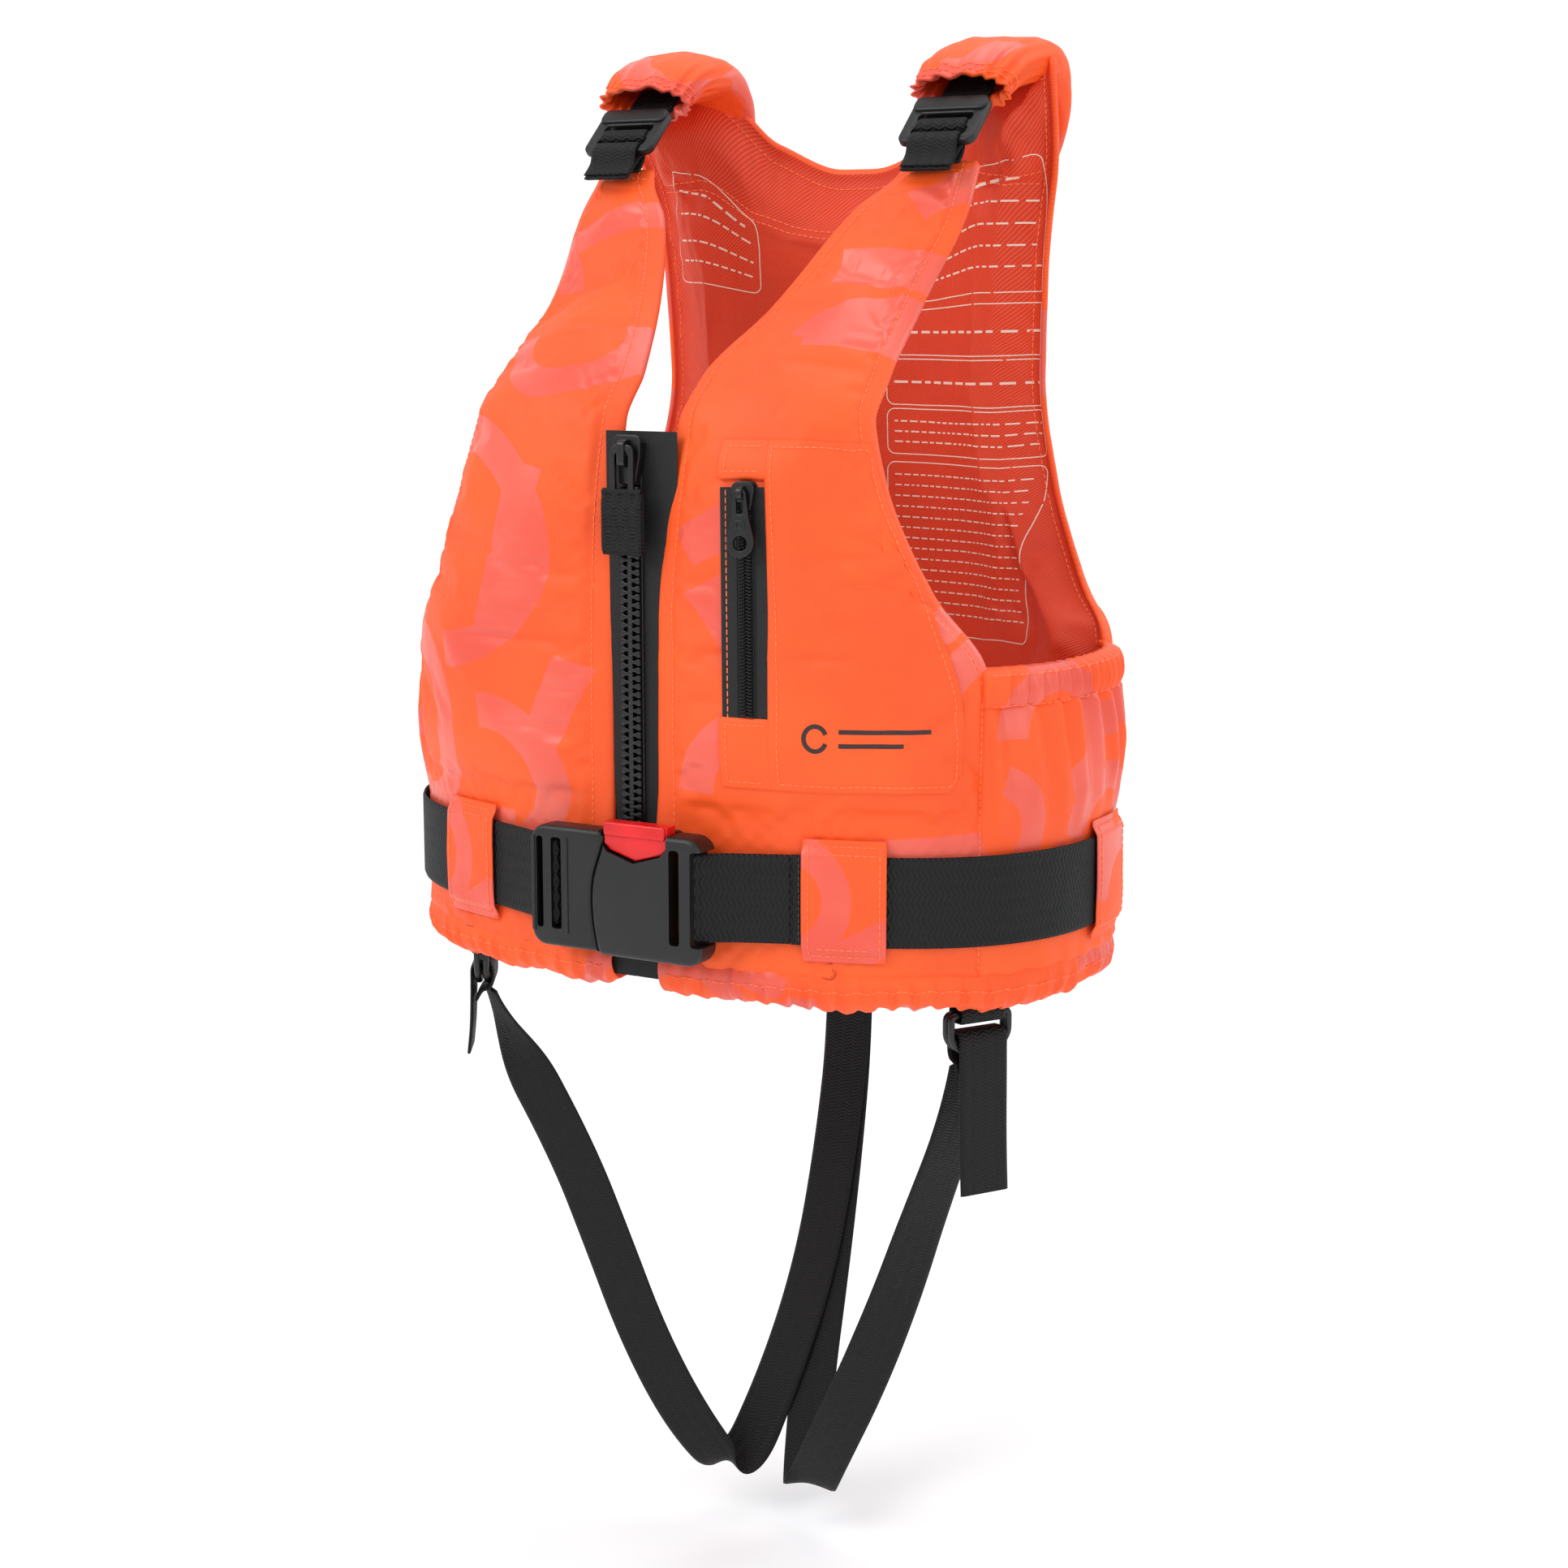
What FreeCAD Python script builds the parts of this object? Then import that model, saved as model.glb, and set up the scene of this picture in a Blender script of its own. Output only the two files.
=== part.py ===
# Child's life jacket: padded vest panels, zips, waist belt with a push-button buckle,
# shoulder adjusters and crotch straps.  Millimetres, +Z up, front towards -Y,
# wearer's left towards +X, origin on the body's axis at the middle of the waist belt.
import FreeCAD, Part
import os
from math import asin, atan2, cos, degrees, pi, radians, sin, sqrt

V = FreeCAD.Vector
os.makedirs("parts", exist_ok=True)

# ---------------------------------------------------------------- driving sizes
BODY_HALF_WIDTH = 172.0        # outside of the vest at the waist
BODY_FRONT_DEPTH = 111.0       # axis to the outside at the front
BODY_BACK_DEPTH = 108.0
BODY_ROUNDNESS = 2.4           # 2 is an ellipse, more is squarer
HEM_Z = -48.0
PANEL_FOOT_Z = -34.0           # the padded panels stop here and the hem band starts
WAIST_HALF = 32.0              # the body stays straight over this height about the belt
V_NECK_Z = 207.0
CHEST_Z = 98.0                 # level of the armhole's lowest point
STRAP_TOP_Z = 318.0
BACK_TOP_Z = 334.0
SHOULDER_TOP_Z = 375.0

PANEL_THICK = 27.0             # foam panel at its middle
PANEL_EDGE = 8.0               # foam panel at its stitched edges
COVER = 1.4                    # cover fabric, both layers of a seam
FOAM_GAP = 0.3
PUFF = 5.0                     # how far the padding swells past the waist's outline
SEAM_GAP = 0.4                 # space between neighbouring sewn pieces

WEB_THICK = 1.6                # webbing
BELT_WIDTH = 40.0
STRAP_WIDTH = 25.0
BELT_STANDOFF = 1.2            # belt's inner face off the body's outline
KEEPER_WIDTH = 34.0
KEEPER_SEWN = 6.0              # sewn margin above and below the belt
KEEPER_CLOTH = 1.3
KEEPER_CLEAR = 0.6

FRONT_STRAP_X = 85.0           # middle of the shoulder strap at its adjuster
ADJUSTER_Y = 18.0
ADJUSTER_Z = 335.0
SLOPE_DEG = 43.0               # lean of the front strap at the adjuster

ZIP_X = -3.0                   # the chain's middle line, a little off the jacket's
ZIP_TAPE_LEFT = 20.0           # tape from the chain's middle to each panel's edge
ZIP_TAPE_RIGHT = 11.0
ZIP_TAPE = 1.0
ZIP_SLIT = 1.6                 # space between the two rows of teeth
TOOTH_REACH = 4.2
TOOTH_PITCH = 3.6
ZIP_RECESS = 4.0               # tape's face behind the padded front
ZIP_FOOT_Z = -30.0
ZIP_TOP_Z = 200.0

BUCKLE_HEIGHT = 60.0
BUCKLE_THICK = 15.0
SOCKET_LENGTH = 54.0
TONGUE_LENGTH = 36.0
BUCKLE_TRAVEL = 15.0           # the tongue pulls this far out
BUTTON_TRAVEL = 3.0

RUN = 0.4                      # clearance between pieces that move past each other
FIRM = 0.02                    # butt joints kept just apart

SIDES = (("left", 1), ("right", -1))      # wearer's left is +X


def save(name, shape):
    """Write one node."""
    shape.exportStep("parts/" + name + ".step")


def through(stations, s):
    """Smooth value at s through (place, value) stations, flat past both ends."""
    if s <= stations[0][0]:
        return stations[0][1]
    if s >= stations[-1][0]:
        return stations[-1][1]
    i = max(k for k in range(len(stations) - 1) if stations[k][0] <= s)
    (s0, v0), (s1, v1) = stations[i], stations[i + 1]
    step = s1 - s0

    def slope(k):
        if k <= 0 or k >= len(stations) - 1:
            return 0.0
        a = (stations[k][1] - stations[k - 1][1]) / (stations[k][0] - stations[k - 1][0])
        b = (stations[k + 1][1] - stations[k][1]) / (stations[k + 1][0] - stations[k][0])
        return 0.0 if a * b <= 0 else 2 * a * b / (a + b)
    m0, m1, t = slope(i) * step, slope(i + 1) * step, (s - s0) / step
    return (v0 * (1 + 2 * t) * (1 - t) ** 2 + m0 * t * (1 - t) ** 2
            + v1 * t * t * (3 - 2 * t) + m1 * t * t * (t - 1))


# ---------------------------------------------------------------- outline of the body
def half_width(z):
    return through([(HEM_Z, BODY_HALF_WIDTH - 20), (-WAIST_HALF, BODY_HALF_WIDTH),
                    (WAIST_HALF, BODY_HALF_WIDTH), (CHEST_Z, BODY_HALF_WIDTH),
                    (V_NECK_Z, BODY_HALF_WIDTH - 10), (STRAP_TOP_Z, BODY_HALF_WIDTH - 14)], z)


def front_depth(z):
    """From the body's middle line at this height to the outside at the front."""
    return through([(HEM_Z, BODY_FRONT_DEPTH - 15), (-WAIST_HALF, BODY_FRONT_DEPTH),
                    (WAIST_HALF, BODY_FRONT_DEPTH), (160, BODY_FRONT_DEPTH - 2),
                    (V_NECK_Z - 5, BODY_FRONT_DEPTH - 6), (V_NECK_Z + 20, 94),
                    (STRAP_TOP_Z + 10, 60)], z)


def front_middle(z):
    """Y of the middle line of the front half: it leans back above the chest."""
    return through([(160, 0), (V_NECK_Z, 3), (V_NECK_Z + 20, 14), (256, 36), (297, 54),
                    (STRAP_TOP_Z + 12, 70)], z)


def back_depth(z):
    return through([(HEM_Z, BODY_BACK_DEPTH - 12), (-WAIST_HALF, BODY_BACK_DEPTH),
                    (WAIST_HALF, BODY_BACK_DEPTH), (150, BODY_BACK_DEPTH + 3),
                    (290, BODY_BACK_DEPTH), (BACK_TOP_Z, BODY_BACK_DEPTH - 10)], z)


def outline(angle, z):
    """Point of the body's outline: angle 0 at the front, 90 at +X, 180 at the back."""
    a = radians(angle)
    c, s = cos(a), sin(a)
    power = 2.0 / BODY_ROUNDNESS
    x = half_width(z) * abs(s) ** power * (1 if s >= 0 else -1)
    if c >= 0:
        return V(x, front_middle(z) - front_depth(z) * abs(c) ** power, z)
    return V(x, back_depth(z) * abs(c) ** power, z)


def angle_at_x(x, z):
    """Front angle at which the outline has this x."""
    share = min(1.0, abs(x) / half_width(z)) ** (BODY_ROUNDNESS / 2)
    return degrees(asin(share)) * (1 if x >= 0 else -1)


def normal(angle, z):
    """Outward normal of the outline's surface."""
    along = outline(angle + 0.5, z) - outline(angle - 0.5, z)
    up = outline(angle, z + 1.0) - outline(angle, z - 1.0)
    n = along.cross(up)
    return n.normalize()


# ---------------------------------------------------------------- soft panels
def skin(grid):
    surface = Part.BSplineSurface()
    surface.interpolate(grid)
    return surface


def slab(outer, inner):
    """Closed solid between two grids of points with the same rows and columns."""
    a, b = skin(outer), skin(inner)
    faces = [a.toShape(), b.toShape()]
    u0, u1, v0, v1 = a.bounds()
    p0, p1, q0, q1 = b.bounds()
    rims = ((a.uIso(u0), b.uIso(p0)), (a.uIso(u1), b.uIso(p1)),
            (a.vIso(v0), b.vIso(q0)), (a.vIso(v1), b.vIso(q1)))
    for one, two in rims:
        faces.append(Part.makeRuledSurface(one.toShape(), two.toShape()))
    shell = Part.makeShell(faces)
    shell.sewShape()
    solid = Part.makeSolid(shell)
    if solid.Volume < 0:
        solid.reverse()
    return solid


def steps(count):
    return [i / (count - 1) for i in range(count)]


def swelling(share, up):
    """How full the padding is at a place across and up a panel, 0 at its edges."""
    across = min(1.0, max(0.0, share))
    return sin(pi * across) ** 0.6 * sin(pi * (0.06 + 0.88 * up)) ** 0.35


def panel(levels, edge_in, edge_out, columns, puff, thick, edge_thick, inset=0.0, shrink=0.0):
    """Padded panel between two edges given as angles by height.

    inset trims it along the surface and shrink takes that much off both faces.
    """
    outer, inner = [], []
    low, high = levels[0], levels[-1]
    for z in levels:
        start, end = edge_in(z), edge_out(z)
        a, b = outline(start, z), outline(end, z)
        width = max(1.0, (b - a).Length)
        trim = inset / width
        row_out, row_in = [], []
        up = (z - low) / (high - low)
        zz = low + inset + up * (high - low - 2 * inset)
        for t in steps(columns):
            share = trim + t * (1 - 2 * trim)
            angle = start + share * (end - start)
            swell = swelling(share, up)
            p, n = outline(angle, zz), normal(angle, zz)
            over = puff(zz) * swell
            deep = edge_thick + (thick - edge_thick) * swell - over
            row_out.append(p + n * (over - shrink))
            row_in.append(p - n * (deep - shrink))
        outer.append(row_out)
        inner.append(row_in)
    return slab(outer, inner)


def covered(name, make):
    """Cover and foam core of one padded panel."""
    cover = make(0.0, 0.0)
    hollow = make(COVER + FOAM_GAP * 4, COVER)
    save("cover_" + name, cover.cut(hollow))
    save("foam_" + name, make(COVER + FOAM_GAP * 8, COVER + FOAM_GAP))


def chest_puff(z):
    """Padding swells above the belt only."""
    return through([(-WAIST_HALF, 0.0), (WAIST_HALF, 0.0), (WAIST_HALF + 30, PUFF),
                    (V_NECK_Z, PUFF), (STRAP_TOP_Z, 2.0)], z)


SIDE_SEAM = 151.0              # front panels end here below the armhole
BACK_SEAM_ANGLE = 118.0        # the back panel starts here below the armhole


def neck_edge(z, sign):
    """Inner edge of a front panel, as a distance from the middle."""
    zip_side = ZIP_X + ZIP_TAPE_LEFT if sign > 0 else ZIP_TAPE_RIGHT - ZIP_X
    return through([(V_NECK_Z - 10, zip_side), (V_NECK_Z + 16, 17), (256, 32), (297, 52),
                    (STRAP_TOP_Z, FRONT_STRAP_X - 16)], z)


def arm_edge(z):
    """Outer edge of a front panel, as x."""
    return through([(CHEST_Z - 8, SIDE_SEAM), (CHEST_Z + 4, SIDE_SEAM - 2), (133, 130),
                    (177, 111), (217, 101), (256, 98), (297, 103),
                    (STRAP_TOP_Z, FRONT_STRAP_X + 16)], z)


FRONT_LEVELS = [PANEL_FOOT_Z, -24, -8, 8, 24, 38, 55, 76, CHEST_Z - 4, 112, 133, 155, 177, 194,
                V_NECK_Z + 4, 225, 240, 256, 272, 288, 303, STRAP_TOP_Z]
BACK_LEVELS = [PANEL_FOOT_Z, -24, -8, 8, 24, 40, 60, 80, CHEST_Z, 120, 145, 175, 205, 235,
               265, 290, 312, BACK_TOP_Z]


def back_edge(z):
    """Half width of the back panel, as an angle from the front."""
    x = through([(CHEST_Z, 150), (130, 131), (170, 114), (220, 105), (265, 107),
                 (BACK_TOP_Z, 121)], z)
    low = 180 - BACK_SEAM_ANGLE
    wide = abs(angle_at_x(x, z)) if z >= CHEST_Z else low
    mix = min(1.0, max(0.0, (z - CHEST_Z) / 18))
    return low + (min(wide, low) - low) * mix


for side, sign in SIDES:
    def front(inset, shrink, sign=sign):
        return panel(FRONT_LEVELS,
                     lambda z: sign * angle_at_x(neck_edge(z, sign), z),
                     lambda z: sign * angle_at_x(arm_edge(z), z),
                     13, chest_puff, PANEL_THICK, PANEL_EDGE, inset, shrink)
    covered("front_" + side, front)


def back(inset, shrink):
    return panel(BACK_LEVELS, lambda z: 180 - back_edge(z), lambda z: 180 + back_edge(z),
                 25, chest_puff, PANEL_THICK, PANEL_EDGE, inset, shrink)


covered("back", back)

# side panels: thin elasticated cloth between the front and the back panels
SIDE_LEVELS = [PANEL_FOOT_Z, -20, 0, 20, 45, 70, CHEST_Z - 16]
BAND_LEVELS = [CHEST_Z - 16 + SEAM_GAP, CHEST_Z - 8, CHEST_Z]
SIDE_THICK = 7.0
BAND_THICK = 9.0
for side, sign in SIDES:
    def front_seam(z, sign=sign):
        return sign * (abs(angle_at_x(SIDE_SEAM, 0)) + 0.5)

    def back_seam(z, sign=sign):
        return sign * (BACK_SEAM_ANGLE - 0.5)
    save("side_panel_" + side, panel(SIDE_LEVELS, front_seam, back_seam, 9, lambda z: 0.0,
                                     SIDE_THICK, SIDE_THICK - 2))
    save("side_band_" + side, panel(BAND_LEVELS, front_seam, back_seam, 9, lambda z: 1.5,
                                    BAND_THICK, BAND_THICK - 2))

# hem bands, gathered on elastic and tucked in under the panels
HEM_LEVELS = [HEM_Z, HEM_Z + 5, PANEL_FOOT_Z - SEAM_GAP]
HEM_THICK = 5.0
HEM_FRONT_ANGLE = 86.0
for side, sign in SIDES:
    save("hem_front_" + side, panel(HEM_LEVELS, lambda z: sign * 6.0,
                                    lambda z: sign * HEM_FRONT_ANGLE, 13, lambda z: 0.0,
                                    HEM_THICK, HEM_THICK - 1))
save("hem_back", panel(HEM_LEVELS, lambda z: HEM_FRONT_ANGLE + 0.4,
                       lambda z: 360 - HEM_FRONT_ANGLE - 0.4, 25, lambda z: 0.0,
                       HEM_THICK, HEM_THICK - 1))

# ---------------------------------------------------------------- shoulder tunnels
TUNNEL_WALL = 1.6
# along the tunnel: y and z of the middle line, width, thickness, x of the middle
TUNNEL_STATIONS = (
    ("seam", back_depth(BACK_TOP_Z) * 0.86 - 2, BACK_TOP_Z + 2.0, 70, 16, FRONT_STRAP_X),
    ("rise", 84.0, SHOULDER_TOP_Z - 19, 68, 24, FRONT_STRAP_X + 2),
    ("crown", 66.0, SHOULDER_TOP_Z - 12, 62, 24, FRONT_STRAP_X + 3),
    ("fall", 48.0, SHOULDER_TOP_Z - 15, 54, 22, FRONT_STRAP_X + 1),
    ("mouth", 35.0, SHOULDER_TOP_Z - 25, 46, 19, FRONT_STRAP_X))


def tunnel_wire(k, sign, less):
    """Rounded section of a shoulder tunnel, square to its path."""
    _, y, z, width, thick, x = TUNNEL_STATIONS[k]
    a = TUNNEL_STATIONS[max(0, k - 1)]
    b = TUNNEL_STATIONS[min(len(TUNNEL_STATIONS) - 1, k + 1)]
    run = V(0, b[1] - a[1], b[2] - a[2]).normalize()
    across = V(1, 0, 0)
    up = run.cross(across)
    centre = V(sign * x, y, z)
    points = []
    for i in range(16):
        angle = 2 * pi * i / 16
        c, s = cos(angle), sin(angle)
        w = (width / 2 - less) * (1 if c >= 0 else -1) * abs(c) ** 0.8
        t = (thick / 2 - less) * (1 if s >= 0 else -1) * abs(s) ** 0.8
        points.append(centre + across * w + up * t)
    curve = Part.BSplineCurve()
    curve.interpolate(points, PeriodicFlag=True)
    return Part.Wire([curve.toShape()]), run, centre


for side, sign in SIDES:
    count = len(TUNNEL_STATIONS)
    hull = Part.makeLoft([tunnel_wire(k, sign, 0.0)[0] for k in range(count)], True, False)
    inside = [tunnel_wire(k, sign, TUNNEL_WALL)[0] for k in range(1, count)]
    last, run, _ = tunnel_wire(count - 1, sign, TUNNEL_WALL)
    last.translate(run * 3)
    hollow = Part.makeLoft(inside[:-1] + [last], True, False)
    save("shoulder_tunnel_" + side, hull.cut(hollow))


# ---------------------------------------------------------------- flat webbing helpers
def bar_between(a, b, width, thick):
    """Flat strip whose middle line runs from a to b in a plane of constant x."""
    run = b - a
    length = run.Length
    box = Part.makeBox(width, length, thick, V(-width / 2, 0, -thick / 2))
    box.rotate(V(0, 0, 0), V(1, 0, 0), degrees(asin(run.z / length)) if run.y >= 0
               else 180 - degrees(asin(run.z / length)))
    box.translate(a)
    return box


def folded(points, width, thick):
    """Webbing that follows points in a plane of constant x, with rounded folds."""
    parts = [bar_between(a, b, width, thick) for a, b in zip(points, points[1:])]
    for p in points[1:-1]:
        parts.append(Part.makeCylinder(thick / 2, width, p - V(width / 2, 0, 0), V(1, 0, 0)))
    return parts[0].fuse(parts[1:]).removeSplitter()


def lean(shape, sign):
    """From the adjuster's own frame (y up the slope, z out of it) to the jacket."""
    moved = shape.copy()
    moved.rotate(V(0, 0, 0), V(1, 0, 0), SLOPE_DEG)
    moved.translate(V(sign * FRONT_STRAP_X, ADJUSTER_Y, ADJUSTER_Z))
    return moved


# ---------------------------------------------------------------- shoulder adjusters
ADJ_WIDTH = 38.0
ADJ_LENGTH = 29.0
ADJ_THICK = 4.0
ADJ_BAR = 4.0
ADJ_SLOT = 5.4
ADJ_SLOT_WIDTH = STRAP_WIDTH + 2.0
LOW_BAR_Y = -ADJ_LENGTH / 2 + ADJ_BAR / 2
MID_BAR_Y = LOW_BAR_Y + ADJ_BAR + ADJ_SLOT


def adjuster():
    """Ladder lock: two bars, two slots and a broad plate with a grip groove."""
    plate = Part.makeBox(ADJ_WIDTH, ADJ_LENGTH, ADJ_THICK,
                         V(-ADJ_WIDTH / 2, -ADJ_LENGTH / 2, -ADJ_THICK / 2))
    upright = [e for e in plate.Edges if abs(e.tangentAt(e.FirstParameter).z) > 0.99]
    plate = plate.makeFillet(3.5, upright)
    for y in (LOW_BAR_Y, MID_BAR_Y):
        plate = plate.cut(Part.makeBox(ADJ_SLOT_WIDTH, ADJ_SLOT, ADJ_THICK * 2,
                                       V(-ADJ_SLOT_WIDTH / 2, y + ADJ_BAR / 2, -ADJ_THICK)))
    # the lowest bar is round where the anchor loop turns on it
    relief = Part.makeBox(ADJ_SLOT_WIDTH, ADJ_BAR, ADJ_THICK * 2,
                          V(-ADJ_SLOT_WIDTH / 2, LOW_BAR_Y - ADJ_BAR / 2, -ADJ_THICK))
    pin = Part.makeCylinder(ADJ_BAR / 2 - 0.2, ADJ_WIDTH - 6,
                            V(3 - ADJ_WIDTH / 2, LOW_BAR_Y, 0), V(1, 0, 0))
    plate = plate.cut(relief).fuse(pin)
    groove = Part.makeBox(ADJ_WIDTH + 2, 1.2, 1.0,
                          V(-ADJ_WIDTH / 2 - 1, ADJ_LENGTH / 2 - 5, ADJ_THICK / 2 - 0.6))
    lip = Part.makeBox(ADJ_WIDTH - 8, 3.0, 1.4,
                       V(4 - ADJ_WIDTH / 2, ADJ_LENGTH / 2 - 3.2, -ADJ_THICK / 2 - 1.2))
    return plate.cut(groove).fuse(lip).removeSplitter()


STRAP_CLEAR = WEB_THICK / 2 + ADJ_THICK / 2 + RUN      # webbing's middle off the plate's
ANCHOR_REACH = 17.0
for side, sign in SIDES:
    save("shoulder_adjuster_" + side, lean(adjuster(), sign))
    inner_r = ADJ_BAR / 2 + RUN - 0.1
    outer_r = inner_r + WEB_THICK
    tail = Part.makeBox(STRAP_WIDTH, ANCHOR_REACH, 2 * outer_r,
                        V(-STRAP_WIDTH / 2, LOW_BAR_Y - ANCHOR_REACH, -outer_r))
    wedge = Part.makeBox(STRAP_WIDTH, ANCHOR_REACH - outer_r - 3, outer_r,
                         V(-STRAP_WIDTH / 2, LOW_BAR_Y - ANCHOR_REACH, 0))
    ring = Part.makeCylinder(outer_r, STRAP_WIDTH, V(-STRAP_WIDTH / 2, LOW_BAR_Y, 0), V(1, 0, 0))
    bore = Part.makeCylinder(inner_r, STRAP_WIDTH, V(-STRAP_WIDTH / 2, LOW_BAR_Y, 0), V(1, 0, 0))
    save("anchor_loop_" + side, lean(ring.fuse(tail.cut(wedge)).cut(bore).removeSplitter(), sign))
    # upper webbing: out of the tunnel, under the plate, over the middle bar and down again
    over = MID_BAR_Y
    reach = ADJ_BAR / 2 + WEB_THICK / 2 + RUN
    run = [V(0, ADJ_LENGTH / 2 + 26, -4.2), V(0, ADJ_LENGTH / 2 + 4, -STRAP_CLEAR - 2.4),
           V(0, over + reach, -STRAP_CLEAR), V(0, over + reach, STRAP_CLEAR - 0.2),
           V(0, over - reach, STRAP_CLEAR - 0.2), V(0, over - reach, -STRAP_CLEAR),
           V(0, LOW_BAR_Y - 1, -STRAP_CLEAR - 3.4)]
    save("shoulder_webbing_" + side, lean(folded(run, STRAP_WIDTH, WEB_THICK), sign))


# ---------------------------------------------------------------- belt and keepers
def ring_piece(start, end, off_in, off_out, low, high, count=25):
    """Upright strip that follows the waist between two angles."""
    def edge(off):
        pts = []
        for t in steps(count):
            angle = start + t * (end - start)
            n = normal(angle, 0)
            pts.append(outline(angle, 0) + n * off + V(0, 0, low))
        curve = Part.BSplineCurve()
        curve.interpolate(pts)
        return curve.toShape()
    a, b = edge(off_in), edge(off_out)
    first = Part.makeLine(a.Vertexes[0].Point, b.Vertexes[0].Point)
    last = Part.makeLine(a.Vertexes[-1].Point, b.Vertexes[-1].Point)
    face = Part.Face(Part.Wire(Part.__sortEdges__([a, last, b, first])))
    return face.extrude(V(0, 0, high - low))


BELT_IN = BELT_STANDOFF
BELT_OUT = BELT_STANDOFF + WEB_THICK
KEEPER_ANGLES = (31.0, 96.0, 146.0)
KEEPER_NAMES = ("front", "side", "rear")
BUCKLE_Y = -BODY_FRONT_DEPTH - BELT_OUT - BUCKLE_THICK / 2 - 1.6
TONGUE_BACK = -TONGUE_LENGTH - 9.0
SOCKET_END = SOCKET_LENGTH - 9.0
TONGUE_SLOT_X = TONGUE_BACK + 9.0
SOCKET_SLOT_X = SOCKET_END - 8.0

keeper_half = degrees(KEEPER_WIDTH / 2 / 140.0)
keeper_tall = BELT_WIDTH / 2 + KEEPER_CLEAR + KEEPER_SEWN
for name, middle in zip(KEEPER_NAMES, KEEPER_ANGLES):
    for side, sign in SIDES:
        start, end = sign * middle - keeper_half, sign * middle + keeper_half
        inner = BELT_OUT + KEEPER_CLEAR
        cloth = ring_piece(start, end, inner, inner + KEEPER_CLOTH, -keeper_tall, keeper_tall, 9)
        for low in (-keeper_tall, keeper_tall - KEEPER_SEWN):
            cloth = cloth.fuse(ring_piece(start, end, 0.5, inner + 0.2, low,
                                          low + KEEPER_SEWN, 9))
        save("belt_keeper_" + name + "_" + side, cloth.removeSplitter())

FRONT_KEEPER_END = KEEPER_ANGLES[0] - keeper_half - 2
half_belt = BELT_WIDTH / 2
# the long run: from the wearer's right front keeper round the back to the left front
save("belt_back", ring_piece(-KEEPER_ANGLES[0] + keeper_half, -360 + FRONT_KEEPER_END,
                             BELT_IN, BELT_OUT, -half_belt, half_belt, 61))


def level_strip(points, thick, low, high):
    """Upright webbing that follows points in the level plane."""
    parts = []
    for a, b in zip(points, points[1:]):
        run = b - a
        across = V(-run.y, run.x, 0).normalize() * (thick / 2)
        ring = Part.makePolygon([a - across, b - across, b + across, a + across, a - across])
        face = Part.Face(ring)
        face.translate(V(0, 0, low))
        parts.append(face.extrude(V(0, 0, high - low)))
    for p in points[1:-1]:
        parts.append(Part.makeCylinder(thick / 2, high - low, p + V(0, 0, low), V(0, 0, 1)))
    return parts[0].fuse(parts[1:]).removeSplitter() if len(parts) > 1 else parts[0]


def belt_mid(angle):
    n = normal(angle, 0)
    p = outline(angle, 0) + n * ((BELT_IN + BELT_OUT) / 2)
    return V(p.x, p.y, 0)


BAR_HALF = 2.0                 # the buckle's webbing bars
WRAP = BAR_HALF + WEB_THICK / 2 + RUN
# the socket's end: from the belt round the socket's bar and back under itself
left_end = belt_mid(FRONT_KEEPER_END)
back_y = BUCKLE_Y + BUCKLE_THICK / 2 - 1.2
save("belt_front_left", level_strip(
    [left_end + V(-0.3, 0, 0), V(SOCKET_END + 3, back_y - 0.4, 0),
     V(SOCKET_SLOT_X + WRAP, BUCKLE_Y - WRAP, 0), V(SOCKET_SLOT_X - WRAP, BUCKLE_Y - WRAP, 0),
     V(SOCKET_SLOT_X - WRAP, BUCKLE_Y + WRAP + 0.4, 0)],
    WEB_THICK, -half_belt, half_belt))
right_end = belt_mid(-KEEPER_ANGLES[0] + keeper_half)
save("belt_front_right", level_strip(
    [right_end + V(0.3, 0, 0), V(TONGUE_BACK - 3, back_y - 0.4, 0),
     V(TONGUE_SLOT_X - WRAP, BUCKLE_Y - WRAP, 0), V(TONGUE_SLOT_X + WRAP, BUCKLE_Y - WRAP, 0),
     V(TONGUE_SLOT_X + WRAP, BUCKLE_Y + WRAP + 0.4, 0)],
    WEB_THICK, -half_belt, half_belt))


# ---------------------------------------------------------------- buckle
def block(x0, x1, y0, y1, z0, z1):
    return Part.makeBox(x1 - x0, y1 - y0, z1 - z0, V(x0, y0, z0))


def softened(shape, radius, test):
    edges = [e for e in shape.Edges if test(e)]
    return shape.makeFillet(radius, edges)


def along_y(edge):
    return abs(edge.tangentAt(edge.FirstParameter).y) > 0.99


FRONT_Y = BUCKLE_Y - BUCKLE_THICK / 2
REAR_Y = BUCKLE_Y + BUCKLE_THICK / 2
PARTING_X = -9.0
HALF_H = BUCKLE_HEIGHT / 2
WEB_SLOT_H = BELT_WIDTH + 2.5
SLOT_LONG = 8.4
PRONG_LONG = BUCKLE_TRAVEL - 1.0
PRONG_HIGH = 44.0
PRONG_THICK = 6.0


def web_bar(x):
    """Two slots either side of a round-edged bar for 40 mm webbing."""
    half = WEB_SLOT_H / 2
    opening = block(x - SLOT_LONG, x + SLOT_LONG, FRONT_Y - 1, REAR_Y + 1, -half, half)
    bar = Part.makeCylinder(BAR_HALF, WEB_SLOT_H + 4, V(x, BUCKLE_Y, -half - 2), V(0, 0, 1))
    return opening, bar


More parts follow.
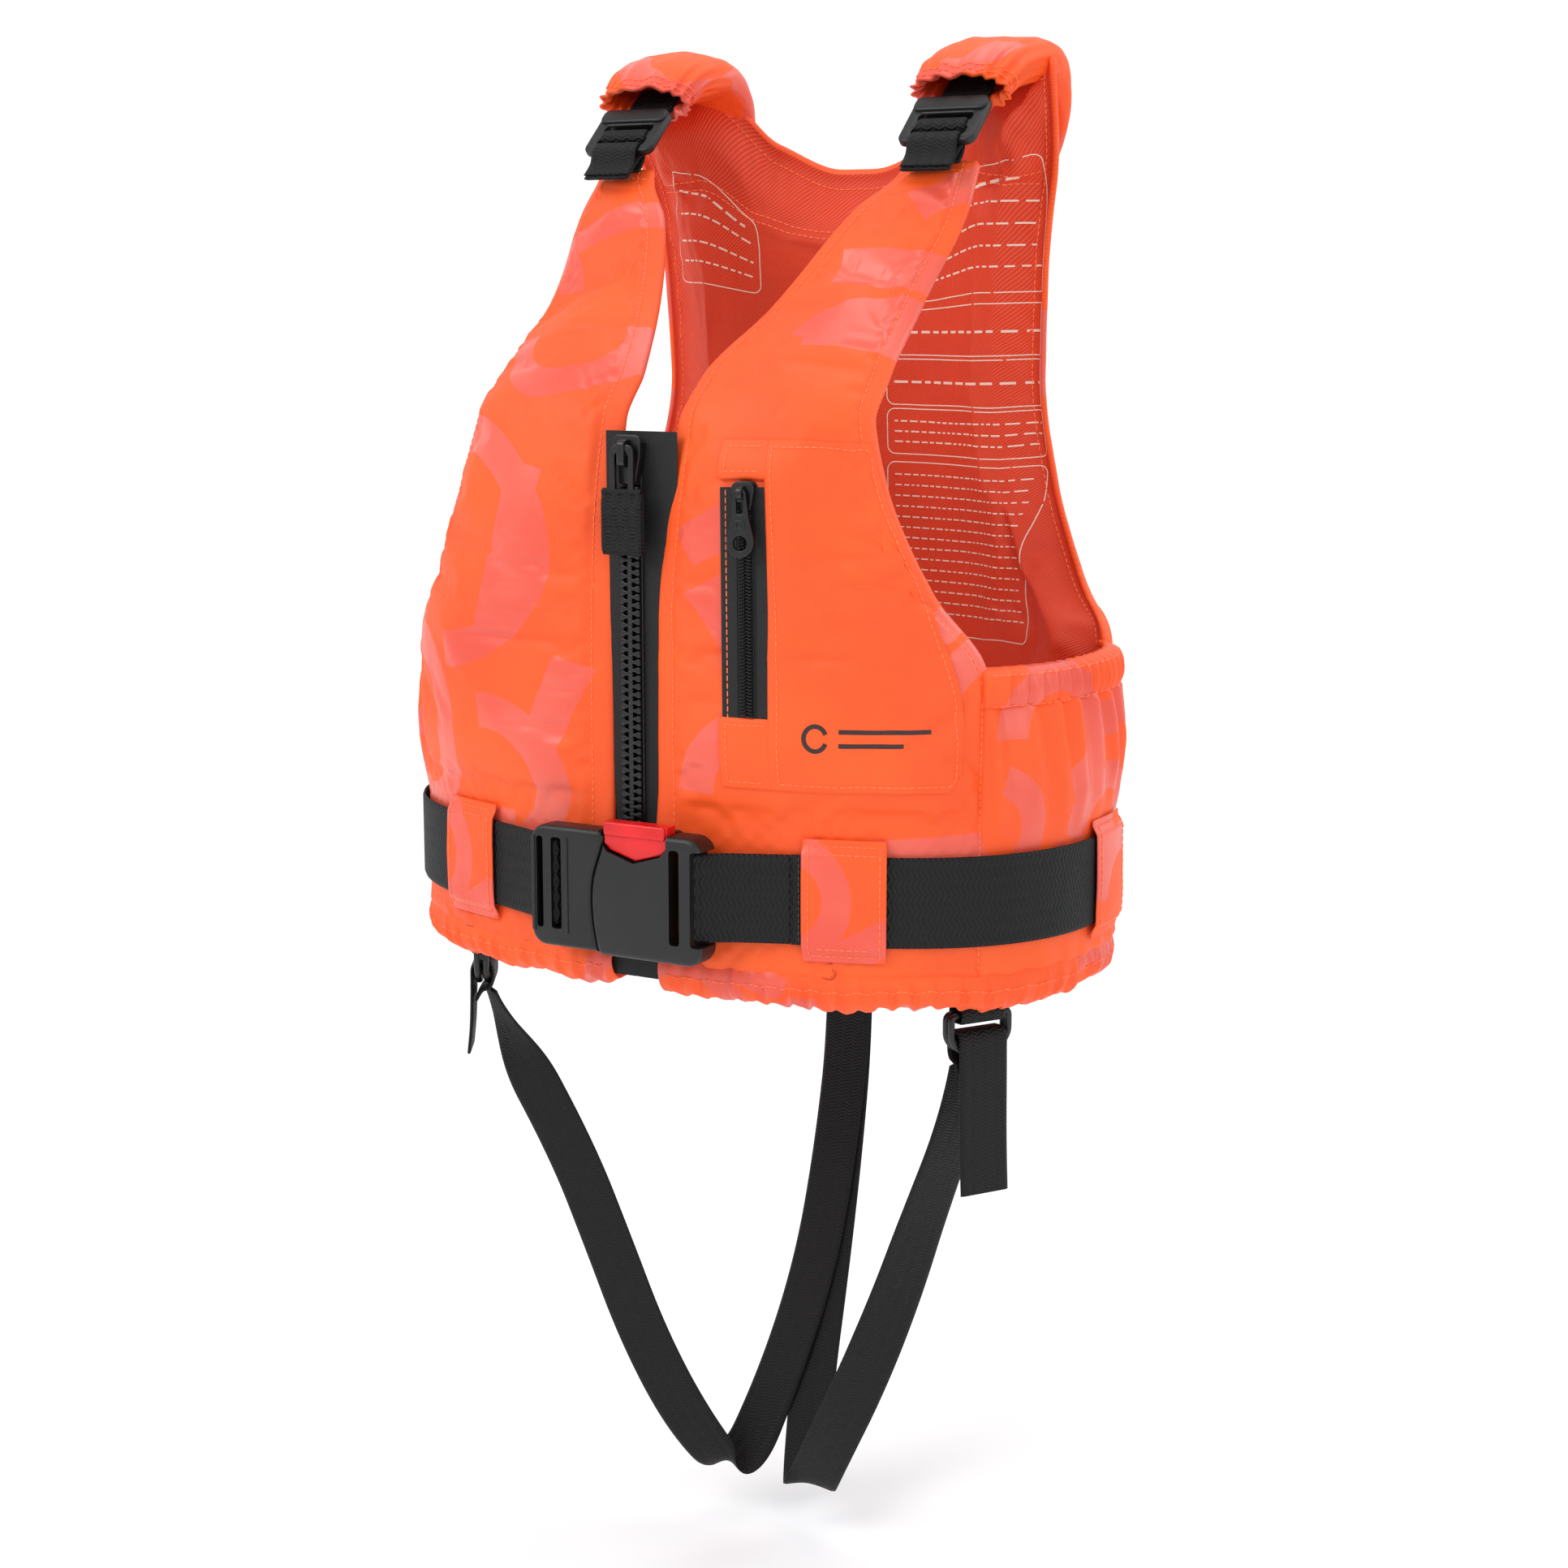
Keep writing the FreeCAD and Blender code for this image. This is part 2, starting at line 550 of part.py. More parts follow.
socket = block(PARTING_X + FIRM, SOCKET_END, FRONT_Y, REAR_Y, -HALF_H, HALF_H - 3)
socket = softened(socket, 7.0, lambda e: along_y(e) and e.CenterOfMass.x > 0)
opening, bar = web_bar(SOCKET_SLOT_X)
opening = opening.common(block(SOCKET_SLOT_X - SLOT_LONG, SOCKET_END + 20, FRONT_Y - 2,
                               REAR_Y + 2, -HALF_H, HALF_H))
socket = socket.cut(opening).fuse(bar)
# arms at the right end stay whole above and below the webbing
cavity = block(PARTING_X - 1, PARTING_X + PRONG_LONG + 2, BUCKLE_Y - PRONG_THICK / 2 - RUN,
               BUCKLE_Y + PRONG_THICK / 2 + RUN, -PRONG_HIGH / 2 - RUN, PRONG_HIGH / 2 + RUN)
BUTTON_X0, BUTTON_X1 = -6.0, 27.0
BUTTON_LOW = HALF_H - 13.0
pocket = block(BUTTON_X0 - RUN, BUTTON_X1 + RUN, FRONT_Y - 1, BUCKLE_Y + 3,
               BUTTON_LOW - BUTTON_TRAVEL - RUN, HALF_H + 5)
guard = block(BUTTON_X0 - RUN - 1, BUTTON_X1 + RUN + 1, BUCKLE_Y + 3, REAR_Y,
              HALF_H - 12, HALF_H - 1)
socket = socket.cut(cavity).cut(pocket).fuse(guard)
bevel = Part.makeBox(200, 8, 8, V(-100, -4, -4))
bevel.rotate(V(0, 0, 0), V(1, 0, 0), 45)
for z in (-HALF_H, HALF_H - 3):
    edge_cut = bevel.copy()
    edge_cut.translate(V(0, FRONT_Y - 1.6, z))
    socket = socket.cut(edge_cut)
save("buckle_socket", socket.removeSplitter())

button = block(BUTTON_X0, BUTTON_X1, FRONT_Y + 0.6, BUCKLE_Y + 3 - RUN, BUTTON_LOW,
               HALF_H + 1)
for tilt, x in ((-14, BUTTON_X0 - 1), (14, BUTTON_X1 + 1)):
    lower = Part.makeBox(40, 40, 20, V(-40 if tilt > 0 else 0, -20, -20))
    lower.rotate(V(0, 0, 0), V(0, 1, 0), -tilt)
    lower.translate(V(x, BUCKLE_Y, BUTTON_LOW + 3.5))
    button = button.cut(lower)
top_bevel = bevel.copy()
top_bevel.translate(V(0, FRONT_Y - 1.2, HALF_H + 1))
button = button.cut(top_bevel)
save("buckle_button", button.removeSplitter())

tongue = block(TONGUE_BACK, PARTING_X - FIRM, FRONT_Y + 1.0, REAR_Y - 1.0, -HALF_H + 1,
               HALF_H - 4)
tongue = softened(tongue, 7.0, lambda e: along_y(e) and e.CenterOfMass.x < TONGUE_BACK + 2)
opening, bar = web_bar(TONGUE_SLOT_X)
opening = opening.common(block(TONGUE_BACK + 4.5, 0, FRONT_Y - 2, REAR_Y + 2,
                               -HALF_H, HALF_H))
# the webbing runs in under the outer end bar
entry = block(TONGUE_BACK - 1, TONGUE_SLOT_X, BUCKLE_Y - WRAP - 0.4, REAR_Y + 1,
              -WEB_SLOT_H / 2, WEB_SLOT_H / 2)
tongue = tongue.cut(opening).cut(entry).fuse(bar)
prong = block(PARTING_X - 4, PARTING_X + PRONG_LONG, BUCKLE_Y - PRONG_THICK / 2,
              BUCKLE_Y + PRONG_THICK / 2, -PRONG_HIGH / 2, PRONG_HIGH / 2)
# the prong clears the button's pocket
prong = prong.cut(block(BUTTON_X0 - 2, 100, FRONT_Y, REAR_Y,
                        BUTTON_LOW - BUTTON_TRAVEL - RUN - 1.2, HALF_H))
for z in (-HALF_H + 1, HALF_H - 4):
    edge_cut = bevel.copy()
    edge_cut.translate(V(0, FRONT_Y - 1.0, z))
    tongue = tongue.cut(edge_cut)
save("buckle_tongue", tongue.fuse(prong).removeSplitter())


# ---------------------------------------------------------------- zips
def at_frame(shape, origin, right, out):
    """Move a shape drawn with x right, -y outward and z up to a place on the jacket."""
    up = right.cross(out * -1).normalize()
    m = FreeCAD.Matrix(right.x, -out.x, up.x, origin.x, right.y, -out.y, up.y, origin.y,
                       right.z, -out.z, up.z, origin.z, 0, 0, 0, 1)
    moved = shape.copy()
    moved.transformShape(m, True)
    return moved


def teeth_row(sign, low, high, pitch, tooth_h, reach, slit, bead_r, stand, phase):
    """One row of teeth on a bead, beside the slit at x = 0; the tape's face is y = 0."""
    x0 = slit / 2 if sign > 0 else -slit / 2 - reach
    bead_x = sign * (slit / 2 + reach - bead_r)
    row = Part.makeCylinder(bead_r, high - low, V(bead_x, -bead_r - 0.05, low), V(0, 0, 1))
    teeth, z = [], low + phase
    while z + tooth_h < high:
        teeth.append(Part.makeBox(reach, stand, tooth_h, V(x0, -stand - 0.05, z)))
        z += pitch
    return row.fuse(teeth)


ZIP_Y = -BODY_FRONT_DEPTH + ZIP_RECESS
TOOTH_STAND = 3.0
zip_place = V(ZIP_X, ZIP_Y, 0)
FORWARD = V(0, -1, 0)
ACROSS = V(1, 0, 0)
for side, sign in SIDES:
    wide = (ZIP_TAPE_LEFT if sign > 0 else ZIP_TAPE_RIGHT) - SEAM_GAP
    x0 = ZIP_SLIT / 2 if sign > 0 else -wide
    tape = Part.makeBox(wide - ZIP_SLIT / 2, ZIP_TAPE, ZIP_TOP_Z - ZIP_FOOT_Z,
                        V(x0, 0, ZIP_FOOT_Z))
    save("front_zip_tape_" + side, at_frame(tape, zip_place, ACROSS, FORWARD))
    row = teeth_row(sign, ZIP_FOOT_Z + 9, ZIP_TOP_Z - 6, TOOTH_PITCH, TOOTH_PITCH * 0.62,
                    TOOTH_REACH, ZIP_SLIT, 1.0, TOOTH_STAND,
                    0.0 if sign > 0 else TOOTH_PITCH / 2)
    save("front_zip_teeth_" + side, at_frame(row, zip_place, ACROSS, FORWARD))
box_half = ZIP_SLIT / 2 + TOOTH_REACH + 0.6
zip_box = Part.makeBox(box_half * 2, TOOTH_STAND + 0.8, 8,
                       V(-box_half, -TOOTH_STAND - 0.85, ZIP_FOOT_Z + 0.5))
save("front_zip_box", at_frame(zip_box, zip_place, ACROSS, FORWARD))


def zip_slider(high, half, plate, stand, tape, slit, bar_r, post):
    """Slider round the chain: front and rear plates joined through the slit at the top."""
    front_y = -stand - 0.05 - RUN
    rear_y = tape + RUN
    face = Part.makeBox(2 * half, plate, high, V(-half, front_y - plate, -high / 2))
    back_plate = Part.makeBox(2 * half, plate, high, V(-half, rear_y, -high / 2))
    neck = Part.makeBox(slit - 2 * RUN, rear_y - front_y + 0.4, 3,
                        V(-(slit - 2 * RUN) / 2, front_y - 0.2, high / 2 - 3))
    body = face.fuse([back_plate, neck])
    for x in (-half, half - 1.1):
        flange = Part.makeBox(1.1, -RUN - front_y + 0.2, high, V(x, front_y - 0.2, -high / 2))
        body = body.fuse(flange)
    bar_y = front_y - plate - bar_r - 1.9
    for x in (-post - 0.9, post - 0.9):
        body = body.fuse(Part.makeBox(1.8, -bar_y + front_y - plate + 0.3, 3.6,
                                      V(x, bar_y, high / 2 - 7.3)))
    bar = Part.makeCylinder(bar_r, 2 * post + 1.8, V(-post - 0.9, bar_y, high / 2 - 5.5),
                            V(1, 0, 0))
    return body.fuse(bar).removeSplitter(), bar_y, high / 2 - 5.5


def eye_ring(bar_r, wide):
    """The part of a pull that turns on the slider's bar: a short sleeve."""
    bore = bar_r + 0.3
    ring = Part.makeCylinder(bore + 1.0, wide, V(-wide / 2, 0, 0), V(1, 0, 0))
    return ring, Part.makeCylinder(bore, wide + 2, V(-wide / 2 - 1, 0, 0), V(1, 0, 0))


# the front slider stands at the top of the chain
SLIDER_HIGH = 21.0
SLIDER_HALF = ZIP_SLIT / 2 + TOOTH_REACH + RUN + 1.6
SLIDER_Z = ZIP_TOP_Z - SLIDER_HIGH / 2 - 2
slider, bar_y, bar_z = zip_slider(SLIDER_HIGH, SLIDER_HALF, 1.5, TOOTH_STAND, ZIP_TAPE,
                                  ZIP_SLIT, 1.1, 4.6)
slider_place = V(ZIP_X, ZIP_Y, SLIDER_Z)
save("front_zip_slider", at_frame(slider, slider_place, ACROSS, FORWARD))
PULL_LONG = 21.0
TAG_WIDE = 21.0
TAG_LONG = 26.0
TAG_THICK = 3.2
ring, bore = eye_ring(1.1, 6.6)
PULL_THICK = 2.2
legs = Part.makeBox(11.5, PULL_THICK, PULL_LONG - 1.4, V(-5.75, -PULL_THICK / 2, -PULL_LONG - 1.6))
legs = legs.cut(Part.makeBox(6.5, 4, PULL_LONG - 7, V(-3.25, -2, -PULL_LONG + 0.6)))
stem = Part.makeBox(6.6, 2.2, 6, V(-3.3, -1.1, -6.5))
pull = ring.fuse([legs, stem]).cut(bore)
pull_place = slider_place + V(0, bar_y, bar_z)
save("front_zip_pull", at_frame(pull.removeSplitter(), pull_place, ACROSS, FORWARD))
tag = Part.makeBox(TAG_WIDE, TAG_THICK, TAG_LONG,
                   V(-TAG_WIDE / 2, -TAG_THICK / 2, -PULL_LONG - TAG_LONG + 3))
tag = tag.cut(Part.makeBox(TAG_WIDE + 2, PULL_THICK + 2 * FIRM, 6,
                           V(-TAG_WIDE / 2 - 1, -PULL_THICK / 2 - FIRM, -PULL_LONG - 1.8)))
save("front_zip_tag", at_frame(tag, pull_place, ACROSS, FORWARD))

# ---------------------------------------------------------------- chest pocket
POCKET_LOW = 49.0
POCKET_TOP = 195.0
POCKET_NEAR = 12.5             # angle of the edge beside the front zip
POCKET_CLOTH = 1.4
POCKET_ZIP_ANGLE = 16.2
POCKET_ZIP_WIDE = 24.0
POCKET_ZIP_LOW = 77.0
POCKET_ZIP_TOP = 182.0


def front_outside(angle, z, off):
    """Point off the outside of the wearer's left front panel."""
    start, end = angle_at_x(neck_edge(z, 1), z), angle_at_x(arm_edge(z), z)
    up = (z - FRONT_LEVELS[0]) / (FRONT_LEVELS[-1] - FRONT_LEVELS[0])
    over = chest_puff(z) * swelling((angle - start) / (end - start), up)
    return outline(angle, z) + normal(angle, z) * (over + off)


def pocket_far(z):
    """Far edge of the pocket, as an angle, slanting back to the armhole."""
    return through([(POCKET_LOW, 52), (80, 52), (123, 46.5), (POCKET_TOP, 36.5)], z)


zip_low = front_outside(POCKET_ZIP_ANGLE, POCKET_ZIP_LOW, 0)
zip_high = front_outside(POCKET_ZIP_ANGLE, POCKET_ZIP_TOP, 0)
zip_up = (zip_high - zip_low).normalize()
zip_right = front_outside(POCKET_ZIP_ANGLE + 4, 130, 0) - front_outside(POCKET_ZIP_ANGLE - 4, 130, 0)
zip_right = (zip_right - zip_up * zip_right.dot(zip_up)).normalize()
zip_out = zip_right.cross(zip_up).normalize()
# the zip lies flat: it stands off far enough to clear the swelling panel everywhere
lift = max((front_outside(POCKET_ZIP_ANGLE + da, z, 0) - zip_low).dot(zip_out)
           for da in (-4.2, -2, 0, 2, 4.2) for z in range(72, 187, 5))
P_PLATE = 1.1                  # the small slider's plates
zip_mid = (zip_low + zip_high) * 0.5 + zip_out * (lift + ZIP_TAPE + RUN + P_PLATE + 0.6)
POCKET_ZIP_LONG = (zip_high - zip_low).Length

pocket_out, pocket_in = [], []
for z in [POCKET_LOW + t * (POCKET_TOP - POCKET_LOW) for t in steps(13)]:
    far = pocket_far(z)
    angles = [POCKET_NEAR + t * (far - POCKET_NEAR) for t in steps(13)]
    pocket_out.append([front_outside(a, z, 0.5 + POCKET_CLOTH) for a in angles])
    pocket_in.append([front_outside(a, z, 0.5) for a in angles])
window = Part.makeBox(POCKET_ZIP_WIDE + 2 * SEAM_GAP, 30, POCKET_ZIP_LONG + 2 * SEAM_GAP,
                      V(-POCKET_ZIP_WIDE / 2 - SEAM_GAP, -10, -POCKET_ZIP_LONG / 2 - SEAM_GAP))
save("pocket_panel", slab(pocket_out, pocket_in).cut(
    at_frame(window, zip_mid, zip_right, zip_out)))

COIL_SLIT = 1.0
COIL_REACH = 2.2
COIL_STAND = 1.7
for side, sign in SIDES:
    half = POCKET_ZIP_WIDE / 2
    x0 = COIL_SLIT / 2 if sign > 0 else -half
    tape = Part.makeBox(half - COIL_SLIT / 2, ZIP_TAPE, POCKET_ZIP_LONG,
                        V(x0, 0, -POCKET_ZIP_LONG / 2))
    save("pocket_zip_tape_" + side, at_frame(tape, zip_mid, zip_right, zip_out))
    coil = teeth_row(sign, -POCKET_ZIP_LONG / 2 + 2, POCKET_ZIP_LONG / 2 - 3, 1.9, 1.1,
                     COIL_REACH, COIL_SLIT, 0.7, COIL_STAND, 0.0 if sign > 0 else 0.95)
    save("pocket_zip_coil_" + side, at_frame(coil, zip_mid, zip_right, zip_out))
P_SLIDER_HIGH = 12.0
p_slider, p_bar_y, p_bar_z = zip_slider(P_SLIDER_HIGH, COIL_SLIT / 2 + COIL_REACH + RUN + 1.7,
                                        P_PLATE, COIL_STAND, ZIP_TAPE, COIL_SLIT + 0.2, 0.8, 2.9)
p_place = zip_mid + zip_up * (POCKET_ZIP_LONG / 2 - P_SLIDER_HIGH / 2 - 3)
save("pocket_zip_slider", at_frame(p_slider, p_place, zip_right, zip_out))
P_PULL_LONG = 20.0
P_EYE_R = 3.2
P_PULL_R = 6.2
P_PULL_THICK = 2.0
ring, bore = eye_ring(0.8, 3.8)
drop = Part.makeCylinder(P_PULL_R, P_PULL_THICK, V(0, -P_PULL_THICK / 2, -P_PULL_LONG),
                         V(0, 1, 0))
neck = Part.makeBox(3.8, P_PULL_THICK, P_PULL_LONG, V(-1.9, -P_PULL_THICK / 2, -P_PULL_LONG))
eye = Part.makeCylinder(P_EYE_R, 6, V(0, -3, -P_PULL_LONG), V(0, 1, 0))
p_pull = ring.fuse([drop, neck]).cut(bore).cut(eye)
p_pull_place = p_place + zip_out * -p_bar_y + zip_up * p_bar_z
save("pocket_zip_pull", at_frame(p_pull.removeSplitter(), p_pull_place, zip_right, zip_out))
eye_place = p_pull_place - zip_up * P_PULL_LONG

# ---------------------------------------------------------------- D-rings and their tabs
RING_ANGLE = 66.0
RING_WIRE = 3.2
RING_INSIDE = STRAP_WIDTH + 2.0
RING_ARC = 9.0                 # fall of the curved side below the legs
RING_LEG = 8.0
RING_SPACE = 1.0
RING_Z = HEM_Z - 9.0           # straight bars' middle
TAB_WIDE = 23.0


def ring_frame(sign):
    """Place, level direction and outward direction of one pair of rings."""
    n = normal(sign * RING_ANGLE, 0)
    n = V(n.x, n.y, 0).normalize()
    place = outline(sign * RING_ANGLE, HEM_Z) - n * 6.0
    right = V(-n.y, n.x, 0)
    return V(place.x, place.y, RING_Z), right, n


def d_ring():
    """Flat-sided D: straight bar on top, two legs and a curved side."""
    def wire(grow):
        half = RING_INSIDE / 2 + grow
        top, leg = RING_WIRE / 2 - RING_WIRE + grow, -RING_LEG
        a, b = V(-half, 0, top), V(half, 0, top)
        c, d = V(half, 0, leg), V(-half, 0, leg)
        low = V(0, 0, leg - RING_ARC - grow)
        return Part.Wire([Part.makeLine(a, b), Part.makeLine(b, c),
                          Part.Arc(c, low, d).toShape(), Part.makeLine(d, a)])
    solids = []
    for grow in (RING_WIRE, 0.0):
        face = Part.Face(wire(grow))
        solid = face.extrude(V(0, RING_WIRE, 0))
        solid.translate(V(0, -RING_WIRE / 2, 0))
        solids.append(solid)
    ring = solids[0].cut(solids[1])
    return ring.makeFillet(1.1, [e for e in ring.Edges if not along_y(e)])


def stadium(width, inner_y, inner_z, wall):
    """Closed flat loop of webbing, seen from the side as a rounded box."""
    def solid(grow):
        box = Part.makeBox(width, inner_y + 2 * grow, inner_z + 2 * grow,
                           V(-width / 2, -inner_y / 2 - grow, -inner_z / 2 - grow))
        edges = [e for e in box.Edges if abs(e.tangentAt(e.FirstParameter).x) > 0.99]
        return box.makeFillet(1.2 + grow * 0.8, edges)
    return solid(wall).cut(solid(0.0))


PAIR_HALF = RING_WIRE + RING_SPACE / 2
LOOP_IN_Y = 2 * PAIR_HALF + 2 * RUN + 0.4
TAB_IN_Z = RING_WIRE + 2.2
RING_LOW = -RING_LEG - RING_ARC - RING_WIRE
arc_rise = RING_ARC * 0.85
LOOP_HIGH = arc_rise + RING_WIRE + 1.6
LOOP_Z = RING_LOW - RUN + LOOP_HIGH / 2
TAIL_LONG = {"left": 62.0, "right": 34.0}
for side, sign in SIDES:
    place, right, out = ring_frame(sign)
    for name, y in (("outer", -1), ("inner", 1)):
        one = d_ring()
        one.translate(V(0, y * (RING_WIRE + RING_SPACE) / 2, 0))
        save("d_ring_" + name + "_" + side, at_frame(one, place, right, out))
    loop = stadium(TAB_WIDE, LOOP_IN_Y, TAB_IN_Z, WEB_THICK)
    stalk = Part.makeBox(TAB_WIDE, WEB_THICK * 2, HEM_Z - RING_Z - TAB_IN_Z / 2 - 0.4,
                         V(-TAB_WIDE / 2, -WEB_THICK, TAB_IN_Z / 2 + WEB_THICK * 0.5))
    save("d_ring_tab_" + side, at_frame(loop.fuse(stalk).removeSplitter(), place, right, out))
    hold = stadium(STRAP_WIDTH, LOOP_IN_Y, LOOP_HIGH, WEB_THICK)
    hold.translate(V(0, 0, LOOP_Z))
    long = TAIL_LONG[side]
    tail = Part.makeBox(STRAP_WIDTH, WEB_THICK, long,
                        V(-STRAP_WIDTH / 2, -LOOP_IN_Y / 2 - WEB_THICK,
                          LOOP_Z - LOOP_HIGH / 2 + 1 - long))
    save("crotch_strap_tail_" + side, at_frame(hold.fuse(tail).removeSplitter(), place,
                                               right, out))

# ---------------------------------------------------------------- crotch straps
STRAP_START_Z = HEM_Z + 4
STRAP_LAYER = WEB_THICK + 0.5
BACK_HANG_Y = back_depth(HEM_Z) - 8.0


def strap_route(sign):
    """Points the strap is led by, from the back hem down between the legs to a ring."""
    place, right, out = ring_frame(sign)
    y = BACK_HANG_Y + (STRAP_LAYER if sign > 0 else 0.0)
    end = place + V(0, 0, LOOP_Z - LOOP_HIGH / 2 - WEB_THICK - 1.2)
    end = end - out * (LOOP_IN_Y / 2 + WEB_THICK / 2 - 2.2)
    gap = STRAP_LAYER if sign > 0 else 0.0
    return [V(0, y, STRAP_START_Z), V(0, y, -110), V(sign * 1, y - 12, -172),
            V(sign * 3, y - 30, -232), V(sign * 9, y - 58, -286 - gap),
            V(sign * 20, 6, -332 - gap), V(sign * 40, -8, -300), V(sign * 62, -14, -258),
            V(sign * 82, -16, -210), V(sign * 99, -21, -165), end + V(sign * -7, 6, -24), end]


def curve_through_frame(route):
    """Quadratic curve led by the points, tangent to every run of the route."""
    count = len(route)
    inner = count - 3
    curve = Part.BSplineCurve()
    curve.buildFromPolesMultsKnots(route, [3] + [1] * inner + [3],
                                   [float(i) for i in range(inner + 2)], False, 2)
    return curve


RIBBON_ROWS = 49
for side, sign in SIDES:
    curve = curve_through_frame(strap_route(sign))
    place, right, out = ring_frame(sign)
    # the webbing turns from facing back to facing the ring as it goes
    turn_end = atan2(right.y * sign, right.x * sign) if sign > 0 else atan2(-right.y, -right.x)
    if sign < 0:
        turn_end = atan2(right.y, right.x)
    front_rows, back_rows = [], []
    radii = []
    for t in steps(RIBBON_ROWS):
        s = curve.FirstParameter + t * (curve.LastParameter - curve.FirstParameter)
        p = curve.value(s)
        run = V(*curve.tangent(s)[0])
        radii.append(1 / max(1e-6, curve.curvature(s)))
        turned = min(1.0, max(0.0, (t - 0.45) / 0.5))
        turned = turned * turned * (3 - 2 * turned)
        flat = V(cos(turn_end * turned), sin(turn_end * turned), 0)
        flat = (flat - run * flat.dot(run)).normalize()
        face = run.cross(flat).normalize() * (WEB_THICK / 2)
        across = [flat * (STRAP_WIDTH * (i - 1) / 2) for i in range(3)]
        front_rows.append([p + a + face for a in across])
        back_rows.append([p + a - face for a in across])
    save("crotch_strap_" + side, slab(front_rows, back_rows))
    print("crotch_strap_" + side, "length", round(curve.length(), 1), "least radius",
          round(min(radii), 1))
    print("route", [(round(p.x, 2), round(p.y, 2), round(p.z, 2)) for p in strap_route(sign)])
    print("ring", side, place, right, out)
print("front pull pivot", pull_place, "pocket slide", zip_up, "pocket pivot", p_pull_place,
      "pocket right", zip_right, "out", zip_out, "eye", eye_place)
print("adjuster pivot", lean(Part.Vertex(V(0, LOW_BAR_Y, 0)), 1).Point)
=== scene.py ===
from math import atan2, cos, pi, radians, sin

import bmesh
import bpy
import numpy as np
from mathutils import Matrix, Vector
from mathutils.bvhtree import BVHTree


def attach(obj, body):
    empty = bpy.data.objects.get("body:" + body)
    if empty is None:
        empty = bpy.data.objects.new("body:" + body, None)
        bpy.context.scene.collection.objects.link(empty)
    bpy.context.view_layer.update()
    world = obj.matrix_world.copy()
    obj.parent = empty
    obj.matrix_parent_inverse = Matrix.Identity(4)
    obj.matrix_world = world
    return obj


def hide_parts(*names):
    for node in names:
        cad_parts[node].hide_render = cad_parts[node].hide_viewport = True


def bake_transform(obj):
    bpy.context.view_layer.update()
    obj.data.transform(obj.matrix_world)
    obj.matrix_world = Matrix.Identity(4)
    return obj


bl_info = {
    "name": "Life Jacket",
    "version": (1, 0, 0),
    "blender": (4, 5, 0),
    "location": "View3D > Sidebar > Life Jacket",
    "description": "Dresses the packed life jacket with padded cloth, webbing, zips and plastic",
    "category": "Add Mesh",
}

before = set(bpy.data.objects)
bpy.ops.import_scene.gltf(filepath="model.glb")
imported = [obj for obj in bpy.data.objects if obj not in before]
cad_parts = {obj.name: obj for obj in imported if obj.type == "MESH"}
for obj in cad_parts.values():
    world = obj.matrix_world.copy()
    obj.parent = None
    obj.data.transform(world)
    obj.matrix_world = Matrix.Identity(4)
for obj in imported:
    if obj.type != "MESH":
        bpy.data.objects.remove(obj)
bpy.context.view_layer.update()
MM = 0.001
SIDES = (("left", 1), ("right", -1))

# ------------------------------------------------------------------ body outline
# The same outline as the solids, in millimetres: angle 0 is the front, 90 is +X.
HALF_WIDTH, FRONT_DEPTH, BACK_DEPTH, ROUNDNESS = 172.0, 111.0, 108.0, 2.4
HEM_Z, FOOT_Z, WAIST, V_NECK_Z, CHEST_Z = -48.0, -34.0, 32.0, 207.0, 98.0
STRAP_TOP_Z, BACK_TOP_Z = 318.0, 334.0
STRAP_X, SIDE_SEAM_X, BACK_SEAM_ANGLE = 85.0, 151.0, 118.0
ZIP_X, TAPE_LEFT, TAPE_RIGHT = -3.0, 20.0, 11.0
PANEL_THICK, PUFF = 27.0, 5.0
BELT_HALF, BELT_IN, WEB, STRAP_WIDTH = 20.0, 1.2, 1.6, 25.0
RIM_BULGE = 0.0001              # turned edge of thin cloth, in metres
HOVER = 0.00012                 # thread and print stand this far off the cloth, in metres


def through(stations, s):
    """Smooth values at s through (place, value) stations, flat past both ends."""
    s = np.asarray(s, float)
    xs = np.array([p for p, _ in stations], float)
    ys = np.array([v for _, v in stations], float)
    step = np.diff(xs)
    rise = np.diff(ys) / step
    slope = np.zeros(len(xs))
    both = rise[:-1] * rise[1:] > 0
    slope[1:-1] = np.where(both, 2 * rise[:-1] * rise[1:] / np.where(both, rise[:-1] + rise[1:], 1), 0)
    i = np.clip(np.searchsorted(xs, s, side="right") - 1, 0, len(xs) - 2)
    t = np.clip((s - xs[i]) / step[i], 0, 1)
    return (ys[i] * (1 + 2 * t) * (1 - t) ** 2 + slope[i] * step[i] * t * (1 - t) ** 2
            + ys[i + 1] * t * t * (3 - 2 * t) + slope[i + 1] * step[i] * t * t * (t - 1))


def half_width(z):
    """Half the body's width at a height; the next functions give its depths."""
    return through([(HEM_Z, HALF_WIDTH - 20), (-WAIST, HALF_WIDTH), (WAIST, HALF_WIDTH),
                    (CHEST_Z, HALF_WIDTH), (V_NECK_Z, HALF_WIDTH - 10),
                    (STRAP_TOP_Z, HALF_WIDTH - 14)], z)


def front_depth(z):
    return through([(HEM_Z, FRONT_DEPTH - 15), (-WAIST, FRONT_DEPTH), (WAIST, FRONT_DEPTH),
                    (160, FRONT_DEPTH - 2), (V_NECK_Z - 5, FRONT_DEPTH - 6),
                    (V_NECK_Z + 20, 94), (STRAP_TOP_Z + 10, 60)], z)


def front_middle(z):
    return through([(160, 0), (V_NECK_Z, 3), (V_NECK_Z + 20, 14), (256, 36), (297, 54),
                    (STRAP_TOP_Z + 12, 70)], z)


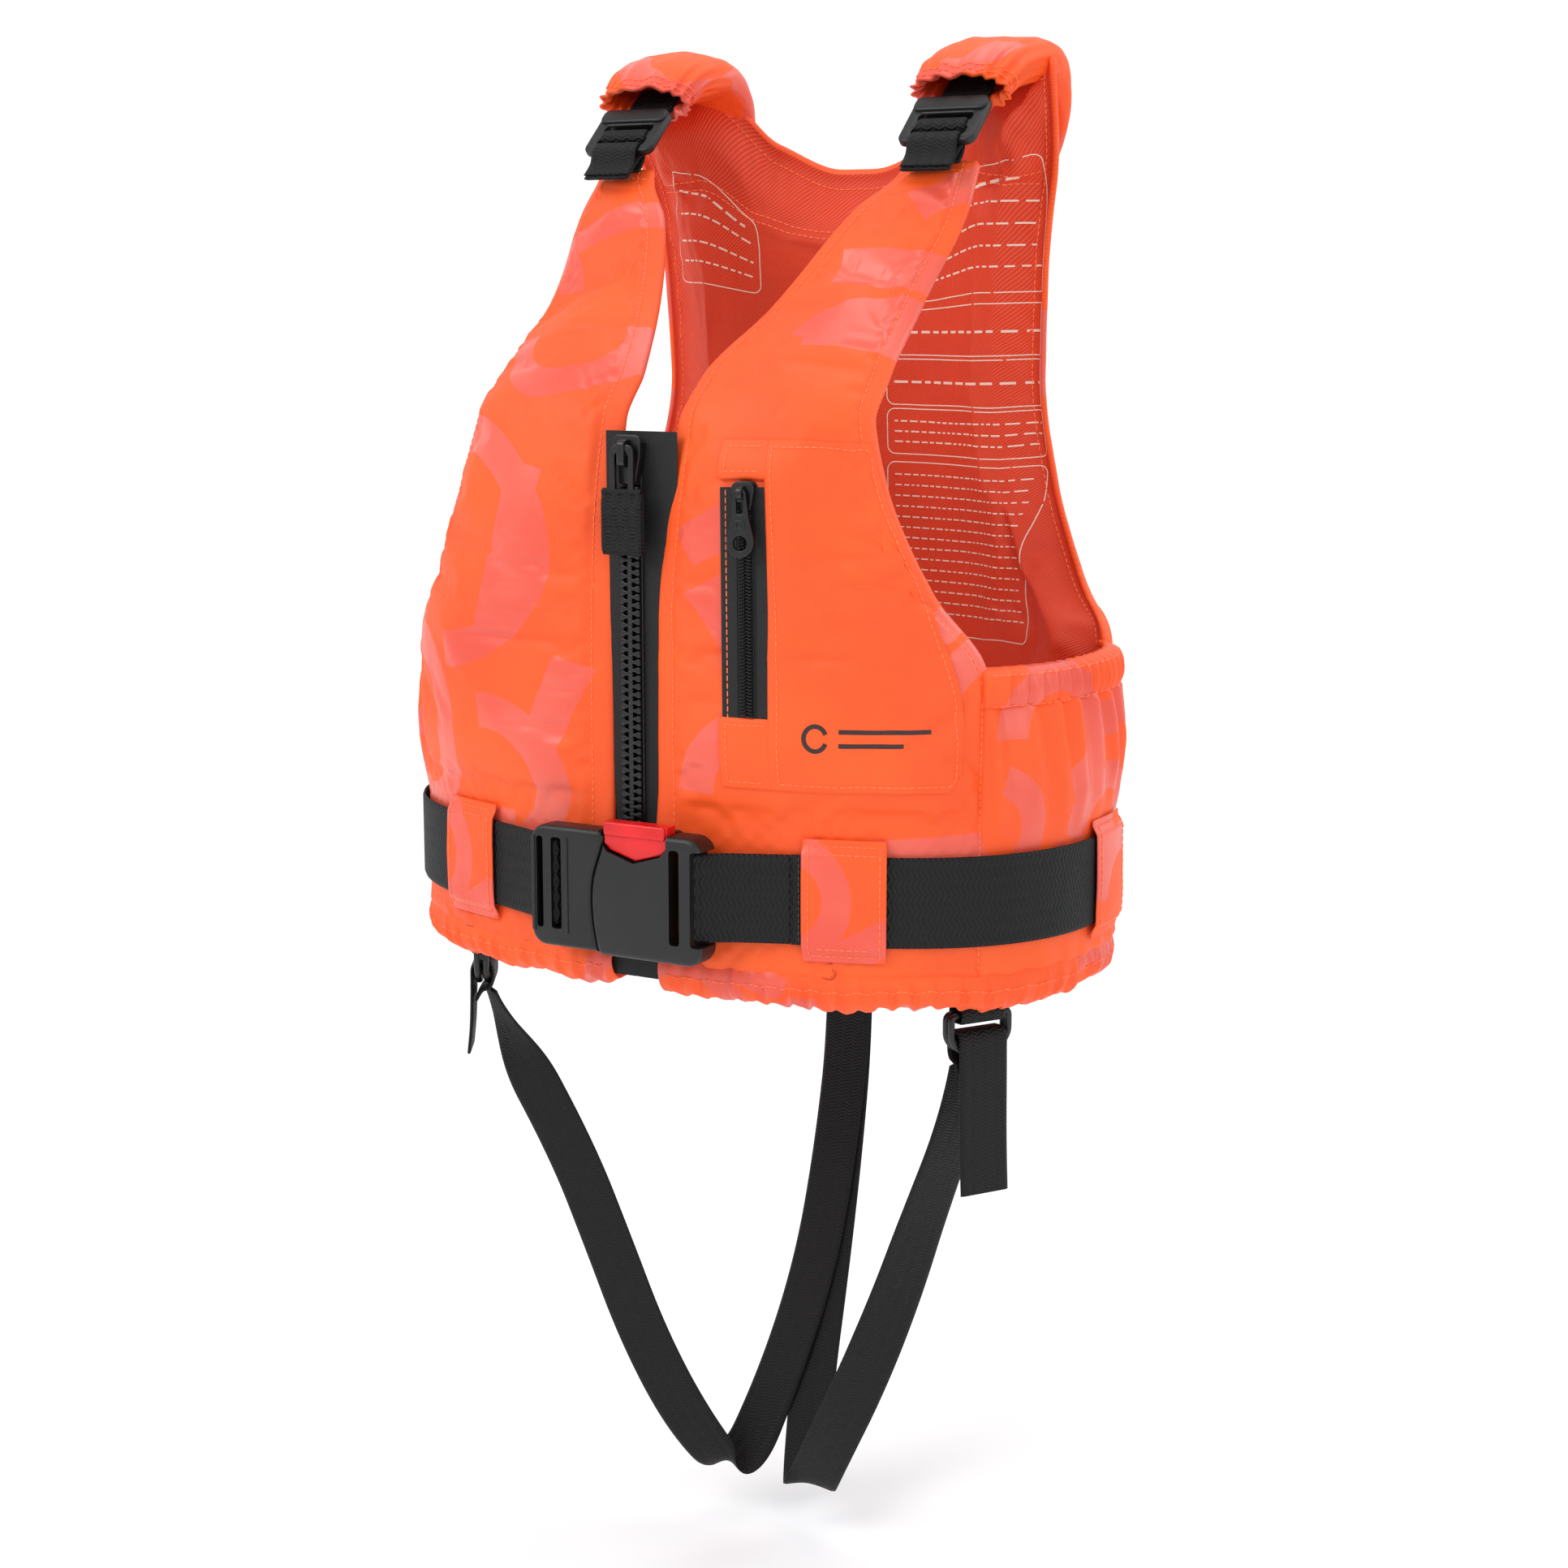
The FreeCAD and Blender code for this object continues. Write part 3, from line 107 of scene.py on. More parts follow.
def back_depth(z):
    return through([(HEM_Z, BACK_DEPTH - 12), (-WAIST, BACK_DEPTH), (WAIST, BACK_DEPTH),
                    (150, BACK_DEPTH + 3), (290, BACK_DEPTH), (BACK_TOP_Z, BACK_DEPTH - 10)], z)


def outline(angle, z):
    """Points of the body's outline for arrays of angles in degrees and heights."""
    angle, z = np.broadcast_arrays(np.asarray(angle, float), np.asarray(z, float))
    a = np.radians(angle)
    c, s = np.cos(a), np.sin(a)
    power = 2.0 / ROUNDNESS
    x = half_width(z) * np.abs(s) ** power * np.sign(s)
    y = np.where(c >= 0, front_middle(z) - front_depth(z) * np.abs(c) ** power,
                 back_depth(z) * np.abs(c) ** power)
    return np.stack([x, y, z], -1)


def normal(angle, z):
    """Outward directions of the body's outline."""
    n = np.cross(outline(angle + 0.5, z) - outline(angle - 0.5, z),
                 outline(angle, z + 1.0) - outline(angle, z - 1.0))
    return n / np.linalg.norm(n, axis=-1, keepdims=True)


def angle_at_x(x, z):
    share = np.minimum(1.0, np.abs(x) / half_width(z)) ** (ROUNDNESS / 2)
    return np.degrees(np.arcsin(share)) * np.sign(x)


def chest_puff(z):
    """How far the filled fronts stand out over the chest, in mm."""
    return through([(-WAIST, 0.0), (WAIST, 0.0), (WAIST + 30, PUFF), (V_NECK_Z, PUFF),
                    (STRAP_TOP_Z, 2.0)], z)


def swelling(share, up):
    return (np.sin(pi * np.clip(share, 0, 1)) ** 0.6
            * np.sin(pi * (0.06 + 0.88 * up)) ** 0.35)


def neck_edge(z, sign):
    """Distance of a front's inner edge from the middle line, in mm."""
    top, low = (17.0, 11.0) if sign > 0 else (14.0, 16.0)
    return through([(120, low), (V_NECK_Z - 10, top), (V_NECK_Z + 16, 17), (256, 32), (297, 52),
                    (STRAP_TOP_Z, STRAP_X - 16)], z)


def arm_edge(z):
    return through([(CHEST_Z - 8, SIDE_SEAM_X), (CHEST_Z + 4, SIDE_SEAM_X - 2), (133, 130),
                    (177, 111), (217, 101), (256, 98), (297, 103),
                    (STRAP_TOP_Z, STRAP_X + 16)], z)


def back_edge(z):
    x = through([(CHEST_Z, 150), (130, 131), (170, 114), (220, 105), (265, 107),
                 (BACK_TOP_Z, 121)], z)
    low = 180 - BACK_SEAM_ANGLE
    wide = np.where(z >= CHEST_Z, np.abs(angle_at_x(x, z)), low)
    mix = np.clip((z - CHEST_Z) / 18, 0, 1)
    return low + (np.minimum(wide, low) - low) * mix


# ------------------------------------------------------------------ repeatable noise
def noise2(u, v, seed=0):
    """Smooth repeatable noise from -1 to 1 for arrays of places."""
    rng = np.random.default_rng(seed)
    size = 64
    lattice = rng.uniform(-1, 1, (size, size))
    u, v = np.broadcast_arrays(np.asarray(u, float), np.asarray(v, float))
    i, j = np.floor(u).astype(int), np.floor(v).astype(int)
    fu, fv = u - i, v - j
    fu, fv = fu * fu * fu * (fu * (fu * 6 - 15) + 10), fv * fv * fv * (fv * (fv * 6 - 15) + 10)
    a, b = lattice[i % size, j % size], lattice[(i + 1) % size, j % size]
    c, d = lattice[i % size, (j + 1) % size], lattice[(i + 1) % size, (j + 1) % size]
    return (a * (1 - fu) + b * fu) * (1 - fv) + (c * (1 - fu) + d * fu) * fv


def rolling(u, v, seed=0, octaves=3):
    """Several sizes of the noise added up."""
    total, size = 0.0, 1.0
    for k in range(octaves):
        total = total + size * noise2(u * 2 ** k, v * 2 ** k, seed + 7 * k)
        size *= 0.5
    return total / 1.75


def creases(u, v, seed=0):
    """Narrow soft ridges, as in pulled cloth, from 0 to 1."""
    warp = rolling(u * 0.5, v * 0.5, seed + 31, 2)
    return (1 - np.abs(rolling(u + warp, v + warp, seed, 2))) ** 4


# ------------------------------------------------------------------ mesh helpers
def new_object(name, points, faces, uvs=None):
    """Mesh object from arrays; uvs has one (u, v) per point, in metres."""
    mesh = bpy.data.meshes.new(name)
    mesh.from_pydata([tuple(p) for p in np.asarray(points, float)], [], faces)
    if uvs is not None:
        layer = mesh.uv_layers.new(name="cloth")
        index = np.zeros(len(mesh.loops), int)
        mesh.loops.foreach_get("vertex_index", index)
        layer.data.foreach_set("uv", np.asarray(uvs, float)[index].astype(np.float32).ravel())
    mesh.validate()
    obj = bpy.data.objects.new(name, mesh)
    bpy.context.scene.collection.objects.link(obj)
    mesh.polygons.foreach_set("use_smooth", [True] * len(mesh.polygons))
    outward(obj)
    return obj


def two_sided(obj, cells, shell):
    """Outer cloth on the first grid of faces and lining on the second."""
    index = np.zeros(len(obj.data.polygons), int)
    index[cells:2 * cells] = 1
    for key in (shell, "lining"):
        obj.data.materials.append(MATERIALS[key])
    obj.data.polygons.foreach_set("material_index", index)


def outward(obj):
    """Turn every closed shell's faces outward."""
    bm = bmesh.new()
    bm.from_mesh(obj.data)
    bmesh.ops.recalc_face_normals(bm, faces=bm.faces)
    bm.to_mesh(obj.data)
    bm.free()


def grid_faces(rows, columns, start=0, wrap_rows=False, wrap_columns=False):
    faces = []
    for i in range(rows if wrap_rows else rows - 1):
        for j in range(columns if wrap_columns else columns - 1):
            i2, j2 = (i + 1) % rows, (j + 1) % columns
            faces.append((start + i * columns + j, start + i * columns + j2,
                          start + i2 * columns + j2, start + i2 * columns + j))
    return faces


def slab(outer, inner, bulge=0.0):
    """Points and faces of a closed slab between two grids, its rims rounded outward."""
    rows, columns = outer.shape[:2]
    points = [outer.reshape(-1, 3), inner.reshape(-1, 3)]
    n = rows * columns
    faces = grid_faces(rows, columns) + grid_faces(rows, columns, n)
    ring = ([(0, j) for j in range(columns)] + [(i, columns - 1) for i in range(1, rows)]
            + [(rows - 1, j) for j in range(columns - 2, -1, -1)]
            + [(i, 0) for i in range(rows - 2, 0, -1)])
    ri, rj = np.array([r[0] for r in ring]), np.array([r[1] for r in ring])
    ci, cj = np.clip(ri, 1, rows - 2), np.clip(rj, 1, columns - 2)
    a, b = outer[ri, rj], inner[ri, rj]
    out = (a + b - outer[ci, cj] - inner[ci, cj])
    out /= np.maximum(1e-9, np.linalg.norm(out, axis=-1, keepdims=True))
    gap = np.linalg.norm(a - b, axis=-1, keepdims=True)
    mids = [a + (b - a) * t + out * (gap * 0.5 + bulge) * sin(pi * t) for t in (0.2, 0.5, 0.8)]
    start = 2 * n
    for m in mids:
        points.append(m)
    count = len(ring)
    outer_ring = [r[0] * columns + r[1] for r in ring]
    rings = [outer_ring] + [[start + k * count + i for i in range(count)] for k in range(3)]
    rings.append([n + r for r in outer_ring])
    for one, two in zip(rings, rings[1:]):
        for i in range(count):
            k = (i + 1) % count
            faces.append((one[i], one[k], two[k], two[i]))
    return np.concatenate(points), faces, (outer_ring, count)


def slab_values(grid, ring):
    """Spread one value per grid point over the slab's outer, inner and rim points."""
    flat = grid.reshape(-1, *grid.shape[2:])
    rim = flat[np.array(ring[0])]
    return np.concatenate([flat, flat, rim, rim, rim])


def arc_lengths(points, axis):
    step = np.linalg.norm(np.diff(points, axis=axis), axis=-1)
    total = np.cumsum(step, axis=axis)
    pad = [(0, 0)] * total.ndim
    pad[axis] = (1, 0)
    return np.pad(total, pad)


def panel_grid(edge_in, edge_out, low, high, cell, angle_from=0.0):
    """Angles, heights, shares across and up, and cloth coordinates of a panel, in mm."""
    z = np.linspace(low, high, 41)
    mid = outline((edge_in(z) + edge_out(z)) / 2, z)
    run = arc_lengths(mid, 0)
    rows = max(8, int(run[-1] / cell))
    heights = np.interp(np.linspace(0, run[-1], rows), run, z)
    a, b = edge_in(heights), edge_out(heights)
    fine = outline(a[:, None] + np.linspace(0, 1, 31) * (b - a)[:, None], heights[:, None])
    width = arc_lengths(fine, 1)[:, -1]
    columns = max(6, int(width.max() / cell))
    share = np.linspace(0, 1, columns)
    angle = a[:, None] + share * (b - a)[:, None]
    zz = np.broadcast_to(heights[:, None], angle.shape)
    up = np.broadcast_to(np.linspace(0, 1, rows)[:, None], angle.shape)
    across = np.broadcast_to(share, angle.shape)
    start = outline(np.linspace(0, 1, 31) * a[:, None] + angle_from, heights[:, None])
    offset = arc_lengths(start, 1)[:, -1] * np.sign(a) if angle_from == 0 else -width / 2
    u = offset[:, None] + across * width[:, None] * np.sign(b - a)[:, None]
    v = np.broadcast_to(np.linspace(0, run[-1], rows)[:, None] + low, angle.shape)
    return angle, zz, across, up, u, v, width, run[-1]


def capsules(name, rows, wide, long=None, high=0.0006):
    """Many small rounded stitches as one mesh, from rows of middles, runs and normals."""
    long = long or bpy.context.scene.life_jacket.stitch_length
    middles, runs, normals = (np.concatenate(a) for a in zip(*rows))
    runs = runs / np.linalg.norm(runs, axis=-1, keepdims=True)
    side = np.cross(runs, normals)
    side /= np.linalg.norm(side, axis=-1, keepdims=True)
    up = np.cross(side, runs)
    rings = [(-0.5, 0.25), (-0.36, 0.9), (0.0, 1.0), (0.36, 0.9), (0.5, 0.25)]
    local = []
    for place, size in rings:
        for k in range(6):
            a = 2 * pi * k / 6
            local.append((place * long, cos(a) * wide / 2 * size, sin(a) * high / 2 * size))
    faces = grid_faces(len(rings), 6, wrap_columns=True)
    faces += [tuple(range(5, -1, -1)), tuple((len(rings) - 1) * 6 + k for k in range(6))]
    local = np.array(local)
    count = len(local)
    points = (middles[:, None] + runs[:, None] * local[None, :, :1] + side[:, None]
              * local[None, :, 1:2] + up[:, None] * local[None, :, 2:3]).reshape(-1, 3)
    all_faces = [tuple(i * count + f for f in face) for i in range(len(middles)) for face in faces]
    return new_object(name, points, all_faces)


def seam(line, normals, pitch=0.0033, long=0.0025):
    """Stitch middles, directions and normals along a line of points, in metres."""
    run = np.concatenate([[0], np.cumsum(np.linalg.norm(np.diff(line, axis=0), axis=1))])
    places = np.arange(pitch / 2, run[-1], pitch)
    mid = np.stack([np.interp(places, run, line[:, k]) for k in range(3)], -1)
    ahead = np.stack([np.interp(np.minimum(places + long, run[-1]), run, line[:, k])
                      for k in range(3)], -1)
    behind = np.stack([np.interp(np.maximum(places - long, 0), run, line[:, k])
                       for k in range(3)], -1)
    n = np.stack([np.interp(places, run, normals[:, k]) for k in range(3)], -1)
    return mid, ahead - behind, n


def finish_piece(obj, body, material, nodes=()):
    """Give a piece its material, its body and the solids it stands for."""
    obj.data.materials.append(MATERIALS[material])
    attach(obj, body)
    if nodes:
        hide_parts(*nodes)
    return obj



# ------------------------------------------------------------------ shader helpers
class Nodes:
    """Short way to add and join shader nodes."""

    def __init__(self, tree):
        self.tree = tree

    def add(self, kind, inputs=None, **settings):
        node = self.tree.nodes.new(kind)
        for key, value in settings.items():
            setattr(node, key, value)
        for key, value in (inputs or {}).items():
            self.put(value, node.inputs[key])
        return node

    def put(self, value, socket):
        if isinstance(value, bpy.types.NodeSocket):
            self.tree.links.new(value, socket)
        else:
            socket.default_value = value

    def math(self, op, a, b=0.0, c=0.0, clamp=False):
        node = self.add("ShaderNodeMath", operation=op, use_clamp=clamp)
        for k, value in enumerate((a, b, c)):
            self.put(value, node.inputs[k])
        return node.outputs[0]

    def mix(self, share, a, b):
        node = self.add("ShaderNodeMix", data_type="RGBA")
        self.put(share, node.inputs[0])
        self.put(a, node.inputs[6])
        self.put(b, node.inputs[7])
        return node.outputs[2]

    def ramp(self, value, low, high, out_low=0.0, out_high=1.0, smooth=True):
        node = self.add("ShaderNodeMapRange",
                        interpolation_type="SMOOTHSTEP" if smooth else "LINEAR")
        for k, v in enumerate((value, low, high, out_low, out_high)):
            self.put(v, node.inputs[k])
        return node.outputs[0]

    def noise(self, vector, scale, detail=2.0, rough=0.5):
        node = self.add("ShaderNodeTexNoise", {"Scale": scale, "Detail": detail,
                                               "Roughness": rough})
        self.put(vector, node.inputs["Vector"])
        return node.outputs[0]


def shader_group(name, ins, outs):
    """New node group with its sockets, and the helper that fills it."""
    tree = bpy.data.node_groups.new(name, "ShaderNodeTree")
    for key, kind, value in ins:
        socket = tree.interface.new_socket(key, in_out="INPUT", socket_type=kind)
        if value is not None:
            socket.default_value = value
    for key, kind in outs:
        tree.interface.new_socket(key, in_out="OUTPUT", socket_type=kind)
    n = Nodes(tree)
    return tree, n, n.add("NodeGroupInput").outputs, n.add("NodeGroupOutput").inputs


FLOAT, VECTOR = "NodeSocketFloat", "NodeSocketVector"


def ring_band_group():
    """Part of a flat ring: 1 inside, from its centre, radius, width and two angles."""
    tree, n, i, o = shader_group(
        "Ring band", [("Place", VECTOR, None), ("Centre", VECTOR, (0, 0, 0)), ("Radius", FLOAT, 0.03),
                      ("Width", FLOAT, 0.012), ("From", FLOAT, -4.0), ("To", FLOAT, 4.0)],
        [("Mask", FLOAT)])
    rel = n.add("ShaderNodeVectorMath", operation="SUBTRACT")
    n.put(i["Place"], rel.inputs[0])
    n.put(i["Centre"], rel.inputs[1])
    part = n.add("ShaderNodeSeparateXYZ", {0: rel.outputs[0]})
    x, y = part.outputs[0], part.outputs[1]
    far = n.math("SQRT", n.math("ADD", n.math("MULTIPLY", x, x), n.math("MULTIPLY", y, y)))
    off = n.math("SUBTRACT", n.math("MULTIPLY", i["Width"], 0.5),
                 n.math("ABSOLUTE", n.math("SUBTRACT", far, i["Radius"])))
    ring = n.ramp(off, -0.0002, 0.0002)
    turn = n.math("ARCTAN2", y, x)
    inside = n.math("MULTIPLY", n.math("GREATER_THAN", turn, i["From"]),
                    n.math("LESS_THAN", turn, i["To"]))
    n.put(n.math("MULTIPLY", ring, inside), o["Mask"])
    return tree


def bar_band_group():
    """Flat bar: 1 inside, from its centre, half sizes and turn."""
    tree, n, i, o = shader_group(
        "Bar band", [("Place", VECTOR, None), ("Centre", VECTOR, (0, 0, 0)), ("Half Long", FLOAT, 0.03),
                     ("Half Wide", FLOAT, 0.008), ("Turn", FLOAT, 0.0)], [("Mask", FLOAT)])
    rot = n.add("ShaderNodeVectorRotate", rotation_type="Z_AXIS")
    n.put(i["Place"], rot.inputs["Vector"])
    n.put(i["Centre"], rot.inputs["Center"])
    n.put(n.math("MULTIPLY", i["Turn"], -1.0), rot.inputs["Angle"])
    rel = n.add("ShaderNodeVectorMath", operation="SUBTRACT")
    n.put(rot.outputs[0], rel.inputs[0])
    n.put(i["Centre"], rel.inputs[1])
    part = n.add("ShaderNodeSeparateXYZ", {0: rel.outputs[0]})
    long = n.math("SUBTRACT", i["Half Long"], n.math("ABSOLUTE", part.outputs[0]))
    wide = n.math("SUBTRACT", i["Half Wide"], n.math("ABSOLUTE", part.outputs[1]))
    n.put(n.ramp(n.math("MINIMUM", long, wide), -0.0002, 0.0002), o["Mask"])
    return tree


def weave_group():
    """Fine plain or twill weave: a height from 0 to 1 from cloth coordinates in metres."""
    tree, n, i, o = shader_group(
        "Weave", [("Place", VECTOR, None), ("Pitch", FLOAT, 0.0007), ("Twill", FLOAT, 0.0)],
        [("Height", FLOAT), ("Value", FLOAT)])
    part = n.add("ShaderNodeSeparateXYZ", {0: i["Place"]})
    k = n.math("DIVIDE", 2 * pi, i["Pitch"])
    a = n.math("MULTIPLY", part.outputs[0], k)
    b = n.math("MULTIPLY", part.outputs[1], k)
    plain = n.math("MULTIPLY", n.math("SINE", a), n.math("SINE", b))
    twill = n.math("SINE", n.math("ADD", a, b))
    pick = n.math("ADD", n.math("MULTIPLY", plain, n.math("SUBTRACT", 1.0, i["Twill"])),
                  n.math("MULTIPLY", twill, i["Twill"]))
    n.put(n.math("MULTIPLY_ADD", pick, 0.5, 0.5), o["Height"])
    n.put(n.noise(i["Place"], 900.0, 2.0), o["Value"])
    return tree


def webbing_group():
    """Ribbed webbing in two columns of slanting ribs; x runs across it in metres."""
    tree, n, i, o = shader_group(
        "Webbing", [("Place", VECTOR, None), ("Rib", FLOAT, 0.0019), ("Columns", FLOAT, 0.0042),
                    ("Slant", FLOAT, 0.45)],
        [("Height", FLOAT), ("Value", FLOAT)])
    part = n.add("ShaderNodeSeparateXYZ", {0: i["Place"]})
    x, y = part.outputs[0], part.outputs[1]
    fold = n.math("PINGPONG", x, i["Columns"])
    along = n.math("ADD", y, n.math("MULTIPLY", fold, i["Slant"]))
    rib = n.math("SINE", n.math("MULTIPLY", along, n.math("DIVIDE", 2 * pi, i["Rib"])))
    rib = n.math("MULTIPLY_ADD", rib, 0.5, 0.5)
    cord = n.math("SINE", n.math("MULTIPLY", x, n.math("DIVIDE", pi, i["Columns"])))
    cord = n.math("POWER", n.math("ABSOLUTE", cord), 0.5)
    n.put(n.math("MULTIPLY", n.math("POWER", rib, 0.7), n.math("MULTIPLY_ADD", cord, 0.35, 0.65)),
          o["Height"])
    n.put(n.noise(i["Place"], 1400.0, 3.0, 0.7), o["Value"])
    return tree


GROUPS = {}


def group(n, name, **inputs):
    node = n.add("ShaderNodeGroup", node_tree=GROUPS[name])
    for key, value in inputs.items():
        n.put(value, node.inputs[key.replace("_", " ")])
    return node.outputs


def linear(r, g, b):
    """Linear colour from red, green and blue out of 255."""
    return tuple((c / 255 / 12.92) if c / 255 <= 0.04045 else ((c / 255 + 0.055) / 1.055) ** 2.4
                 for c in (r, g, b)) + (1.0,)


def blank(name):
    material = bpy.data.materials.new(name)
    material.use_nodes = True
    tree = material.node_tree
    n = Nodes(tree)
    shader = tree.nodes["Principled BSDF"]
    return material, n, shader


def bump(n, height, strength, distance):
    node = n.add("ShaderNodeBump", {"Height": height, "Strength": strength,
                                    "Distance": distance})
    return node.outputs[0]


# the tonal print: bands given as (u, v, ...) in metres of cloth
PRINTS = {
    "right": {
        "rings": [(-0.098, 0.150, 0.052, 0.017, -1.6, 3.2), (-0.142, 0.060, 0.040, 0.017, -3.2, 1.5),
                  (-0.052, 0.255, 0.030, 0.015, -3.2, 0.6), (-0.115, 0.285, 0.034, 0.016, 0.2, 3.2),
                  (-0.070, 0.040, 0.032, 0.016, -1.7, 1.7), (-0.155, 0.215, 0.030, 0.015, -1.6, 3.2)],
        "bars": [(-0.060, 0.150, 0.040, 0.009, 1.35), (-0.150, 0.110, 0.032, 0.008, 1.0),
                 (-0.105, 0.018, 0.045, 0.008, 0.0), (-0.070, 0.335, 0.034, 0.009, 0.5),
                 (-0.036, 0.075, 0.024, 0.008, 1.2)],
    },
    "left": {
        "rings": [(0.125, 0.155, 0.036, 0.016, -3.2, 0.4), (0.060, 0.045, 0.034, 0.015, 0.3, 3.2),
                  (0.165, 0.075, 0.034, 0.016, -1.0, 2.6), (0.095, 0.245, 0.036, 0.017, 0.4, 2.9),
                  (0.190, 0.010, 0.030, 0.014, -0.4, 3.2)],
        "bars": [(0.092, 0.305, 0.036, 0.011, 0.0), (0.098, 0.262, 0.040, 0.011, 0.05),
                 (0.050, 0.105, 0.040, 0.009, 2.1), (0.078, 0.100, 0.036, 0.009, 0.9),
                 (0.120, 0.020, 0.050, 0.008, 0.05), (0.105, 0.360, 0.030, 0.009, 0.7),
                 (0.040, 0.165, 0.020, 0.009, 0.5)],
    },
    "back": {
        "rings": [(-0.060, 0.250, 0.052, 0.019, -3.2, 1.2), (0.075, 0.160, 0.052, 0.019, -1.2, 3.2),
                  (-0.080, 0.080, 0.045, 0.018, 0.2, 3.2), (0.060, 0.010, 0.045, 0.018, 0.0, 3.2),
                  (0.040, 0.330, 0.034, 0.016, -3.2, 0.2)],
        "bars": [(0.010, 0.215, 0.070, 0.010, 0.6), (-0.020, 0.120, 0.060, 0.010, 2.2),
                 (0.090, 0.255, 0.034, 0.010, 0.0), (-0.090, 0.330, 0.030, 0.010, 0.0),
                 (0.0, 0.045, 0.040, 0.010, 1.57)],
    },
    "plain": {"rings": [], "bars": []},
    "small": {
        "rings": [(0.012, 0.030, 0.024, 0.013, -3.2, 1.2), (0.050, 0.070, 0.026, 0.014, -1.2, 3.2),
                  (0.095, 0.020, 0.026, 0.013, 0.2, 3.2)],
        "bars": [(0.030, 0.000, 0.034, 0.008, 0.5), (0.075, 0.050, 0.030, 0.008, 1.2),
                 (0.110, 0.075, 0.030, 0.008, 0.2), (-0.020, 0.075, 0.030, 0.008, 2.0)],
    },
}


def shell_material(name, print_name):
    """Orange woven shell with its glossier tonal print."""
    material, n, shader = blank(name)
    place = n.add("ShaderNodeUVMap", uv_map="cloth").outputs[0]
    mask = 0.0
    for u, v, r, w, a, b in PRINTS[print_name]["rings"]:
        one = group(n, "Ring band", Place=place, Centre=(u, v, 0), Radius=r, Width=w, From=a,
                    To=b)["Mask"]
        mask = n.math("MAXIMUM", one, mask)
    for u, v, long, wide, turn in PRINTS[print_name]["bars"]:
        one = group(n, "Bar band", Place=place, Centre=(u, v, 0), Half_Long=long,
                    Half_Wide=wide, Turn=turn)["Mask"]
        mask = n.math("MAXIMUM", one, mask)
    weave = group(n, "Weave", Place=place, Pitch=0.0011, Twill=0.0)
    blotch = n.noise(place, 14.0, 3.0)
    grain = n.ramp(weave["Height"], 0.0, 1.0, 0.86, 1.06)
    jacket = bpy.context.scene.life_jacket
    blotch = n.ramp(blotch, 0.3, 0.7)
    base = n.mix(blotch, (*jacket.shell_dark, 1), (*jacket.shell_light, 1))
    printed = n.mix(blotch, (*jacket.print_dark, 1), (*jacket.print_light, 1))
    colour = n.mix(n.math("MULTIPLY", mask, 0.97), base, printed)
    shade = n.add("ShaderNodeMix", data_type="RGBA", blend_type="MULTIPLY")
    shade.inputs[0].default_value = 1.0
    n.put(colour, shade.inputs[6])
    tone = n.add("ShaderNodeCombineColor", {0: grain, 1: grain, 2: grain})
    n.put(tone.outputs[0], shade.inputs[7])
    n.put(shade.outputs[2], shader.inputs["Base Color"])
    n.put(n.ramp(mask, 0.0, 1.0, 0.56, 0.36), shader.inputs["Roughness"])
    shader.inputs["Sheen Weight"].default_value = 0.08
    shader.inputs["Sheen Roughness"].default_value = 0.4
    shader.inputs["Sheen Tint"].default_value = linear(255, 150, 100)
    puckers = n.noise(place, 55.0, 3.0, 0.55)
    n.put(bump(n, n.math("ADD", n.math("MULTIPLY", weave["Height"], n.ramp(mask, 0, 1, 0.16, 0.05)),
                         puckers), 0.5, 0.0011), shader.inputs["Normal"])
    return material


def lining_material():
    """Darker orange twill lining."""
    material, n, shader = blank("lining")
    place = n.add("ShaderNodeUVMap", uv_map="cloth").outputs[0]
    weave = group(n, "Weave", Place=place, Pitch=0.0016, Twill=1.0)
    tone = n.ramp(weave["Height"], 0.0, 1.0, 0.0, 1.0)
    blotch = n.ramp(n.noise(place, 10.0, 3.0), 0.3, 0.7)
    low = n.mix(blotch, linear(190, 40, 2), linear(200, 46, 3))
    high = n.mix(blotch, linear(226, 62, 5), linear(234, 68, 7))
    n.put(n.mix(tone, low, high), shader.inputs["Base Color"])
    shader.inputs["Roughness"].default_value = 0.62
    shader.inputs["Sheen Weight"].default_value = 0.06
    n.put(bump(n, n.math("MULTIPLY_ADD", weave["Height"], 0.3, n.noise(place, 40.0, 2.0)),
               0.4, 0.001), shader.inputs["Normal"])
    return material


def webbing_material(name, rib, columns, slant):
    """Black ribbed webbing."""
    material, n, shader = blank(name)
    place = n.add("ShaderNodeUVMap", uv_map="cloth").outputs[0]
    web = group(n, "Webbing", Place=place, Rib=rib, Columns=columns, Slant=slant)
    tone = n.math("MULTIPLY", web["Height"], n.ramp(web["Value"], 0.2, 0.8, 0.6, 1.0))
    n.put(n.mix(tone, linear(3, 3, 4), linear(19, 19, 21)), shader.inputs["Base Color"])
    n.put(n.ramp(web["Value"], 0.2, 0.8, 0.5, 0.72), shader.inputs["Roughness"])
    shader.inputs["Specular IOR Level"].default_value = 0.3
    n.put(bump(n, web["Height"], 0.8, 0.0005), shader.inputs["Normal"])
    return material


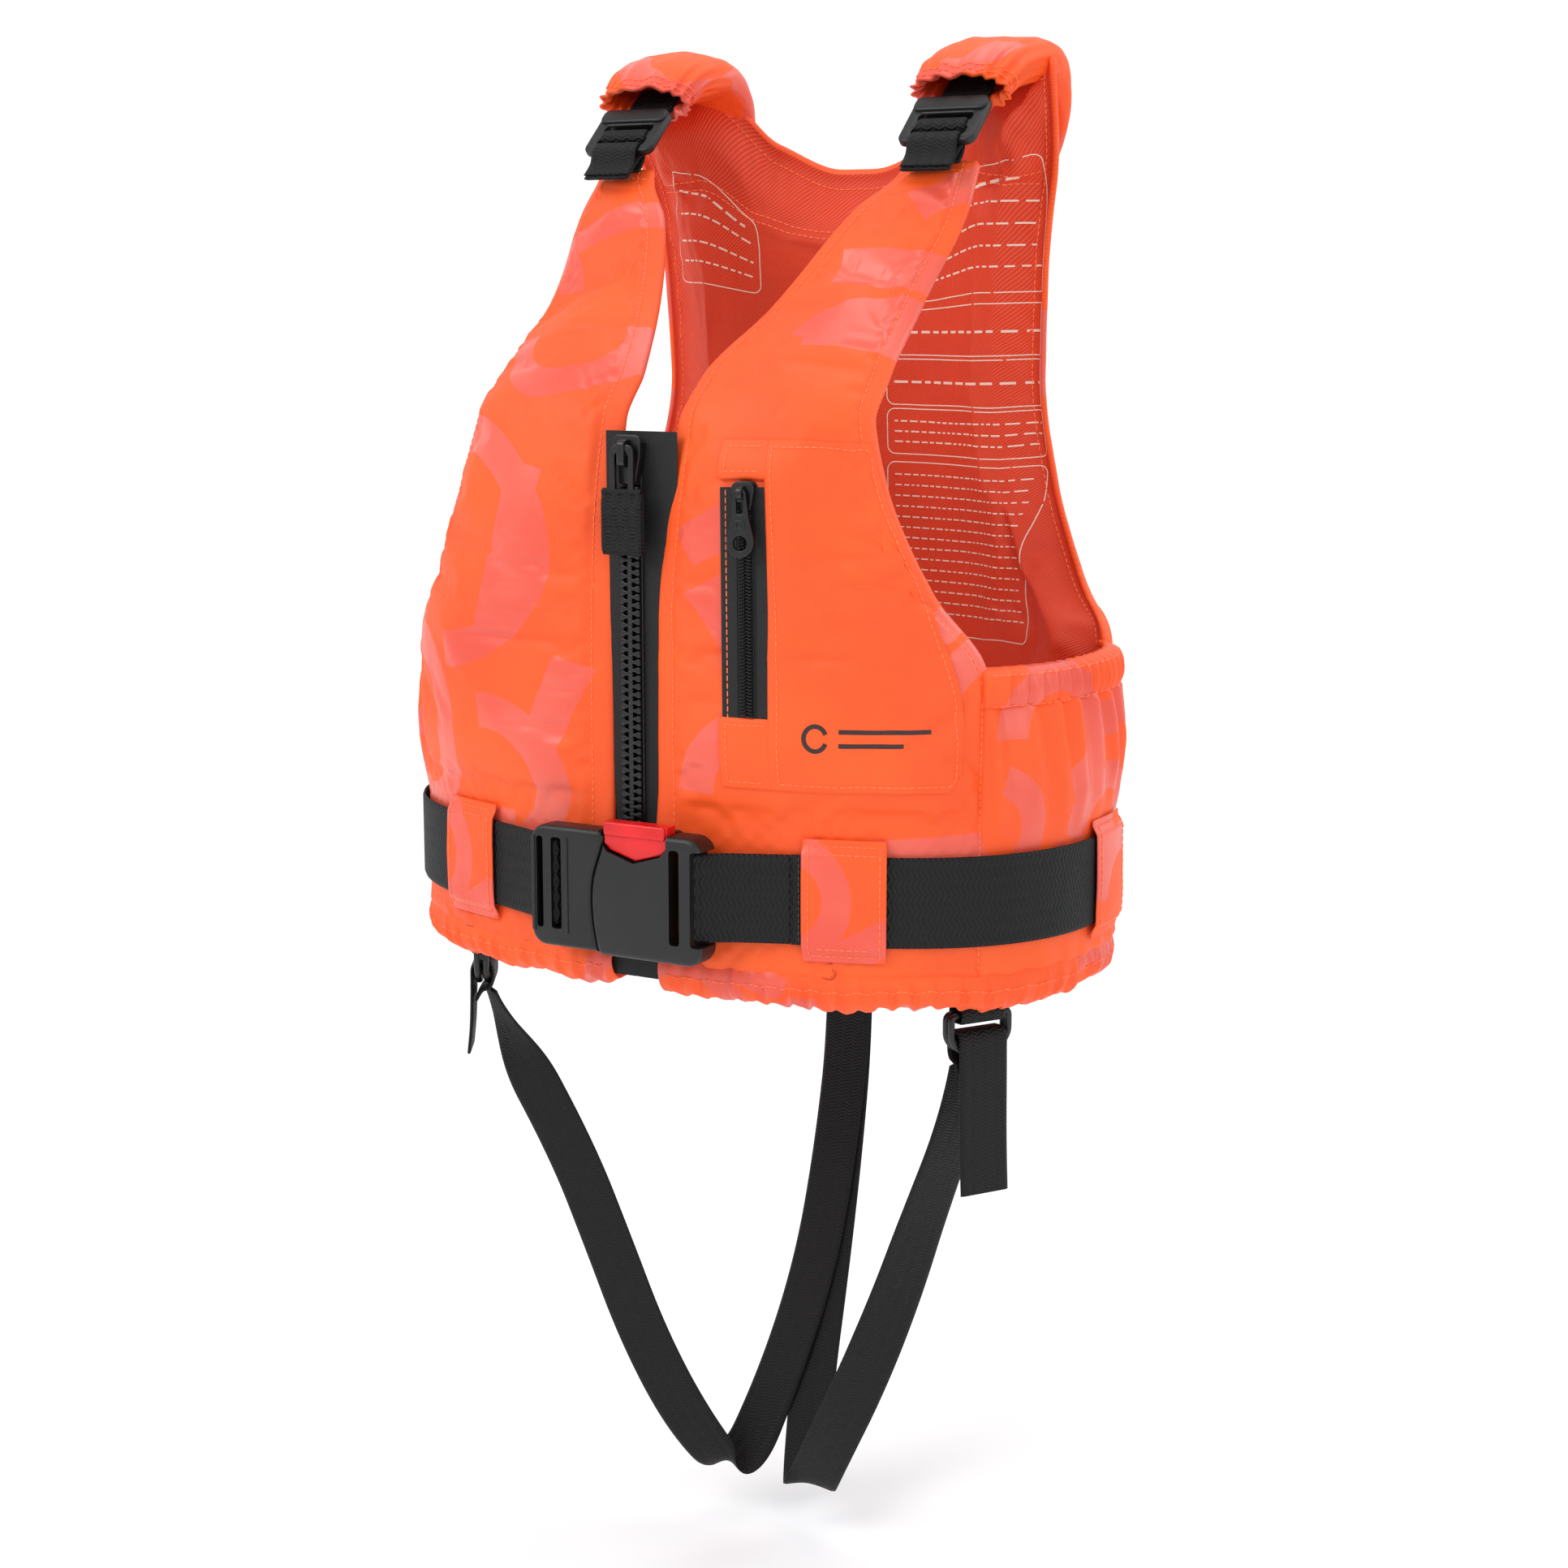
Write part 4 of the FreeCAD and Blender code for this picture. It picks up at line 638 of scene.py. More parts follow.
def tape_material():
    """Black zip tape, a fine flat weave."""
    material, n, shader = blank("zip_tape")
    place = n.add("ShaderNodeTexCoord").outputs["Object"]
    part = n.add("ShaderNodeSeparateXYZ", {0: place})
    up = n.math("SINE", n.math("MULTIPLY", part.outputs[2], 2 * pi / 0.0011))
    side = n.math("SINE", n.math("MULTIPLY", part.outputs[0], 2 * pi / 0.0011))
    height = n.math("MULTIPLY_ADD", n.math("MULTIPLY", up, side), 0.5, 0.5)
    fuzz = n.noise(place, 1500.0, 3.0, 0.7)
    n.put(n.mix(n.math("MULTIPLY", height, fuzz), linear(3, 3, 4), linear(20, 20, 23)),
          shader.inputs["Base Color"])
    shader.inputs["Roughness"].default_value = 0.7
    n.put(bump(n, height, 0.5, 0.0003), shader.inputs["Normal"])
    return material


def plastic_material(name, dark, light, rough, grain=0.35):
    """Moulded plastic with a fine spark-eroded grain."""
    material, n, shader = blank(name)
    place = n.add("ShaderNodeTexCoord").outputs["Object"]
    fine = n.noise(place, 2200.0, 3.0, 0.6)
    broad = n.noise(place, 45.0, 2.0)
    n.put(n.mix(n.ramp(broad, 0.3, 0.7), dark, light), shader.inputs["Base Color"])
    n.put(n.ramp(fine, 0.3, 0.7, rough - 0.06, rough + 0.08), shader.inputs["Roughness"])
    n.put(bump(n, fine, grain, 0.0002), shader.inputs["Normal"])
    return material


def thread_material(name, colour, light):
    """Twisted sewing thread."""
    material, n, shader = blank(name)
    place = n.add("ShaderNodeTexCoord").outputs["Object"]
    n.put(n.mix(n.noise(place, 700.0, 2.0), colour, light), shader.inputs["Base Color"])
    shader.inputs["Roughness"].default_value = 0.55
    n.put(bump(n, n.noise(place, 2500.0, 2.0), 0.4, 0.0002), shader.inputs["Normal"])
    return material


MATERIALS = {}


def make_materials():
    jacket = bpy.context.scene.life_jacket
    GROUPS.update({"Ring band": ring_band_group(), "Bar band": bar_band_group(),
                   "Weave": weave_group(), "Webbing": webbing_group()})
    MATERIALS.update({
        "shell_left": shell_material("shell_left", "left"),
        "shell_right": shell_material("shell_right", "right"),
        "shell_back": shell_material("shell_back", "back"),
        "shell_small": shell_material("shell_small", "small"),
        "lining": lining_material(),
        "belt": webbing_material("belt_webbing", 0.0024, 0.0036, 0.55),
        "strap": webbing_material("strap_webbing", 0.0017, 0.0031, 0.5),
        "tape": tape_material(),
        "black": plastic_material("black_plastic", linear(7, 7, 8), linear(12, 12, 13), 0.42),
        "teeth": plastic_material("zip_teeth", linear(6, 6, 7), linear(14, 14, 15), 0.32, 0.15),
        "metal": plastic_material("black_enamel", linear(8, 8, 9), linear(18, 18, 20), 0.3, 0.1),
        "red": plastic_material("red_plastic", (*jacket.button_dark, 1), (*jacket.button_light, 1),
                                0.3, 0.08),
        "orange_thread": thread_material("orange_thread", linear(255, 96, 40),
                                         linear(255, 140, 90)),
        "black_thread": thread_material("black_thread", linear(26, 26, 28), linear(70, 70, 76)),
        "plain": shell_material("shell_plain", "plain"),
        "dark_print": thread_material("dark_print", linear(40, 22, 18), linear(52, 30, 24)),
        "white_print": thread_material("white_print", linear(226, 196, 176),
                                       linear(240, 214, 198)),
    })


# ------------------------------------------------------------------ cloth patches
def between(array, i, j):
    """Values of a grid at places between its rows and columns."""
    i = np.clip(np.asarray(i, float), 0, array.shape[0] - 1.001)
    j = np.clip(np.asarray(j, float), 0, array.shape[1] - 1.001)
    i0, j0 = np.floor(i).astype(int), np.floor(j).astype(int)
    fi, fj = (i - i0)[..., None], (j - j0)[..., None]
    return ((array[i0, j0] * (1 - fj) + array[i0, j0 + 1] * fj) * (1 - fi)
            + (array[i0 + 1, j0] * (1 - fj) + array[i0 + 1, j0 + 1] * fj) * fi)


class Patch:
    """A grid of points on cloth that can be read between its points."""

    def __init__(self, outer, inner=None):
        self.grid = outer
        di, dj = np.gradient(outer, axis=0), np.gradient(outer, axis=1)
        n = np.cross(di, dj)
        n /= np.maximum(1e-12, np.linalg.norm(n, axis=-1, keepdims=True))
        if inner is not None and np.sum(n * (outer - inner)) < 0:
            n = -n
        self.normals = n

    def at(self, i, j, off):
        """Points off the cloth at rows and columns, and the normals there."""
        n = between(self.normals, i, j)
        n = n / np.linalg.norm(n, axis=-1, keepdims=True)
        return between(self.grid, i, j) + n * np.asarray(off)[..., None], n


def smooth(value, low, high):
    t = np.clip((value - low) / (high - low), 0, 1)
    return t * t * (3 - 2 * t)


def settle(obj, pins):
    """Let the filled cloth swell and pucker inside its pinned seams."""
    grow, frames, cap = 0.018, 14, 0.005        # shrink share, steps, farthest move in metres
    before = np.array([v.co for v in obj.data.vertices])
    held = obj.vertex_groups.new(name="pins")
    for index, weight in enumerate(pins):
        if weight > 0.01:
            held.add([index], float(weight), "REPLACE")
    cloth = obj.modifiers.new("swell", "CLOTH")
    s = cloth.settings
    s.quality = 6
    s.mass = 0.15
    s.tension_stiffness = s.compression_stiffness = 12
    s.shear_stiffness = 4
    s.bending_stiffness = 0.4
    s.use_pressure = True
    s.uniform_pressure_force = bpy.context.scene.life_jacket.pressure
    s.shrink_min = -grow
    s.vertex_group_mass = "pins"
    s.effector_weights.gravity = 0
    cloth.collision_settings.use_collision = False
    cloth.point_cache.frame_start, cloth.point_cache.frame_end = 1, frames
    scene = bpy.context.scene
    for f in range(1, frames + 1):
        scene.frame_set(f)
    shape = obj.evaluated_get(bpy.context.evaluated_depsgraph_get())
    after = np.array([v.co for v in shape.data.vertices])
    obj.modifiers.remove(cloth)
    scene.frame_set(1)
    move = after - before
    size = np.linalg.norm(move, axis=1, keepdims=True)
    move *= np.minimum(1, cap / np.maximum(1e-9, size))
    obj.data.vertices.foreach_set("co", (before + move).ravel())
    obj.data.update()


def refine(grid, factor):
    """Grid with its cells divided, through smooth curves along both ways."""
    for axis in (0, 1):
        count = grid.shape[axis]
        t = np.linspace(0, count - 1, (count - 1) * factor + 1)
        i = np.clip(np.floor(t).astype(int), 0, count - 2)
        f = t - i
        g = np.moveaxis(grid, axis, 0)
        p0, p1 = g[np.maximum(i - 1, 0)], g[i]
        p2, p3 = g[i + 1], g[np.minimum(i + 2, count - 1)]
        f = f.reshape((-1,) + (1,) * (g.ndim - 1))
        g = 0.5 * (2 * p1 + (p2 - p0) * f + (2 * p0 - 5 * p1 + 4 * p2 - p3) * f ** 2
                   + (3 * p1 - p0 - 3 * p2 + p3) * f ** 3)
        grid = np.moveaxis(g, 0, axis)
    return grid


CLOTH = {}


def by_zip(points, wide, wide_end, tall, tall_end):
    """How near points are to the pocket zip, from 0 to 1, and how far in front of it."""
    rel = points / MM - P_MIDDLE
    across, along, out = (rel @ d for d in (P_RIGHT, P_UP, P_OUT))
    near = (1 - smooth(np.abs(across), wide, wide_end)) * (1 - smooth(np.abs(along), tall, tall_end))
    return near, out


def pressed(points):
    """Cloth pushed back behind the flat pocket zip."""
    near, out = by_zip(points, 12.5, 27.0, 54.0, 72.0)
    return points - (np.maximum(0.0, out + 1.7) * near)[..., None] * P_OUT * MM


def scooped(points):
    """The back's top edge dips at the neck and rises into the shoulders."""
    x, z = np.abs(points[..., 0]) / MM, points[..., 2] / MM
    corner = smooth(x, 44.0, 80.0)
    rise = 29.0 * corner - 17.0 * (1 - smooth(x, 8.0, 60.0))
    moved = points.copy()
    moved[..., 2] += rise * smooth(z, 235.0, 334.0) * MM
    moved[..., 1] -= 9.0 * corner * smooth(z, 290.0, 334.0) * MM
    return moved


def padded_panel(name, edges, low, high, shell, seed, nodes, angle_from=0.0, shaped=None):
    """One foam-filled panel: swollen middle, thin stitched margins, puckered seams."""
    coarse, factor = 4.2 if angle_from == 0 else 5.2, 3
    angle, z, across, up, u, v, width, height = panel_grid(*edges, low, high, coarse, angle_from)
    side = np.minimum(across, 1 - across) * width[:, None]
    edge = np.minimum(np.minimum(side, 99.0), (1 - up) * height)
    full = smooth(edge, 3.0, 20.0)
    belt = 1 - smooth(np.abs(z), 19.0, 44.0)
    over = chest_puff(z) * swelling(across, up) - 2.4 * (1 - smooth(edge, 1.0, 9.0)) * (1 - belt)
    over = over - 0.7 * belt
    n = normal(angle, z)
    base = outline(angle, z)
    outer = (base + n * over[..., None]) * MM
    depth = 5.0 + (PANEL_THICK - 5.0) * full
    inner = (base - n * (depth - over * 0.4)[..., None]) * MM
    if shaped is not None and angle_from:
        outer, inner = shaped(outer), shaped(inner)
    points, faces, ring = slab(outer, inner)
    work = new_object(name + "_work", points, faces)
    pin = np.maximum(1 - smooth(edge, 5.0, 9.0), belt * 0.97)
    settle(work, slab_values(pin, ring))
    points = np.array([p.co for p in work.data.vertices])
    mesh = work.data
    bpy.data.objects.remove(work)
    bpy.data.meshes.remove(mesh)
    count = outer.shape[0] * outer.shape[1]
    outer = refine(points[:count].reshape(outer.shape), factor)
    inner = refine(points[count:2 * count].reshape(inner.shape), factor)
    u, v, edge, belt, side = (refine(a[..., None], factor)[..., 0] for a in (u, v, edge, belt, side))
    # puckers along the stitching and soft creases, on top of the settled shape
    free = 1 - belt * 0.85
    along = np.where(side <= edge + 0.01, v, u)
    pucker = rolling(along / 11.0, edge / 16.0, seed) * np.exp(-np.abs(edge - 5.5) / 8.0) * 0.3
    stitch_line = -0.55 * np.exp(-((edge - 5.5) / 1.6) ** 2)
    fold = (creases(u / 75.0, v / 46.0, seed + 3) * 0.8
            + rolling(u / 45.0, v / 60.0, seed + 5) * bpy.context.scene.life_jacket.ripple)
    lift = (pucker + stitch_line + fold * smooth(edge, 6.0, 26.0)) * free
    patch = Patch(outer, inner)
    outer = outer + patch.normals * (lift * MM)[..., None]
    if shaped is not None and not angle_from:
        outer = shaped(outer)
    # gentler waves on the lining side
    under = rolling(u / 30.0, v / 42.0, seed + 11) * 1.2 * smooth(edge, 4.0, 20.0)
    inner = inner - patch.normals * ((under + stitch_line * -0.6) * MM)[..., None]
    points, faces, ring = slab(outer, inner, 0.0004)
    cloth = np.stack([u, v], -1) * MM
    rows, columns = outer.shape[:2]
    obj = new_object(name, points, faces, slab_values(cloth, ring))
    two_sided(obj, (rows - 1) * (columns - 1), shell)
    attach(obj, "jacket")
    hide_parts(*nodes)
    CLOTH[name] = (Patch(outer, inner), Patch(inner, outer), u, width, height)


def panel_seams(name, lines, face=0):
    """Topstitching on a panel: each line gives arrays of rows and columns to follow."""
    patch = CLOTH[name][face]
    rows = [seam(*patch.at(i, j, np.full(np.shape(i), HOVER))) for i, j in lines]
    obj = capsules(name + ("_stitches" if face == 0 else "_lining_stitches"), rows,
                   bpy.context.scene.life_jacket.stitch_width)
    finish_piece(obj, "jacket", "orange_thread")


def edge_lines(name, inset):
    """Lines a set distance in from a panel's sides and top, as rows and columns of its grid."""
    patch = CLOTH[name][0]
    rows, columns = patch.grid.shape[:2]
    i = np.linspace(0, 1, 300) * (rows - 1)
    widths = np.linalg.norm(np.diff(patch.grid, axis=1), axis=-1).sum(1)
    w = np.interp(i, np.arange(rows), widths)
    total = np.linalg.norm(np.diff(patch.grid[:, columns // 2], axis=0), axis=-1).sum()
    j = np.linspace(0.02, 0.98, 120) * (columns - 1)
    return [(i, inset / w * (columns - 1)), (i, (1 - inset / w) * (columns - 1)),
            (np.full(120, (1 - inset / total) * (rows - 1)), j)]


def front_edges(sign):
    """Angles of a front panel's neck and armhole edges at a height."""
    return (lambda z: sign * angle_at_x(neck_edge(z, sign), z),
            lambda z: sign * angle_at_x(arm_edge(z), z))


def build_fronts():
    for side, sign in SIDES:
        name = "front_" + side
        padded_panel(name, front_edges(sign), FOOT_Z - 1, STRAP_TOP_Z, "shell_" + side,
                     11 if sign > 0 else 23, ["cover_front_" + side, "foam_front_" + side],
                     shaped=pressed if sign > 0 else None)
        panel_seams(name, edge_lines(name, 0.0055))
        panel_seams(name, edge_lines(name, 0.0055), face=1)


def build_back():
    edges = (lambda z: 180 - back_edge(z), lambda z: 180 + back_edge(z))
    padded_panel("back", edges, FOOT_Z - 1, BACK_TOP_Z, "shell_back", 41,
                 ["cover_back", "foam_back"], angle_from=180, shaped=scooped)
    lines = edge_lines("back", 0.006)
    panel_seams("back", lines)
    # inside: the arched yoke seam and its second row
    patch = CLOTH["back"][0]
    rows, columns = patch.grid.shape[:2]
    t = np.linspace(0.03, 0.97, 200)
    arch = 1 - 0.105 + 0.045 * np.sin(pi * t) ** 1.5
    for gap in (0.0, 0.012):
        lines.append(((arch - gap) * (rows - 1), t * (columns - 1)))
    panel_seams("back", lines, face=1)


def fold_sheet(name, angle, z, lift, thick, u, v):
    """Thin gathered cloth over the body's outline; lift is in mm per grid point."""
    n = normal(angle, z)
    base = outline(angle, z)
    outer = (base + n * lift[..., None]) * MM
    back = (base + n * (lift - thick)[..., None]) * MM
    points, faces, ring = slab(outer, back, 0.0002)
    obj = new_object(name + "_cloth", points, faces, slab_values(np.stack([u, v], -1) * MM, ring))
    two_sided(obj, (angle.shape[0] - 1) * (angle.shape[1] - 1), "shell_small")
    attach(obj, "jacket")
    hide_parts(name)
    CLOTH[name] = (Patch(outer, back),)


def gathers(u, seed, pitch):
    """Uneven rounded folds across u, from -1 to 1."""
    phase = u / pitch + rolling(u / (pitch * 3.1), 0.3, seed, 2) * 0.8
    return np.sin(2 * pi * phase) * (0.65 + 0.35 * noise2(u / pitch * 0.7, 0.7, seed + 2))


def build_sides():
    for side, sign in SIDES:
        start = float(angle_at_x(SIDE_SEAM_X, 0.0)) - 1.2
        share = np.linspace(0, 1, 150)
        angles = sign * (start + share * (BACK_SEAM_ANGLE + 1.2 - start))
        arc = arc_lengths(outline(angles, np.zeros(150))[None], 1)[0]
        for part, low, high, rows in (("panel", FOOT_Z - 1, 83.0, 90), ("band", 83.2, 99.0, 26)):
            z = np.linspace(low, high, rows)[:, None]
            angle = np.broadcast_to(angles[None], (rows, 150))
            zz = np.broadcast_to(z, angle.shape)
            u = np.broadcast_to(arc[None], angle.shape) + 12.0 * sign
            seed = 61 if sign > 0 else 67
            belt = 1 - smooth(np.abs(zz), 18.0, 40.0)
            near = smooth(np.minimum(u - u.min(), u.max() - u), 0.0, 8.0)
            if part == "panel":
                top = smooth(zz, 30.0, 80.0)
                fold = gathers(u + 0.12 * zz, seed, 17.0) * (1.0 + 1.6 * top)
                lift = (fold + rolling(u / 24.0, zz / 30.0, seed) * 1.6) * (1 - belt * 0.9) * near
                lift = lift + 3.0 * np.sin(pi * np.clip((zz - 20) / 64.0, 0, 1)) * near - 0.8 * belt
            else:
                t = (zz - low) / (high - low)
                fold = gathers(u, seed + 4, 8.5) * 1.7 + gathers(u, seed + 9, 4.2) * 0.6
                lift = (fold * near * (0.5 + 0.5 * np.sin(pi * t))
                        + 2.6 * np.sin(pi * np.clip(t, 0, 1)) ** 0.5 - 1.0)
            fold_sheet("side_%s_%s" % (part, side), angle, zz, lift, 6.0, u, zz)
        name = "side_band_" + side
        patch = CLOTH[name][0]
        rows, columns = patch.grid.shape[:2]
        j = np.linspace(0.02, 0.98, 200) * (columns - 1)
        panel_seams(name, [(np.full(200, 2.0), j), (np.full(200, rows - 3.0), j)])


def build_hems():
    spans = [("hem_front_left", 2.1, 86.5), ("hem_front_right", -3.2, -86.5),
             ("hem_back", 86.0, 274.0)]
    for k, (name, start, end) in enumerate(spans):
        columns = int(abs(end - start) * 3.2)
        angles = np.linspace(start, end, columns)
        arc = arc_lengths(outline(angles, np.full(columns, -34.0))[None], 1)[0]
        t = np.linspace(0, 1, 34)
        # down from the panels' foot, round the elastic and up inside
        lift_path = through([(0, -1.2), (0.25, 1.2), (0.5, -0.5), (0.7, -6), (0.85, -11),
                             (1, -13)], t)
        z_path = through([(0, -31.0), (0.25, -38.0), (0.5, -45.5), (0.7, -50.0), (0.85, -49.5),
                          (1, -44.0)], t)
        angle = np.broadcast_to(angles[None], (34, columns))
        u = np.broadcast_to(arc[None], angle.shape)
        seed = 71 + 5 * k
        ruffle = gathers(u, seed, 10.5) + 0.4 * gathers(u, seed + 3, 5.1)
        grow = smooth(t, 0.05, 0.6)[:, None] * (1 - 0.5 * smooth(t, 0.8, 1.0)[:, None])
        ends = smooth(np.minimum(u, u.max() - u), 0.0, 6.0)
        lift = lift_path[:, None] + ruffle * 2.9 * grow * ends
        z = z_path[:, None] + 1.6 * noise2(u / 22.0, 0.5, seed + 8) * grow + ruffle * 1.8 * grow
        n = normal(angle, np.clip(z, HEM_Z, None))
        n[..., 2] = 0
        n /= np.linalg.norm(n, axis=-1, keepdims=True)
        base = outline(angle, np.full(angle.shape, -33.0))
        base[..., 2] = z
        outer = (base + n * (lift - 1.0)[..., None]) * MM
        face = Patch(outer)
        inside = outer - face.normals * np.sign(np.sum(face.normals[3] * n[3])) * 0.0016
        run = t[:, None] * 42.0 + u * 0
        points, faces, ring = slab(outer, inside, 0.0002)
        obj = new_object(name + "_cloth", points, faces,
                         slab_values(np.stack([u * np.sign(end), run], -1) * MM, ring))
        finish_piece(obj, "jacket", "shell_small", [name])
        CLOTH[name] = (Patch(outer, inside),)
        j = np.linspace(0.01, 0.99, 500) * (columns - 1)
        panel_seams(name, [(np.full(500, 11.0), j)])


# ------------------------------------------------------------------ shoulders
# each station's z, y, width, thickness and x, from the back up and over to the mouth
TUNNEL = [(318.0, 93.0, 44.0, 8.0, 83.0), (336.0, 92.0, 54.0, 14.0, 84.5),
          (353.0, 85.0, 60.0, 19.0, 86.5), (364.5, 69.0, 63.0, 24.0, 88.0),
          (360.5, 49.0, 55.0, 21.5, 86.0), (349.0, 33.0, 47.0, 19.0, 85.0)]


def tunnel_grid(sign, less, rows, columns, seed):
    """Points of a shoulder tunnel's wall, less mm in from its outside."""
    t = np.linspace(0, 1.0, rows)
    knots = np.linspace(0, 1, len(TUNNEL))
    columns_of = list(zip(*TUNNEL))
    z, y, width, thick, x = (through(list(zip(knots, c)), t) for c in columns_of)
    # even out the pace along the path
    dy, dz = np.gradient(y), np.gradient(z)
    length = np.hypot(dy, dz)
    dy, dz = dy / length, dz / length
    angle = np.linspace(0, 2 * pi, columns, endpoint=False)
    c, s = np.cos(angle), np.sin(angle)
    mouth = smooth(t, 0.55, 0.97)[:, None]
    arc = angle[None] * 20.0
    ripple = (gathers(np.broadcast_to(arc, (rows, columns)), seed, 2 * pi * 20 / 15) * 1.7 * mouth
              + rolling(c[None] * 2.5 + 7, (t * 4)[:, None] + s[None], seed + 3) * 1.3)
    lip = 1.6 * np.exp(-((t - 0.985) / 0.02) ** 2) - 1.2 * np.exp(-((t - 0.93) / 0.025) ** 2)
    swell = ripple + lip[:, None] - less
    w = (width[:, None] / 2 + swell) * np.sign(c) * np.abs(c) ** 0.85
    h = (thick[:, None] / 2 + swell) * np.sign(s) * np.abs(s) ** 0.85
    px = sign * (x[:, None] + w)
    py = y[:, None] + h * dz[:, None]
    pz = z[:, None] - h * dy[:, None]
    run = np.concatenate([[0], np.cumsum(np.hypot(np.diff(y), np.diff(z)))])
    return np.stack([px, py, pz], -1) * MM, angle, run


def build_shoulders():
    for side, sign in SIDES:
        rows, columns = 90, 120
        seed = 83 if sign > 0 else 89
        outer, angle, run = tunnel_grid(sign, 0.0, rows, columns, seed)
        keep = int(rows * 0.62)                 # the wall is seen from inside past here
        inner = tunnel_grid(sign, 1.6, rows, columns, seed)[0][keep:]
        points = np.concatenate([outer.reshape(-1, 3), inner.reshape(-1, 3)])
        faces = grid_faces(rows, columns, wrap_columns=True)
        start = rows * columns
        faces += grid_faces(len(inner), columns, start, wrap_columns=True)
        last, other = (rows - 1) * columns, start + (len(inner) - 1) * columns
        for k in range(columns):
            faces.append((last + k, last + (k + 1) % columns, other + (k + 1) % columns, other + k))
        faces.append(tuple(range(columns)))
        faces.append(tuple(start + k for k in range(columns)))
        fold = np.minimum(angle, 2 * pi - angle) * 22.0
        uv_out = np.stack([np.broadcast_to(fold, (rows, columns)),
                           np.broadcast_to(run[:, None], (rows, columns))], -1).reshape(-1, 2)
        uv_in = uv_out.reshape(rows, columns, 2)[keep:].reshape(-1, 2)
        obj = new_object("shoulder_" + side, points, faces, np.concatenate([uv_out, uv_in]) * MM)
        finish_piece(obj, "jacket", "shell_small", ["shoulder_tunnel_" + side])
        patch = Patch(np.concatenate([outer, outer[:, :1]], 1))
        ring = np.linspace(0, columns, 400)
        lines = []
        for place in (0.925, 0.90):
            p, n = patch.at(np.full(400, place * (rows - 1)), ring, 0.0)
            centre = p.mean(0)
            n = n * np.sign(np.sum(n * (p - centre), -1, keepdims=True))
            lines.append(seam(p + n * 0.0002, n))
        stitches = capsules("shoulder_stitches_" + side, lines, 0.0006)
        finish_piece(stitches, "jacket", "orange_thread")


# ------------------------------------------------------------------ moulded and metal shapes
def curve_mesh(curve):
    """The mesh a curve gives, with the curve removed."""
    obj = bpy.data.objects.new(curve.name, curve)
    bpy.context.scene.collection.objects.link(obj)
    shape = obj.evaluated_get(bpy.context.evaluated_depsgraph_get())
    mesh = bpy.data.meshes.new_from_object(shape)
    bpy.data.objects.remove(obj)
    bpy.data.curves.remove(curve)
    return mesh


